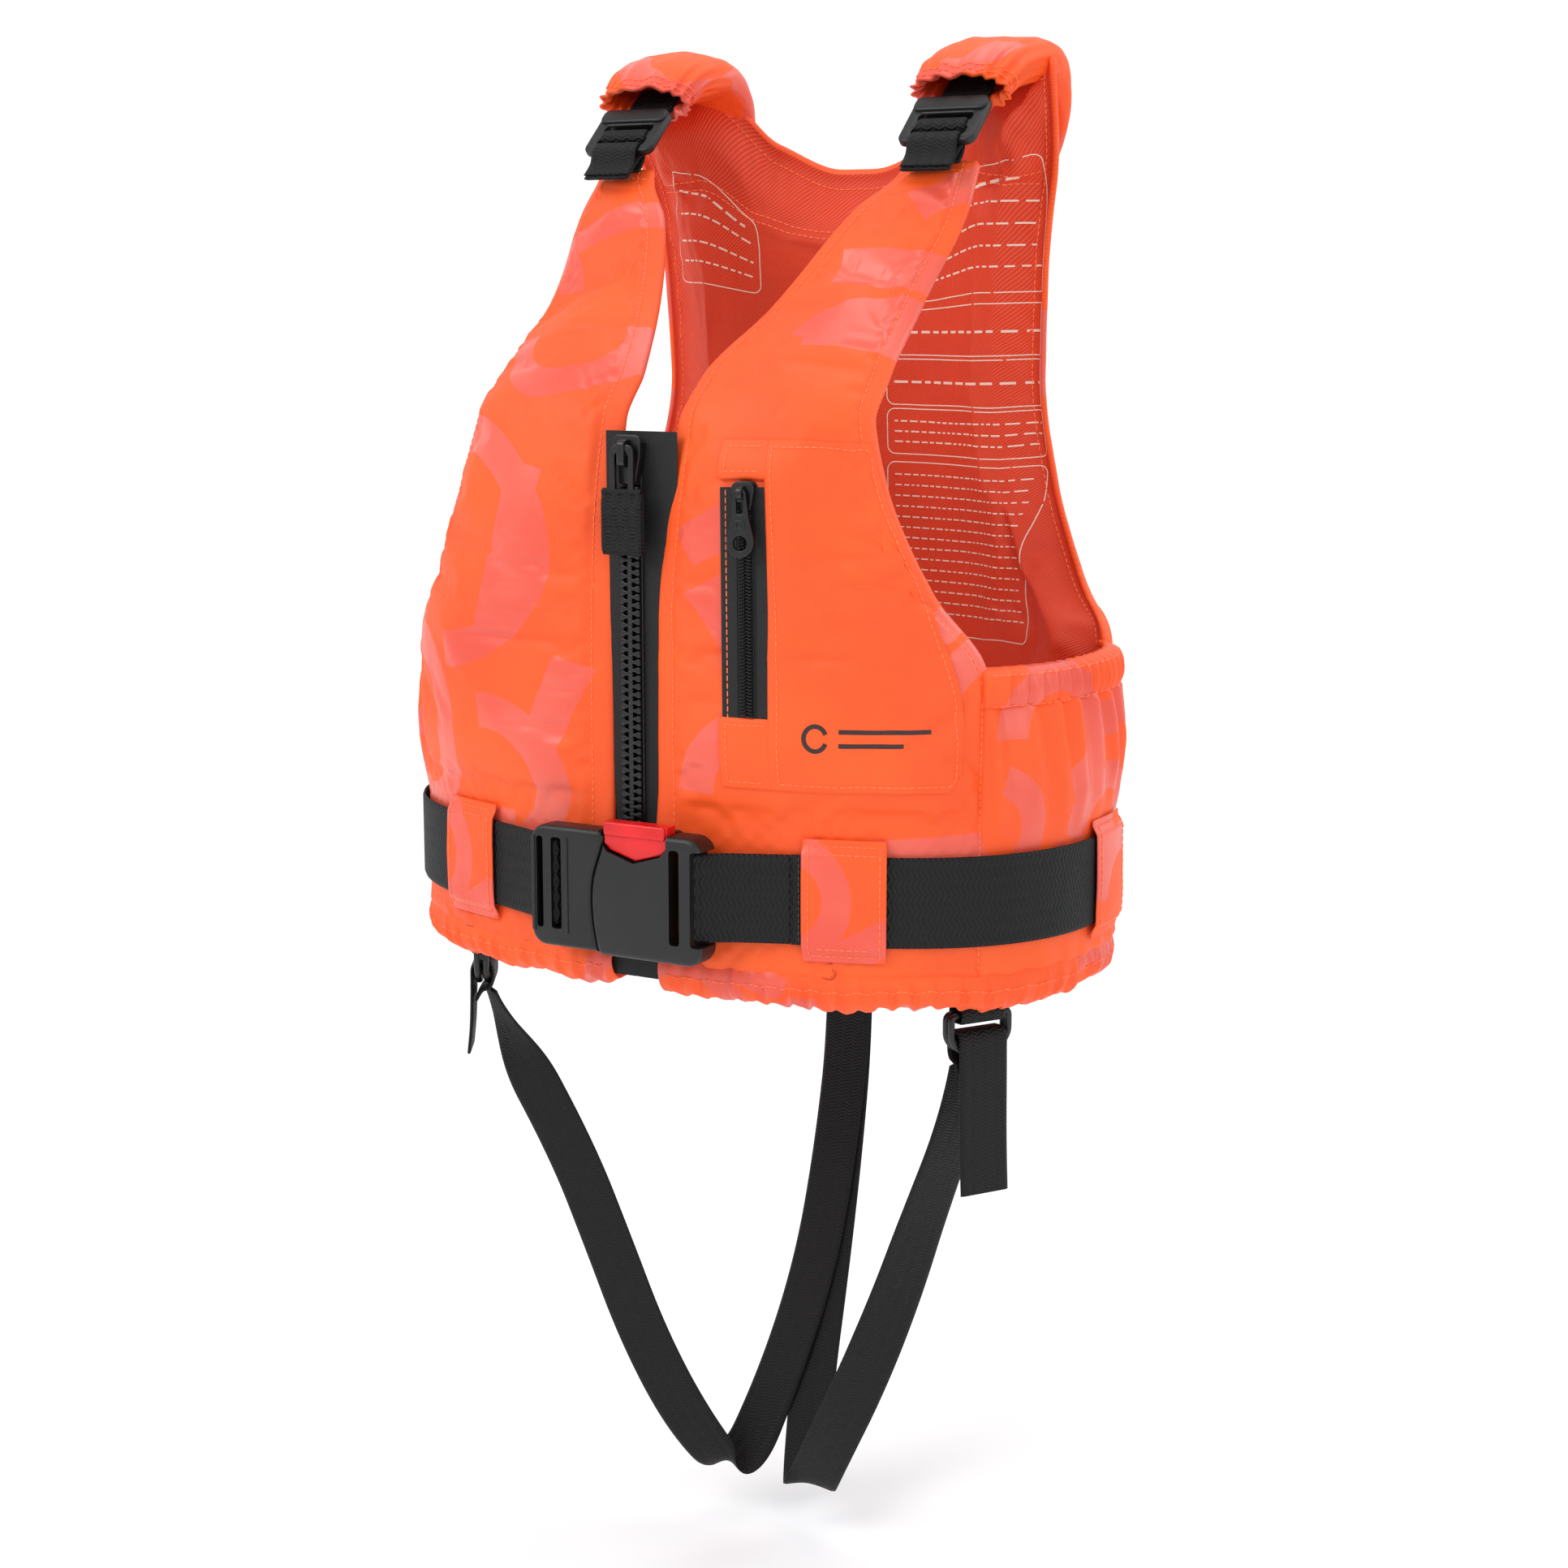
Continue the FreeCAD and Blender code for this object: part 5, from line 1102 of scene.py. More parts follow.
class Build:
    """Collects closed shells, in millimetres in the part's own frame, into one object."""

    def __init__(self, to_row=lambda p: p):
        self.points, self.faces, self.uvs, self.to_row = [], [], [], to_row
        self.count = 0

    def add(self, points, faces, uvs=None):
        points = np.asarray(points, float)
        self.points.append(points)
        self.uvs.append(np.zeros((len(points), 2)) if uvs is None else np.asarray(uvs, float))
        self.faces += [tuple(self.count + i for i in f) for f in faces]
        self.count += len(points)

    def plate(self, loops, low, high, bevel, turn=None, steps=3):
        """Bevelled plate of the given outlines (holes too), between two depths."""
        curve = bpy.data.curves.new("outline", "CURVE")
        curve.dimensions, curve.fill_mode = "2D", "BOTH"
        curve.extrude = max(1e-4, (high - low) / 2 - bevel)
        curve.bevel_depth, curve.bevel_resolution, curve.offset = bevel, steps, -bevel
        for loop in loops:
            spline = curve.splines.new("POLY")
            spline.points.add(len(loop) - 1)
            for p, (x, y) in zip(spline.points, loop):
                p.co = (x, y, 0, 1)
            spline.use_cyclic_u = True
        mesh = curve_mesh(curve)
        bm = bmesh.new()
        bm.from_mesh(mesh)
        bmesh.ops.remove_doubles(bm, verts=bm.verts, dist=1e-3)
        bm.verts.index_update()
        points = np.array([v.co for v in bm.verts])
        faces = [tuple(v.index for v in f.verts) for f in bm.faces]
        bm.free()
        bpy.data.meshes.remove(mesh)
        points[:, 2] += (low + high) / 2
        if turn is not None:
            points = turn(points)
        self.add(points, faces)

    def tube(self, path, radius, sides=12, closed=False, squash=1.0):
        """Round bar along a path; closed joins its ends."""
        path = np.asarray(path, float)
        if closed:
            run = np.roll(path, -1, 0) - np.roll(path, 1, 0)
        else:
            run = np.gradient(path, axis=0)
        run /= np.linalg.norm(run, axis=1, keepdims=True)
        flat = np.linalg.svd(path - path.mean(0))[2][2]
        side = np.cross(run, flat)
        side /= np.linalg.norm(side, axis=1, keepdims=True)
        up = np.cross(side, run)
        rad = np.broadcast_to(np.asarray(radius, float), (len(path),))[:, None, None]
        a = np.linspace(0, 2 * pi, sides, endpoint=False)[None, :, None]
        points = path[:, None] + rad * (np.cos(a) * side[:, None] + squash * np.sin(a) * up[:, None])
        faces = grid_faces(len(path), sides, wrap_rows=closed, wrap_columns=True)
        if not closed:
            faces += [tuple(range(sides)), tuple((len(path) - 1) * sides + k for k in range(sides))]
        self.add(points.reshape(-1, 3), faces)

    def ribbon(self, line, across, width, thick, columns=9, ridge=0.0, pitch=2.0):
        """Flat webbing along a line, with rounded edges."""
        line = np.asarray(line, float)
        across = np.broadcast_to(np.asarray(across, float), line.shape)
        run = np.gradient(line, axis=0)
        run /= np.maximum(1e-9, np.linalg.norm(run, axis=1, keepdims=True))
        across = across - run * np.sum(run * across, 1, keepdims=True)
        across = across / np.linalg.norm(across, axis=1, keepdims=True)
        out = np.cross(run, across)
        t = np.linspace(-1, 1, columns)
        t = np.sign(t) * np.abs(t) ** 0.8
        height = np.sqrt(np.maximum(0.05, 1 - np.clip((np.abs(t) - 0.93) / 0.07, 0, 1) ** 2))
        length = np.concatenate([[0], np.cumsum(np.linalg.norm(np.diff(line, axis=0), axis=1))])
        wave = ridge * np.abs(np.sin(pi * length / pitch))[:, None]
        rings = []
        for sign in (1, -1):
            tt = t if sign > 0 else t[::-1]
            hh = height if sign > 0 else height[::-1]
            lift = (thick / 2 * hh)[None] + wave * hh[None]
            rings.append(line[:, None] + across[:, None] * (tt * width / 2)[None, :, None]
                         + out[:, None] * (sign * lift)[..., None])
        points = np.concatenate(rings, 1)
        sides = points.shape[1]
        u = np.concatenate([t, t[::-1]]) * width / 2
        uvs = np.stack([np.broadcast_to(u, (len(line), sides)),
                        np.broadcast_to(length[:, None], (len(line), sides))], -1)
        faces = grid_faces(len(line), sides, wrap_columns=True)
        faces += [tuple(range(sides)), tuple((len(line) - 1) * sides + k for k in range(sides))]
        self.add(points.reshape(-1, 3), faces, uvs.reshape(-1, 2))

    def make(self, name, flat_edges=True):
        points = self.to_row(np.concatenate(self.points)) * MM
        obj = new_object(name, points, self.faces, np.concatenate(self.uvs) * MM)
        if flat_edges:
            obj.data.set_sharp_from_angle(angle=radians(32))
        return obj


def arc(cx, cy, r, start, end, steps=6):
    a = np.radians(np.linspace(start, end, steps))
    return [(cx + r * cos(t), cy + r * sin(t)) for t in a]


def rounded(x0, y0, x1, y1, r, steps=6):
    r = min(r, (x1 - x0) / 2 - 1e-3, (y1 - y0) / 2 - 1e-3)
    return (arc(x1 - r, y1 - r, r, 0, 90, steps) + arc(x0 + r, y1 - r, r, 90, 180, steps)
            + arc(x0 + r, y0 + r, r, 180, 270, steps) + arc(x1 - r, y0 + r, r, 270, 360, steps))


def curve_line(points, count=60):
    """Smooth line through points, evenly stepped."""
    points = np.asarray(points, float)
    fine = refine(points[:, None, :].repeat(2, 1), 12)[:, 0]
    run = np.concatenate([[0], np.cumsum(np.linalg.norm(np.diff(fine, axis=0), axis=1))])
    places = np.linspace(0, run[-1], count)
    return np.stack([np.interp(places, run, fine[:, k]) for k in range(3)], -1)


def bar(start, end, count=5):
    """Straight line between two places, as a path for a tube."""
    return curve_line([start, end], count)


def facing(place, right, out):
    """From a front view (x right, y up, z towards the viewer) at a place to the jacket."""
    right, out = np.asarray(right, float), np.asarray(out, float)
    up = np.cross(out, right)
    return lambda p: np.asarray(place) + p[:, :1] * right + p[:, 1:2] * up + p[:, 2:3] * out


def upright(p):
    """Buckle frame: x and z of the row with depth towards the front."""
    return np.stack([p[:, 0], -p[:, 2], p[:, 1]], -1)


def side_view(p):
    """Plates drawn from the side: drawn x goes outward, y up, depth across."""
    return np.stack([p[:, 2], p[:, 1], p[:, 0]], -1)


FRONT = (1, 0, 0), (0, -1, 0)


# ------------------------------------------------------------------ front zip
ZIP_Y, ZIP_FOOT, ZIP_TOP, TOOTH_PITCH = -107.0, -30.0, 200.0, 3.6


def tooth_shape(sign):
    """Moulded tooth seen from the front: a root on the tape, a neck and a rounded head."""
    half = [(5.1, -1.35), (3.6, -1.4), (2.3, -0.75), (1.0, -0.72), (0.3, -1.2), (-0.75, -1.15),
            (-1.2, -0.6)]
    loop = half + [(x, -y) for x, y in reversed(half)]
    return [(sign * x, y) for x, y in loop]


def build_front_zip():
    place = facing((ZIP_X, ZIP_Y, 0), *FRONT)
    for side, sign in SIDES:
        wide = (TAPE_LEFT if sign > 0 else TAPE_RIGHT) + 3.0
        tape = Build(place)
        z = np.linspace(ZIP_FOOT - 14.0, ZIP_TOP, 120)
        middle = sign * (wide / 2 - 0.1) + 0 * z
        sag = 0.5 * noise2(z / 30, 0.5, 5 + sign)
        tape.ribbon(np.stack([middle, z, -0.6 + sag * 0.3], -1), (sign, 0, 0), wide, 0.9, 13)
        obj = tape.make("zip_tape_" + side)
        finish_piece(obj, "jacket", "tape", ["front_zip_tape_" + side])
        teeth = Build(place)
        one = Build()
        one.plate([tooth_shape(sign)], -0.2, 3.1, 0.34, steps=1)
        points, faces = one.points[0], one.faces
        start = ZIP_FOOT + 10.2 + (0 if sign > 0 else TOOTH_PITCH / 2)
        for k in range(int((ZIP_TOP - 12 - start) / TOOTH_PITCH)):
            teeth.add(points + (0, start + k * TOOTH_PITCH, 0), faces)
        bead = np.stack([sign * 5.0 + 0 * z, z, 0.2 + 0 * z], -1)[12:-4]
        teeth.tube(bead, 0.9, 8, squash=0.7)
        obj = teeth.make("zip_teeth_" + side)
        finish_piece(obj, "jacket", "teeth", ["front_zip_teeth_" + side])
    box = Build(place)
    box.plate([rounded(-6.8, ZIP_FOOT + 0.5, 6.8, ZIP_FOOT + 9, 1.6)], -0.6, 4.0, 0.8)
    box.plate([rounded(-4.8, ZIP_FOOT + 2, 4.8, ZIP_FOOT + 7.5, 1.2)], 3.4, 4.5, 0.4)
    finish_piece(box.make("zip_box"), "jacket", "teeth", ["front_zip_box"])
    build_front_slider()


def slider_shape(body, high, half, foot, deep, plate, rise, wide):
    """Zip slider: two flared plates, side flanges and the arched bridge over the front."""
    h = high / 2
    flared = ([(-half, h - 3.5)] + arc(-half + 3.2, h - 2.6, 3.2, 165, 95, 5)
              + arc(half - 3.2, h - 2.6, 3.2, 85, 15, 5)
              + [(half, h - 3.5), (half - 0.3, h - high * 0.42), (foot, -h + 2.4)]
              + arc(foot - 2.0, -h + 2.0, 2.0, -5, -90, 4)
              + arc(-foot + 2.0, -h + 2.0, 2.0, 270, 185, 4) + [(-half + 0.3, h - high * 0.42)])
    body.plate([flared], deep, deep + plate, min(0.6, plate * 0.4))
    body.plate([flared], -1.6 - plate, -1.6, 0.3)
    for sign in (-1, 1):
        rim = [(sign * half, high / 2 - 3), (sign * (half - 0.3), high * 0.08),
               (sign * foot, -high / 2 + 1.5), (sign * (foot - 1.0), -high / 2 + 1.5),
               (sign * (half - 1.4), high * 0.08), (sign * (half - 1.2), high / 2 - 3)]
        body.plate([rim], -0.1, deep + plate * 0.6, 0.2, steps=1)
    top, base = high / 2 - 1.2, -high * 0.16
    face = deep + plate - 0.2
    arch = ([(face - 0.4, top)] + arc(face + rise - 1.6, top - 2.6, 2.2, 75, 0, 6)
            + arc(face + rise - 1.6, base + 3.0, 2.2, 0, -70, 6) + [(face - 0.4, base)])
    hole = rounded(face + 0.35, top - 7.2, face + rise - 1.2, top - 1.6, 1.0, 4)
    body.plate([arch, hole], -wide, wide, min(0.5, wide * 0.3), side_view)


def build_front_slider():
    place = facing((ZIP_X, ZIP_Y, 187.5), *FRONT)
    body = Build(place)
    slider_shape(body, 21.0, 7.2, 5.0, 3.4, 1.6, 4.6, 1.9)
    body.tube(bar((-2.2, 5.0, 7.95), (2.2, 5.0, 7.95), 3), 1.0, 10)
    finish_piece(body.make("front_slider_body"), "front_slider", "teeth",
                 ["front_zip_slider"])
    pull_place = facing((ZIP_X, -114.95, 192.5), *FRONT)
    pull = Build(pull_place)
    outline = rounded(-6.0, -22.4, 6.0, 2.0, 3.6)
    window = rounded(-3.4, -19.6, 3.4, -1.2, 2.2)
    pull.plate([outline, window], -1.1, 1.1, 0.5)
    pull.tube(bar((-4.6, -0.1, 0), (4.6, -0.1, 0), 3), 1.35, 10)
    finish_piece(pull.make("front_pull_loop"), "front_pull", "teeth",
                 ["front_zip_pull"])
    tag = Build(pull_place)
    y = np.linspace(-44.5, -19.0, 60)
    for depth in (1.25, -1.25):
        swell = depth * (1 - 0.55 * smooth(y, -24.0, -19.0)) * (1 - 0.25 * smooth(-y, 41.5, 44.5))
        tag.ribbon(np.stack([0 * y, y, swell], -1), (1, 0, 0), 20.6, 1.7, 15, 0.34, 1.55)
    tag.tube(bar((-10.0, -44.6, 0), (10.0, -44.6, 0)), 1.5, 10, squash=0.8)
    tag.tube(bar((-10.0, -18.6, 0), (10.0, -18.6, 0)), 1.6, 10, squash=1.1)
    finish_piece(tag.make("front_pull_tag"), "front_pull", "strap",
                 ["front_zip_tag"])


# ------------------------------------------------------------------ chest pocket
P_RIGHT = np.array([0.9945, 0.1028, 0.0215])
P_OUT = np.array([0.1021, -0.9943, 0.0297])
P_UP = np.array([-0.0244, 0.0273, 0.9993])
P_PIVOT = np.array([58.63, -118.53, 174.57])    # the pull's hinge
P_TAPE_BACK = 4.75                              # the tape's face behind the hinge
P_MIDDLE = P_PIVOT - P_OUT * P_TAPE_BACK - P_UP * 49.0
P_LONG = 105.0


class Draped:
    """Outside of dressed cloth, to lay other pieces on."""

    def __init__(self, *names, face=0):
        points, faces = [], []
        for name in names:
            grid = CLOTH[name][face].grid
            faces += grid_faces(*grid.shape[:2], sum(len(p) for p in points))
            points.append(grid.reshape(-1, 3))
        self.tree = BVHTree.FromPolygons([tuple(p) for p in np.concatenate(points)], faces)

    def lay(self, angle, z, off, reach=30.0):
        """Points off the cloth in front of places on the body's outline, and its normals."""
        angle, z = np.broadcast_arrays(np.asarray(angle, float), np.asarray(z, float))
        n = normal(angle, z)
        start = (outline(angle, z) + n * reach) * MM
        flat_s, flat_n = start.reshape(-1, 3), n.reshape(-1, 3)
        hits, normals = np.empty_like(flat_s), np.empty_like(flat_s)
        for k in range(len(flat_s)):
            spot, facing_, _, _ = self.tree.ray_cast(Vector(flat_s[k]), Vector(-flat_n[k]), 0.12)
            if spot is None:
                spot, facing_, _, _ = self.tree.find_nearest(
                    Vector(flat_s[k] - flat_n[k] * reach * MM))
            if facing_.dot(Vector(flat_n[k])) < 0:
                facing_ = -facing_
            hits[k], normals[k] = spot, facing_
        hits, normals = hits.reshape(start.shape), normals.reshape(start.shape)
        return hits + normals * np.asarray(off)[..., None] * MM, normals


def pocket_far(z):
    return through([(49, 52), (80, 52), (123, 46.5), (195, 36.5)], z)


def over_tape(points):
    """Cloth lifted so that it covers the edge of the pocket zip's tape."""
    near, out = by_zip(points, 13.0, 30.0, 55.0, 75.0)
    return points + (np.maximum(0.0, 0.1 - out) * near)[..., None] * P_OUT * MM


def cloth_patch(name, angle, z, surface, off):
    """Sewn-on patch lying on a surface, in one piece with its turned edge."""
    angle, z = np.broadcast_arrays(angle, z)
    top = over_tape(surface.lay(angle, z, off)[0])
    under = surface.lay(angle, z, 0.25)[0]
    u = arc_lengths(top, 1) / MM
    points, faces, ring = slab(top, under, RIM_BULGE)
    obj = new_object(name, points, faces, slab_values(np.stack([u + 30.0, z], -1) * MM, ring))
    finish_piece(obj, "jacket", "plain")
    CLOTH[name] = (Patch(top, under),)
    return obj


def rim_lines(name, inset, sides="lrtb"):
    """Lines just inside a patch's edges, as rows and columns."""
    grid = CLOTH[name][0].grid
    rows, columns = grid.shape[:2]
    wide = np.linalg.norm(np.diff(grid[rows // 2], axis=0), axis=-1).sum()
    tall = np.linalg.norm(np.diff(grid[:, columns // 2], axis=0), axis=-1).sum()
    di, dj = inset / tall * (rows - 1), inset / wide * (columns - 1)
    i, j = np.linspace(di, rows - 1 - di, 200), np.linspace(dj, columns - 1 - dj, 200)
    every = {"l": (i, np.full(200, dj)), "r": (i, np.full(200, columns - 1 - dj)),
             "b": (np.full(200, di), j), "t": (np.full(200, rows - 1 - di), j)}
    return [every[s] for s in sides]


def build_pocket():
    surface = Draped("front_left")
    zip_angle, half_turn = 16.2, 4.05
    z = np.linspace(49.0, 195.5, 100)[:, None]
    # the large plain panel beside the zip, its lower corners rounded
    share = np.linspace(0, 1, 90)[None]
    far = pocket_far(z) + 0 * share
    near = zip_angle + half_turn - 0.75
    angle = near + share * (far - near)
    round_off = 5.5 * smooth(share, 0.90, 1.0) ** 2
    zz = z + round_off * (1 - smooth(z, 49.0, 75.0)) * 1.4 - round_off * smooth(z, 180, 195) * 0.8
    rest = 1.3 + 0.9 * rolling(angle / 9, zz / 40, 3) * smooth(share, 0, 0.2)
    body = cloth_patch("pocket_body", angle, zz, surface, rest)
    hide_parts("pocket_panel")
    panel_seams("pocket_body", rim_lines("pocket_body", 0.0028))
    for name, low, high in (("pocket_block_low", 49.0, 78.5), ("pocket_block_top", 181.0, 195.5)):
        zb = np.linspace(low, high, 26)[:, None]
        angle = (zip_angle - half_turn) + np.linspace(0, 1, 26)[None] * (2 * half_turn - 0.9)
        angle, zb = np.broadcast_arrays(angle, zb)
        lift = 1.15 + 1.1 * smooth(np.abs(zb - 129.5), 62.0, 52.0) + 0 * angle
        cloth_patch(name, angle, zb, surface, lift)
        panel_seams(name, rim_lines(name, 0.0026, "lb" if low < 60 else "lt")
                    + rim_lines(name, 0.0022, "t" if low < 60 else "b"))
    # the zip on its flat tape
    place = facing(P_MIDDLE, P_RIGHT, P_OUT)
    for side, sign in SIDES:
        y = np.linspace(-P_LONG / 2, P_LONG / 2, 60)
        tape = Build(place)
        tape.ribbon(np.stack([sign * 6.2 + 0 * y, y, -0.9 + 0 * y], -1), (sign, 0, 0), 11.6, 0.9)
        finish_piece(tape.make("pocket_tape_" + side), "jacket", "tape",
                     ["pocket_zip_tape_" + side])
        coil = Build(place)
        turns = int((P_LONG - 9) / 1.45)        # coil's pitch
        t = np.linspace(0, 1, turns * 10 + 1)
        a = 2 * pi * t * turns + (0 if sign > 0 else pi)
        path = np.stack([sign * (1.45 + 1.35 * np.cos(a)), -P_LONG / 2 + 7 + t * (P_LONG - 9),
                         0.25 + 0.72 * np.sin(a)], -1)
        coil.tube(path, 0.42, 6)
        for x in (3.4, 4.3):
            row = np.stack([sign * x + 0 * y, y, -0.42 + 0 * y], -1)[3:-1]
            coil.tube(row, 0.3, 6)
        finish_piece(coil.make("pocket_coil_" + side), "jacket", "teeth",
                     ["pocket_zip_coil_" + side])
    y = np.linspace(-P_LONG / 2 + 2, P_LONG / 2 - 2, 120)
    line = place(np.stack([-9.2 + 0 * y, y, -0.35 + 0 * y], -1)) * MM
    stitches = capsules("pocket_tape_stitches", [seam(line, np.broadcast_to(P_OUT, line.shape))],
                        0.0006)
    finish_piece(stitches, "jacket", "orange_thread")
    body = Build(facing(P_PIVOT - P_OUT * P_TAPE_BACK - P_UP * 0.5, P_RIGHT, P_OUT))
    slider_shape(body, 12.0, 5.2, 3.8, 1.5, 1.1, 3.9, 1.4)
    finish_piece(body.make("pocket_slider_body"), "pocket_slider",
                 "teeth", ["pocket_zip_slider"])
    pull = Build(facing(P_PIVOT, P_RIGHT, P_OUT))
    drop = (arc(0, -20.0, 6.2, 180, 360, 16) + [(6.1, -17.5), (4.0, -9.0), (3.3, -3.5)]
            + arc(0, 0.3, 2.9, 20, 160, 8) + [(-3.3, -3.5), (-4.0, -9.0), (-6.1, -17.5)])
    pull.plate([drop, arc(0, -20.0, 3.2, 0, 345, 20), rounded(-1.6, -7.6, 1.6, 1.5, 1.4)],
               -1.0, 1.0, 0.45)
    pull.tube(bar((-2.0, 0, 0), (2.0, 0, 0), 3), 0.9, 10)
    pull.plate([rounded(-2.6, -14.2, 2.6, -10.2, 1.6), rounded(-1.3, -13.2, 1.3, -11.2, 0.8)],
               0.7, 1.35, 0.25)
    finish_piece(pull.make("pocket_pull_drop"), "pocket_pull", "teeth",
                 ["pocket_zip_pull"])
    # a plain printed mark: an open ring beside two bars
    patch = Draped("pocket_body")
    spots = []
    for k in range(25):
        a = 2 * pi * (0.06 + 0.88 * k / 24)
        spots.append((26.5 + 1.75 * cos(a), 72.0 + 5.4 * sin(a)))
    marks = [np.array(spots)]
    for high, start, end in ((75.2, 30.2, 46.0), (69.2, 30.2, 41.0)):
        marks.append(np.stack([np.linspace(start, end, 24), np.full(24, high)], -1))
    mark = Build()
    for spots in marks:
        line, normals = patch.lay(spots[:, 0], spots[:, 1], 0.06)
        run = np.gradient(line, axis=0)
        across = np.cross(normals, run)
        mark.ribbon(line / MM, across / np.linalg.norm(across, axis=1, keepdims=True), 2.0, 0.2, 5)
    finish_piece(mark.make("pocket_mark"), "jacket", "dark_print")


# ------------------------------------------------------------------ belt and keepers
BUCKLE_Y, BUCKLE_FRONT, BUCKLE_REAR = -122.9, -130.4, -115.4
KEEPERS = (("front", 31.0), ("side", 96.0), ("rear", 146.0))
KEEPER_HALF, KEEPER_TALL = 6.96, 26.6
BELT_MID = BELT_IN + WEB / 2


def build_belt():
    angles = np.linspace(-KEEPERS[0][1] + KEEPER_HALF, -360 + 22.0, 460)
    n = normal(angles, 0.0)
    off = BELT_MID + 0.35 * noise2(angles / 17, 0.4, 3)
    belt = Build()
    belt.ribbon(outline(angles, 0.0) + n * off[:, None], (0, 0, -1), 2 * BELT_HALF, WEB, 21)
    finish_piece(belt.make("belt_round", False), "jacket", "belt",
                 ["belt_back"])
    bar_reach = 3.2
    for side, sign, slot_x, start in (("left", 1, 37.0, 22.0), ("right", -1, -36.0, 24.04)):
        edge = outline(sign * start, 0.0) + normal(sign * start, 0.0) * BELT_MID
        rear = BUCKLE_REAR - 1.6
        line = curve_line([edge - (sign * 0.3, 0, 0), (sign * 52.0, rear + 0.5, 0),
                           (slot_x + sign * 5.4, BUCKLE_Y - 0.6, 0),
                           (slot_x + sign * bar_reach, BUCKLE_Y - bar_reach + 0.2, 0),
                           (slot_x, BUCKLE_Y - bar_reach - 0.7, 0),
                           (slot_x - sign * bar_reach, BUCKLE_Y - bar_reach + 0.2, 0),
                           (slot_x - sign * (bar_reach + 1.0), BUCKLE_Y + 1.0, 0),
                           (slot_x - sign * bar_reach, BUCKLE_Y + bar_reach + 1.2, 0)], 90)
        web = Build()
        web.ribbon(line, (0, 0, sign), 2 * BELT_HALF - 0.4, WEB, 21)
        obj = web.make("belt_%s_run" % side, False)
        if sign > 0:
            finish_piece(obj, "jacket", "belt", ["belt_front_left"])
        else:
            obj.data.materials.append(MATERIALS["belt"])
            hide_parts("belt_front_right")
            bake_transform(obj)
    # the sewn-down turn of the belt left of the buckle: two upright rows of box stitches
    rows = []
    for angle in (23.4, 26.2, 28.0):
        zz = np.linspace(-18.5, 18.5, 60)
        p = outline(angle, 0.0) + normal(angle, 0.0) * (BELT_MID + WEB / 2 + 0.35)
        line = np.stack([np.full(60, p[0]), np.full(60, p[1]), zz], -1) * MM
        rows.append(seam(line, np.broadcast_to(normal(angle, 0.0), line.shape), 0.0027, 0.0022))
    thread = capsules("belt_stitches", rows, 0.0008, 0.0022, 0.0007)
    finish_piece(thread, "jacket", "black_thread")


def build_keepers():
    for kind, middle in KEEPERS:
        for side, sign in SIDES:
            columns, rows = 34, 60
            a = sign * middle + np.linspace(-KEEPER_HALF, KEEPER_HALF, columns)[None]
            z = np.linspace(-KEEPER_TALL, KEEPER_TALL, rows)[:, None]
            a, z = np.broadcast_arrays(a, z)
            over = smooth(np.abs(z), 25.5, 19.8)
            bow = 1.0 - (np.abs(z) / 30.0) ** 2
            lift = 1.5 + (4.0 - 1.5) * over + 0.8 * bow * over
            lift = lift + 0.35 * noise2(a / 5, z / 12, int(middle) + sign) + 0.5 * (1 - over)
            p, n = outline(a, z * 0.999), normal(a, 0.0)
            top = (p + n * lift[..., None]) * MM
            under = (p + n * (lift - 1.1)[..., None]) * MM
            points, faces, ring = slab(top, under, RIM_BULGE)
            u = arc_lengths(top, 1) + 0.02 * middle / 30
            v = z * MM + 0.03
            name = f"keeper_{kind}_{side}"
            obj = new_object(name, points, faces, slab_values(np.stack([u, v], -1), ring))
            finish_piece(obj, "jacket", "shell_small",
                         ["belt_" + name])
            CLOTH[name] = (Patch(top, under),)
            panel_seams(name, rim_lines(name, 0.0024) + rim_lines(name, 0.0058, "tb"))


# ------------------------------------------------------------------ buckle
def carve(obj, *cutters):
    """Cut closed shapes out of an object's mesh."""
    for cutter in cutters:
        cut = obj.modifiers.new("cut", "BOOLEAN")
        cut.operation, cut.solver, cut.object = "DIFFERENCE", "EXACT", cutter
        shape = obj.evaluated_get(bpy.context.evaluated_depsgraph_get())
        mesh = bpy.data.meshes.new_from_object(shape)
        old = obj.data
        obj.modifiers.remove(cut)
        obj.data = mesh
        bpy.data.meshes.remove(old)
        data = cutter.data
        bpy.data.objects.remove(cutter)
        bpy.data.meshes.remove(data)
    obj.data.polygons.foreach_set("use_smooth", [True] * len(obj.data.polygons))
    obj.data.set_sharp_from_angle(angle=radians(32))


def parting():
    """The socket's left edge, a shallow S from foot to top."""
    z = np.linspace(-26.0, 23.5, 14)
    x = -9.6 - 2.6 * np.sin((z + 26) / 49.5 * 2 * pi * 0.62) + 2.4 * smooth(z, 2, 24)
    return [(float(px), float(pz)) for px, pz in zip(x, z)]


def cutter(loop, low, high):
    """Closed shape to carve out, in the buckle's frame."""
    cut = Build(upright)
    cut.plate([loop], low, high, 0.05, steps=1)
    return cut.make("cut")


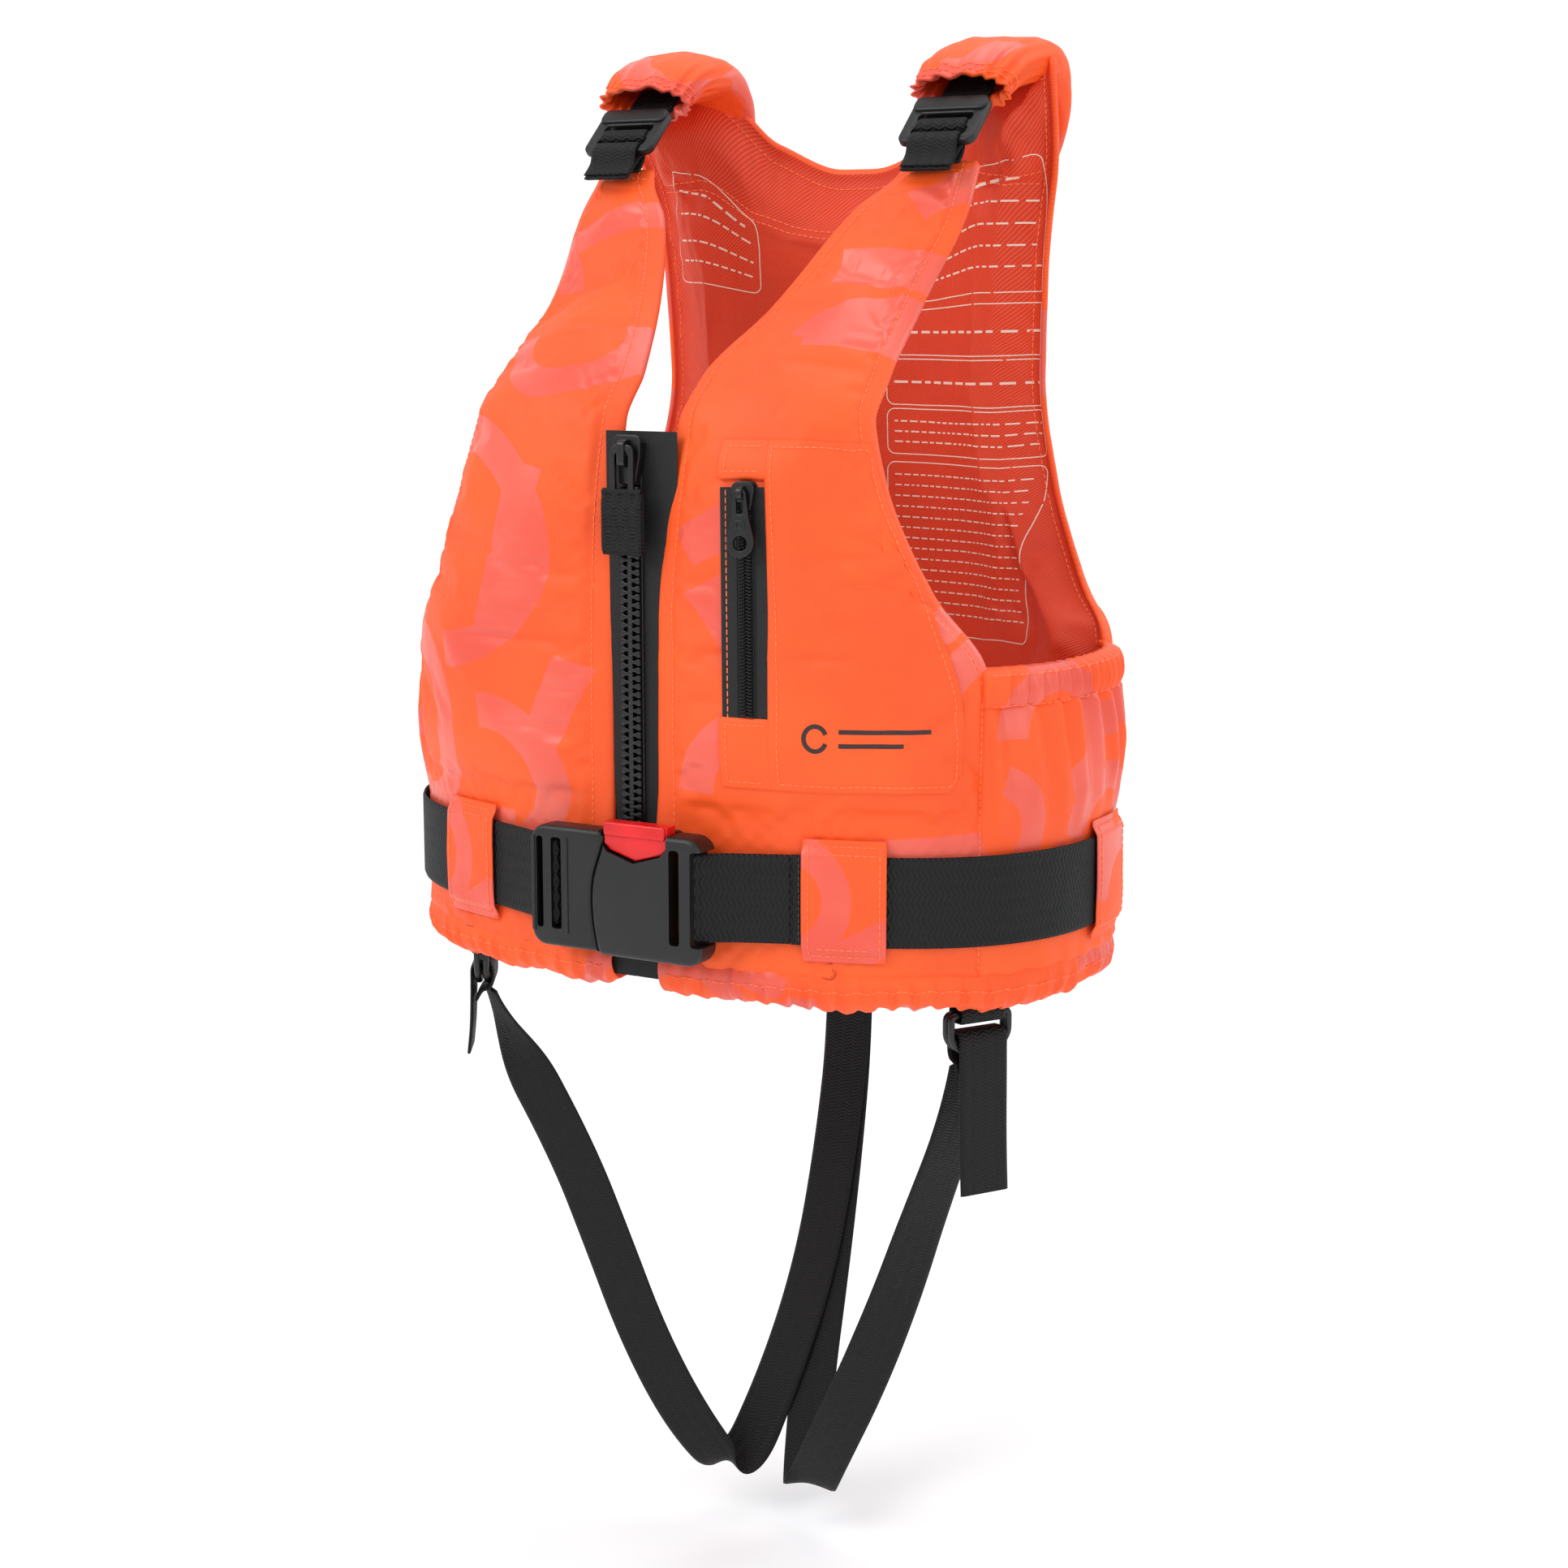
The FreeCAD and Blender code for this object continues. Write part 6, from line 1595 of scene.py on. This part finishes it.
def build_buckle():
    front, rear = -BUCKLE_FRONT, -BUCKLE_REAR       # depth towards the viewer
    socket = Build(upright)
    outer = (parting() + arc(-5.2, 24.2, 2.8, 150, 95, 4) + arc(37.0, 19.0, 8.0, 88, 8, 8)
             + [(45.0, -21.0)] + arc(37.0, -22.0, 8.0, -8, -88, 8)
             + arc(-6.0, -27.2, 2.8, 265, 200, 4))
    socket.plate([outer], rear, front, 2.6, steps=4)
    obj = socket.make("buckle_socket_shell")
    # the webbing's two bays, the tongue's chamber, and the button's notch with its pocket below
    cutters = [cutter(rounded(29.0, -21.2, 34.2, 21.2, 1.6), rear - 2, front + 2),
               cutter(rounded(39.8, -21.2, 47.5, 21.2, 1.6), rear - 2, front + 2),
               cutter(rounded(-20, -22.6, 7.5, 22.6, 1.0), 119.4, 126.4)]
    for drop, low, high in ((0.0, front - 2.4, front + 3), (3.9, 119.2, front - 1.7)):
        cutters.append(cutter([(-6.6, 40), (-6.6, 20.9 - drop), (-3.2, 17.4 - drop),
                               (10.5, 13.2 - drop), (24.2, 17.4 - drop), (27.6, 20.9 - drop),
                               (27.6, 40)], low, high))
    carve(obj, *cutters)
    finish_piece(obj, "jacket", "black", ["buckle_socket"])
    trim = Build(upright)
    trim.tube(bar((37.0, -22.0, -BUCKLE_Y), (37.0, 22.0, -BUCKLE_Y)), 2.0, 14)
    # the guard behind the button
    trim.plate([rounded(-7.0, 17.0, 28.0, 27.6, 2.0)], rear + 0.4, 119.0, 0.8)
    finish_piece(trim.make("buckle_socket_bar"), "jacket", "black")

    button = Build(upright)
    face = ([(-5.9, 30.4), (-5.9, 20.8), (-2.9, 17.8), (10.5, 13.9), (23.9, 17.8), (26.9, 20.8),
             (26.9, 30.4)])
    button.plate([face], 120.6, front - 2.1, 0.9, steps=3)
    button.plate([rounded(-5.4, 24.5, 26.4, 30.6, 1.2)], 126.0, front - 0.6, 0.9)
    finish_piece(button.make("buckle_button_red"), "button", "red",
                 ["buckle_button"])

    tongue = Build(upright)
    left = (arc(-37.5, -21.5, 7.5, 180, 268, 8)
            + [(-9.0, -29.0)] + [(x - 0.5, z) for x, z in parting()] + [(-9.0, 26.0)]
            + arc(-37.5, 18.5, 7.5, 92, 180, 8))
    slots = [rounded(-41.6, -20.8, -38.2, 20.8, 1.4), rounded(-33.8, -20.8, -28.4, 20.8, 1.4)]
    tongue.plate([left], rear + 1.0, front - 1.2, 2.2, steps=4)
    obj = tongue.make("buckle_tongue_frame")
    carve(obj, *(cutter(slot, rear - 2, front + 2) for slot in slots))
    finish_piece(obj, "tongue", "black", ["buckle_tongue"])
    tongue = Build(upright)
    tongue.plate([rounded(-25.0, -21.8, 4.9, 12.2, 2.0)], 119.9, 125.9, 0.6)
    tongue.tube(bar((-36.0, -22.0, -BUCKLE_Y), (-36.0, 22.0, -BUCKLE_Y)), 2.1, 14)
    # raised frame round the slots
    for x in (-43.2, -25.6):
        tongue.plate([rounded(x - 0.9, -22.5, x + 0.9, 21.0, 0.8)], front - 2.0, front - 0.6, 0.5)
    finish_piece(tongue.make("buckle_tongue_prongs"), "tongue",
                 "black")


# ------------------------------------------------------------------ shoulder hardware
LEAN = radians(43.0)


def leaning(sign):
    """From the adjuster's frame (y up the slope, z out of it) to the jacket."""
    def place(p):
        y = p[:, 1] * cos(LEAN) - p[:, 2] * sin(LEAN)
        z = p[:, 1] * sin(LEAN) + p[:, 2] * cos(LEAN)
        return np.stack([p[:, 0] + sign * STRAP_X, y + 18.0, z + 335.0], -1)
    return place


LOW_BAR, MID_BAR = -12.5, -3.1          # the ladder's bars, up its slope


def build_adjusters():
    for side, sign in SIDES:
        plate = Build(leaning(sign))
        plate.plate([rounded(-19.0, -14.5, 19.0, 14.5, 4.0), rounded(-13.5, -10.4, 13.5, -5.2, 1.6),
                     rounded(-13.5, -1.0, 13.5, 4.2, 1.6)], -2.0, 2.0, 0.9)
        # broad curved grip with its step
        plate.plate([rounded(-18.2, 5.4, 18.2, 14.4, 3.2)], 1.2, 3.4, 0.9)
        plate.plate([rounded(-15.0, 11.4, 15.0, 14.3, 1.4)], -3.4, -1.0, 0.7)
        plate.tube(bar((-13.6, LOW_BAR, 0), (13.6, LOW_BAR, 0)), 1.9, 12)
        finish_piece(plate.make("adjuster_plate_" + side), "adjuster_" + side,
                     "black", ["shoulder_adjuster_" + side])
        loop = Build(leaning(sign))
        r = 3.1
        turn = [(0, LOW_BAR - 17, -2.3), (0, LOW_BAR - 8, -2.6)] + [
            (0, LOW_BAR + r * cos(a), r * sin(a)) for a in np.radians(np.linspace(-75, 90, 10))]
        turn += [(0, LOW_BAR - 3, 2.6), (0, LOW_BAR - 8, -0.6), (0, LOW_BAR - 16, -0.9)]
        loop.ribbon(curve_line(turn, 70), (1, 0, 0), STRAP_WIDTH, WEB, 15)
        finish_piece(loop.make("anchor_web_" + side, False), "jacket",
                     "strap", ["anchor_loop_" + side])
        web = Build(leaning(sign))
        top, low = MID_BAR + 2.9, MID_BAR - 2.9
        line = curve_line([(0, 38.0, -5.2), (0, 26.0, -4.6), (0, 17.0, -4.4), (0, 7.0, -3.6),
                           (0, top + 0.8, -1.6), (0, top - 0.2, 1.6), (0, MID_BAR, 2.7),
                           (0, low + 0.2, 1.6), (0, low - 0.8, -1.6), (0, LOW_BAR - 0.5, -5.8),
                           (0, LOW_BAR - 7.0, -7.0)], 90)
        web.ribbon(line, (1, 0, 0), STRAP_WIDTH, WEB, 15)
        obj = web.make("shoulder_web_" + side, False)
        obj.data.materials.append(MATERIALS["strap"])
        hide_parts("shoulder_webbing_" + side)
        ends = leaning(sign)(np.array([(0, 24.0, -4.6), (0, 8.0, -3.6)], float)) * MM
        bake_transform(obj)


# ------------------------------------------------------------------ rings and crotch straps
def ring_place(sign):
    place = np.array([sign * 135.83, -42.26, -57.0])
    right = np.array([0.5163, sign * 0.8564, 0.0])
    out = np.array([sign * 0.8564, -0.5163, 0.0])
    return place, right, out


def build_rings():
    for side, sign in SIDES:
        place = facing(*ring_place(sign))
        for name, depth in (("outer", 2.1), ("inner", -2.1)):
            ring = Build(place)
            half, bend, leg, drop = 15.1, 2.5, -8.0, 10.6
            corner = [(half - bend + bend * sin(a), bend * cos(a) - bend, depth)
                      for a in np.radians((25, 45, 65, 90))]
            path = ([(x, 0.0, depth) for x in np.linspace(bend - half, half - bend, 9)] + corner
                    + [(half * cos(a), leg + drop * sin(a), depth)
                       for a in np.radians(np.linspace(0, -180, 33))]
                    + [(-x, y, depth) for x, y, _ in reversed(corner)])
            ring.tube(path, 1.6, 12, closed=True)
            finish_piece(ring.make("ring_%s_%s" % (name, side)), "rings_" + side,
                         "metal", ["d_ring_%s_%s" % (name, side)])
        tab = Build(place)
        wrap = [(0, 15.0, 1.1), (0, 6.5, 1.6), (0, 4.2, 3.6), (0, 2.2, 5.1), (0, -0.5, 5.2),
                (0, -2.8, 4.0), (0, -3.6, 0), (0, -2.8, -4.0), (0, -0.5, -5.2), (0, 2.2, -5.1),
                (0, 4.2, -3.6), (0, 6.5, -1.6), (0, 15.0, -1.1)]
        tab.ribbon(curve_line(wrap, 80), (1, 0, 0), 23.0, WEB, 13)
        finish_piece(tab.make("ring_tab_" + side, False), "jacket",
                     "strap", ["d_ring_tab_" + side])
        long = 62.0 if sign > 0 else 34.0
        tail = Build(place)
        path = [(0, -20.0 - long, 7.4), (0, -20.0 - long * 0.6, 6.0), (0, -26.0, 5.4),
                (0, -17.0, 5.2), (0, -11.0, 5.0), (0, -8.2, 3.4), (0, -7.6, 0), (0, -8.2, -3.4),
                (0, -11.0, -5.0), (0, -17.0, -5.0), (0, -20.6, -3.4), (0, -22.4, 0.4),
                (0, -27.0, 3.2)]
        tail.ribbon(curve_line(path, 120), (1, 0, 0), STRAP_WIDTH, WEB, 13)
        finish_piece(tail.make("strap_tail_" + side, False), "rings_" + side,
                     "strap", ["crotch_strap_tail_" + side])


STRAP_ROUTES = {
    "left": [(0, 90.1, -44), (0, 90.1, -110), (1, 78.1, -172), (3, 60.1, -232), (9, 32.1, -288.1),
             (20, 6, -334.1), (40, -8, -300), (62, -14, -258), (82, -16, -210), (99, -21, -165),
             (126.35, -34.77, -104.4), (133.35, -40.77, -80.4)],
    "right": [(0, 88, -44), (0, 88, -110), (-1, 76, -172), (-3, 58, -232), (-9, 30, -286),
              (-20, 6, -332), (-40, -8, -300), (-62, -14, -258), (-82, -16, -210),
              (-99, -21, -165), (-126.35, -34.77, -104.4), (-133.35, -40.77, -80.4)],
}


def strap_line(route):
    """The smooth line the strap follows, in metres."""
    curve = bpy.data.curves.new("route", "CURVE")
    curve.dimensions, curve.resolution_u = "3D", 24
    spline = curve.splines.new("NURBS")
    spline.points.add(len(route) - 1)
    for point, place in zip(spline.points, route):
        point.co = (*(c * MM for c in place), 1)
    spline.order_u, spline.use_endpoint_u = 3, True
    mesh = curve_mesh(curve)
    line = np.array([v.co for v in mesh.vertices])
    bpy.data.meshes.remove(mesh)
    return line


def build_straps():
    for side, sign in SIDES:
        line = strap_line(STRAP_ROUTES[side])
        _, right, _ = ring_place(sign)
        step = np.concatenate([[0], np.cumsum(np.linalg.norm(np.diff(line, axis=0), axis=1))])
        length = float(step[-1])
        turn = smooth(step / length, *((0.45, 0.95) if sign > 0 else (0.9, 1.0)))[:, None]
        turn = turn * atan2(right[1], right[0]) + (0 if sign > 0 else 0.35) * smooth(
            step / length, 0.4, 0.6)[:, None]
        across = np.concatenate([np.cos(turn), np.sin(turn), 0 * turn], 1)
        strap = Build()
        strap.ribbon(line / MM, across, STRAP_WIDTH, WEB, 13)
        obj = strap.make("crotch_strap_web_" + side, False)
        obj.data.materials.append(MATERIALS["strap"])
        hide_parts("crotch_strap_" + side)
        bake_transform(obj)


# ------------------------------------------------------------------ lining details
def lining_spot(u, v):
    """Rows and columns of the back's inner face at cloth places in mm."""
    _, _, us, width, height = CLOTH["back"]
    rows, columns = us.shape
    i = (np.asarray(v, float) - FOOT_Z) / height * (rows - 1)
    half = np.interp(i, np.linspace(0, rows - 1, len(width)), width) / 2
    j = (0.5 - np.asarray(u, float) / (2 * half)) * (columns - 1)
    return i, j


def build_label():
    """Printed care label: ruled boxes with rows of short dashes, no words."""
    inner = CLOTH["back"][1]
    label = Build()

    def stroke(points, wide):
        points = np.asarray(points, float)
        i, j = lining_spot(points[:, 0], points[:, 1])
        line, n = inner.at(i, j, np.full(len(points), HOVER))
        run = np.gradient(line, axis=0)
        across = np.cross(n, run)
        across /= np.maximum(1e-12, np.linalg.norm(across, axis=1, keepdims=True))
        label.ribbon(line / MM, across, wide, 0.12, 5)

    for x0, y0, x1, y1, lines in LABEL_BOXES:
        loop = rounded(x0, y0, x1, y1, 4.0, 5)
        loop = np.array(loop + loop[:1])
        fine = np.concatenate([np.linspace(a, b, max(2, int(np.hypot(*(b - a)) / 3)), endpoint=False)
                               for a, b in zip(loop, loop[1:]) if np.hypot(*(b - a)) > 1e-6])
        stroke(np.concatenate([fine, fine[:1]]), 0.55)
        rng = np.random.default_rng(int(y0))
        for y, size in lines:
            x = x0 + 4.0
            while x < x1 - 5.0:
                long = float(rng.uniform(2.2, 6.5)) * size
                long = min(long, x1 - 4.0 - x)
                if long > 1.0:
                    stroke([(x + long * t, y) for t in np.linspace(0, 1, 3)], 1.0 * size)
                x += long + 2.0 * size
    obj = label.make("care_label")
    finish_piece(obj, "jacket", "white_print")


LABEL_BOXES = [
    (18, 258, 112, 306, [(298, 1.6), (288, 0.9), (281, 0.9), (274, 0.9), (267, 0.9)]),
    (18, 232, 112, 254, [(243, 1.2)]),
    (18, 208, 112, 230, [(219, 1.2)]),
    (18, 184, 112, 206, [(200, 0.8), (195, 0.8), (190, 0.8)]),
    (18, 96, 112, 180, [(174 - 5.2 * k, 0.7) for k in range(14)]),
    (-100, 262, -40, 306, [(296, 1.2), (286, 0.9), (277, 0.9), (270, 0.9)]),
]


# ------------------------------------------------------------------ stage
def build_stage():
    """Pale floor sweeping up behind, soft lights and the camera."""
    base = -0.352                               # just below the straps' loops
    depth = np.concatenate([np.linspace(-3.0, 1.4, 6), 1.4 + 1.1 * np.sin(np.linspace(0.08, pi / 2, 14)),
                            np.full(5, 2.5)])
    height = np.concatenate([np.full(6, base), base + 1.1 * (1 - np.cos(np.linspace(0.08, pi / 2, 14))),
                             base + 1.1 + np.linspace(0.4, 2.4, 5)])
    along = np.linspace(-4.5, 4.5, 7)
    turn = radians(30)
    x = along[None] * cos(turn) - depth[:, None] * sin(turn)
    y = along[None] * sin(turn) + depth[:, None] * cos(turn)
    points = np.stack([x, y, np.broadcast_to(height[:, None], x.shape)], -1)
    floor = new_object("stage_floor", points.reshape(-1, 3), grid_faces(*x.shape))
    material, n, shader = blank("stage_pale")
    place = n.add("ShaderNodeTexCoord").outputs["Object"]
    n.put(n.mix(n.noise(place, 3.0, 2.0), linear(246, 246, 247), linear(250, 250, 250)),
          shader.inputs["Base Color"])
    shader.inputs["Roughness"].default_value = 0.8
    floor.data.materials.append(material)
    world = bpy.data.worlds.new("stage_air")
    world.use_nodes = True
    back = world.node_tree.nodes["Background"]
    back.inputs["Color"].default_value = (0.96, 0.98, 1.0, 1)
    back.inputs["Strength"].default_value = 0.72
    bpy.context.scene.world = world
    target = Vector((0.00874, 0.00505, 0.02794))
    for name, place, size, power in (("key", (-1.1, -1.9, 1.7), 1.5,
                                      bpy.context.scene.life_jacket.key_power),
                                     ("fill", (2.1, -1.3, 0.9), 1.8, 15.0),
                                     ("top", (0.2, 0.5, 2.3), 1.6, 15.0),
                                     ("rim", (1.6, 1.9, 1.4), 1.2, 12.0)):
        data = bpy.data.lights.new("stage_" + name, "AREA")
        data.energy, data.size = power, size
        light = bpy.data.objects.new("stage_" + name, data)
        light.location = place
        light.rotation_euler = (target - Vector(place)).to_track_quat("-Z", "Y").to_euler()
        bpy.context.scene.collection.objects.link(light)
    data = bpy.data.cameras.new("stage_camera")
    data.lens, data.sensor_width, data.clip_start = 62.3, 36.0, 0.05
    camera = bpy.data.objects.new("stage_camera", data)
    away = Vector((0.4924, -0.8529, 0.1736))
    camera.location = target + away * 1.3
    camera.rotation_euler = (-away).to_track_quat("-Z", "Y").to_euler()
    bpy.context.scene.collection.objects.link(camera)
    bpy.context.scene.camera = camera
    bpy.context.scene.view_settings.view_transform = "Standard"


# ------------------------------------------------------------------ add-on
def colour(name, description, *shade):
    """Colour property with its default given as red, green and blue from 0 to 255."""
    return bpy.props.FloatVectorProperty(name=name, description=description, subtype="COLOR",
                                         size=3, min=0.0, max=1.0, default=linear(*shade)[:3])


class LifeJacketSettings(bpy.types.PropertyGroup):
    """Sizes and colours that a user would change."""

    shell_dark: colour("Shell Dark", "Outer cloth at its darkest", 246, 80, 10)
    shell_light: colour("Shell Light", "Outer cloth at its lightest", 252, 90, 16)
    print_dark: colour("Print Dark", "Tonal print at its darkest", 228, 78, 58)
    print_light: colour("Print Light", "Tonal print at its lightest", 240, 102, 84)
    button_dark: colour("Button Dark", "Release button at its darkest", 200, 8, 12)
    button_light: colour("Button Light", "Release button at its lightest", 228, 18, 22)
    pressure: bpy.props.FloatProperty(
        name="Filling", description="How hard the foam fills its cover", default=6.0, min=0.0)
    ripple: bpy.props.FloatProperty(
        name="Ripple", description="Depth of the broad waves in the cloth, in millimetres",
        default=0.9, min=0.0)
    stitch_length: bpy.props.FloatProperty(
        name="Stitch Length", description="Length of one stitch of the seams", default=0.0026,
        min=0.001, precision=5, subtype="DISTANCE", unit="LENGTH")
    stitch_width: bpy.props.FloatProperty(
        name="Stitch Width", description="Width of the thread in the seams", default=0.00062,
        min=0.0002, precision=5, subtype="DISTANCE", unit="LENGTH")
    key_power: bpy.props.FloatProperty(
        name="Main Light", description="Power of the main light", default=34.0, min=0.0,
        subtype="POWER", unit="POWER")


class LIFEJACKET_OT_materials(bpy.types.Operator):
    """Make the cloth, webbing, plastic and thread materials."""

    bl_idname = "lifejacket.materials"
    bl_label = "Materials"

    def execute(self, context):
        make_materials()
        return {"FINISHED"}


class LIFEJACKET_OT_fronts(bpy.types.Operator):
    """Build the two padded front panels and their stitching."""

    bl_idname = "lifejacket.fronts"
    bl_label = "Front Panels"

    def execute(self, context):
        build_fronts()
        return {"FINISHED"}


class LIFEJACKET_OT_back(bpy.types.Operator):
    """Build the padded back panel and its printed label."""

    bl_idname = "lifejacket.back"
    bl_label = "Back Panel"

    def execute(self, context):
        build_back()
        build_label()
        return {"FINISHED"}


class LIFEJACKET_OT_sides(bpy.types.Operator):
    """Build the gathered side panels and the hem."""

    bl_idname = "lifejacket.sides"
    bl_label = "Sides and Hem"

    def execute(self, context):
        build_sides()
        build_hems()
        return {"FINISHED"}


class LIFEJACKET_OT_shoulders(bpy.types.Operator):
    """Build the shoulder tunnels."""

    bl_idname = "lifejacket.shoulders"
    bl_label = "Shoulders"

    def execute(self, context):
        build_shoulders()
        return {"FINISHED"}


class LIFEJACKET_OT_front_zip(bpy.types.Operator):
    """Build the front zip with its slider, pull and tag."""

    bl_idname = "lifejacket.front_zip"
    bl_label = "Front Zip"

    def execute(self, context):
        build_front_zip()
        return {"FINISHED"}


class LIFEJACKET_OT_pocket(bpy.types.Operator):
    """Build the chest pocket with its zip and printed mark."""

    bl_idname = "lifejacket.pocket"
    bl_label = "Pocket"

    def execute(self, context):
        build_pocket()
        return {"FINISHED"}


class LIFEJACKET_OT_belt(bpy.types.Operator):
    """Build the waist belt and its keepers."""

    bl_idname = "lifejacket.belt"
    bl_label = "Belt"

    def execute(self, context):
        build_belt()
        build_keepers()
        return {"FINISHED"}


class LIFEJACKET_OT_buckle(bpy.types.Operator):
    """Build the push-button buckle."""

    bl_idname = "lifejacket.buckle"
    bl_label = "Buckle"

    def execute(self, context):
        build_buckle()
        return {"FINISHED"}


class LIFEJACKET_OT_adjusters(bpy.types.Operator):
    """Build the adjusters and their webbing."""

    bl_idname = "lifejacket.adjusters"
    bl_label = "Shoulder Adjusters"

    def execute(self, context):
        build_adjusters()
        return {"FINISHED"}


class LIFEJACKET_OT_straps(bpy.types.Operator):
    """Build the rings, their tabs and the crotch straps."""

    bl_idname = "lifejacket.straps"
    bl_label = "Crotch Straps"

    def execute(self, context):
        build_rings()
        build_straps()
        return {"FINISHED"}


class LIFEJACKET_OT_stage(bpy.types.Operator):
    """Build the floor, the lights and the camera."""

    bl_idname = "lifejacket.stage"
    bl_label = "Stage"

    def execute(self, context):
        build_stage()
        return {"FINISHED"}


STEPS = (LIFEJACKET_OT_materials, LIFEJACKET_OT_fronts, LIFEJACKET_OT_back, LIFEJACKET_OT_sides,
         LIFEJACKET_OT_shoulders, LIFEJACKET_OT_front_zip, LIFEJACKET_OT_pocket,
         LIFEJACKET_OT_belt, LIFEJACKET_OT_buckle, LIFEJACKET_OT_adjusters, LIFEJACKET_OT_straps,
         LIFEJACKET_OT_stage)


class LIFEJACKET_PT_panel(bpy.types.Panel):
    """Buttons for every part of the jacket, and its settings."""

    bl_label = "Life Jacket"
    bl_space_type = "VIEW_3D"
    bl_region_type = "UI"
    bl_category = "Life Jacket"

    def draw(self, context):
        for key in LifeJacketSettings.__annotations__:
            self.layout.prop(context.scene.life_jacket, key)
        for step in STEPS:
            self.layout.operator(step.bl_idname)


def register():
    for one in (LifeJacketSettings, *STEPS, LIFEJACKET_PT_panel):
        bpy.utils.register_class(one)
    bpy.types.Scene.life_jacket = bpy.props.PointerProperty(type=LifeJacketSettings)


def unregister():
    del bpy.types.Scene.life_jacket
    for one in reversed((LifeJacketSettings, *STEPS, LIFEJACKET_PT_panel)):
        bpy.utils.unregister_class(one)


def main():
    register()
    for step in STEPS:
        getattr(bpy.ops.lifejacket, step.bl_idname.split(".")[1])()


if __name__ == "__main__":
    main()
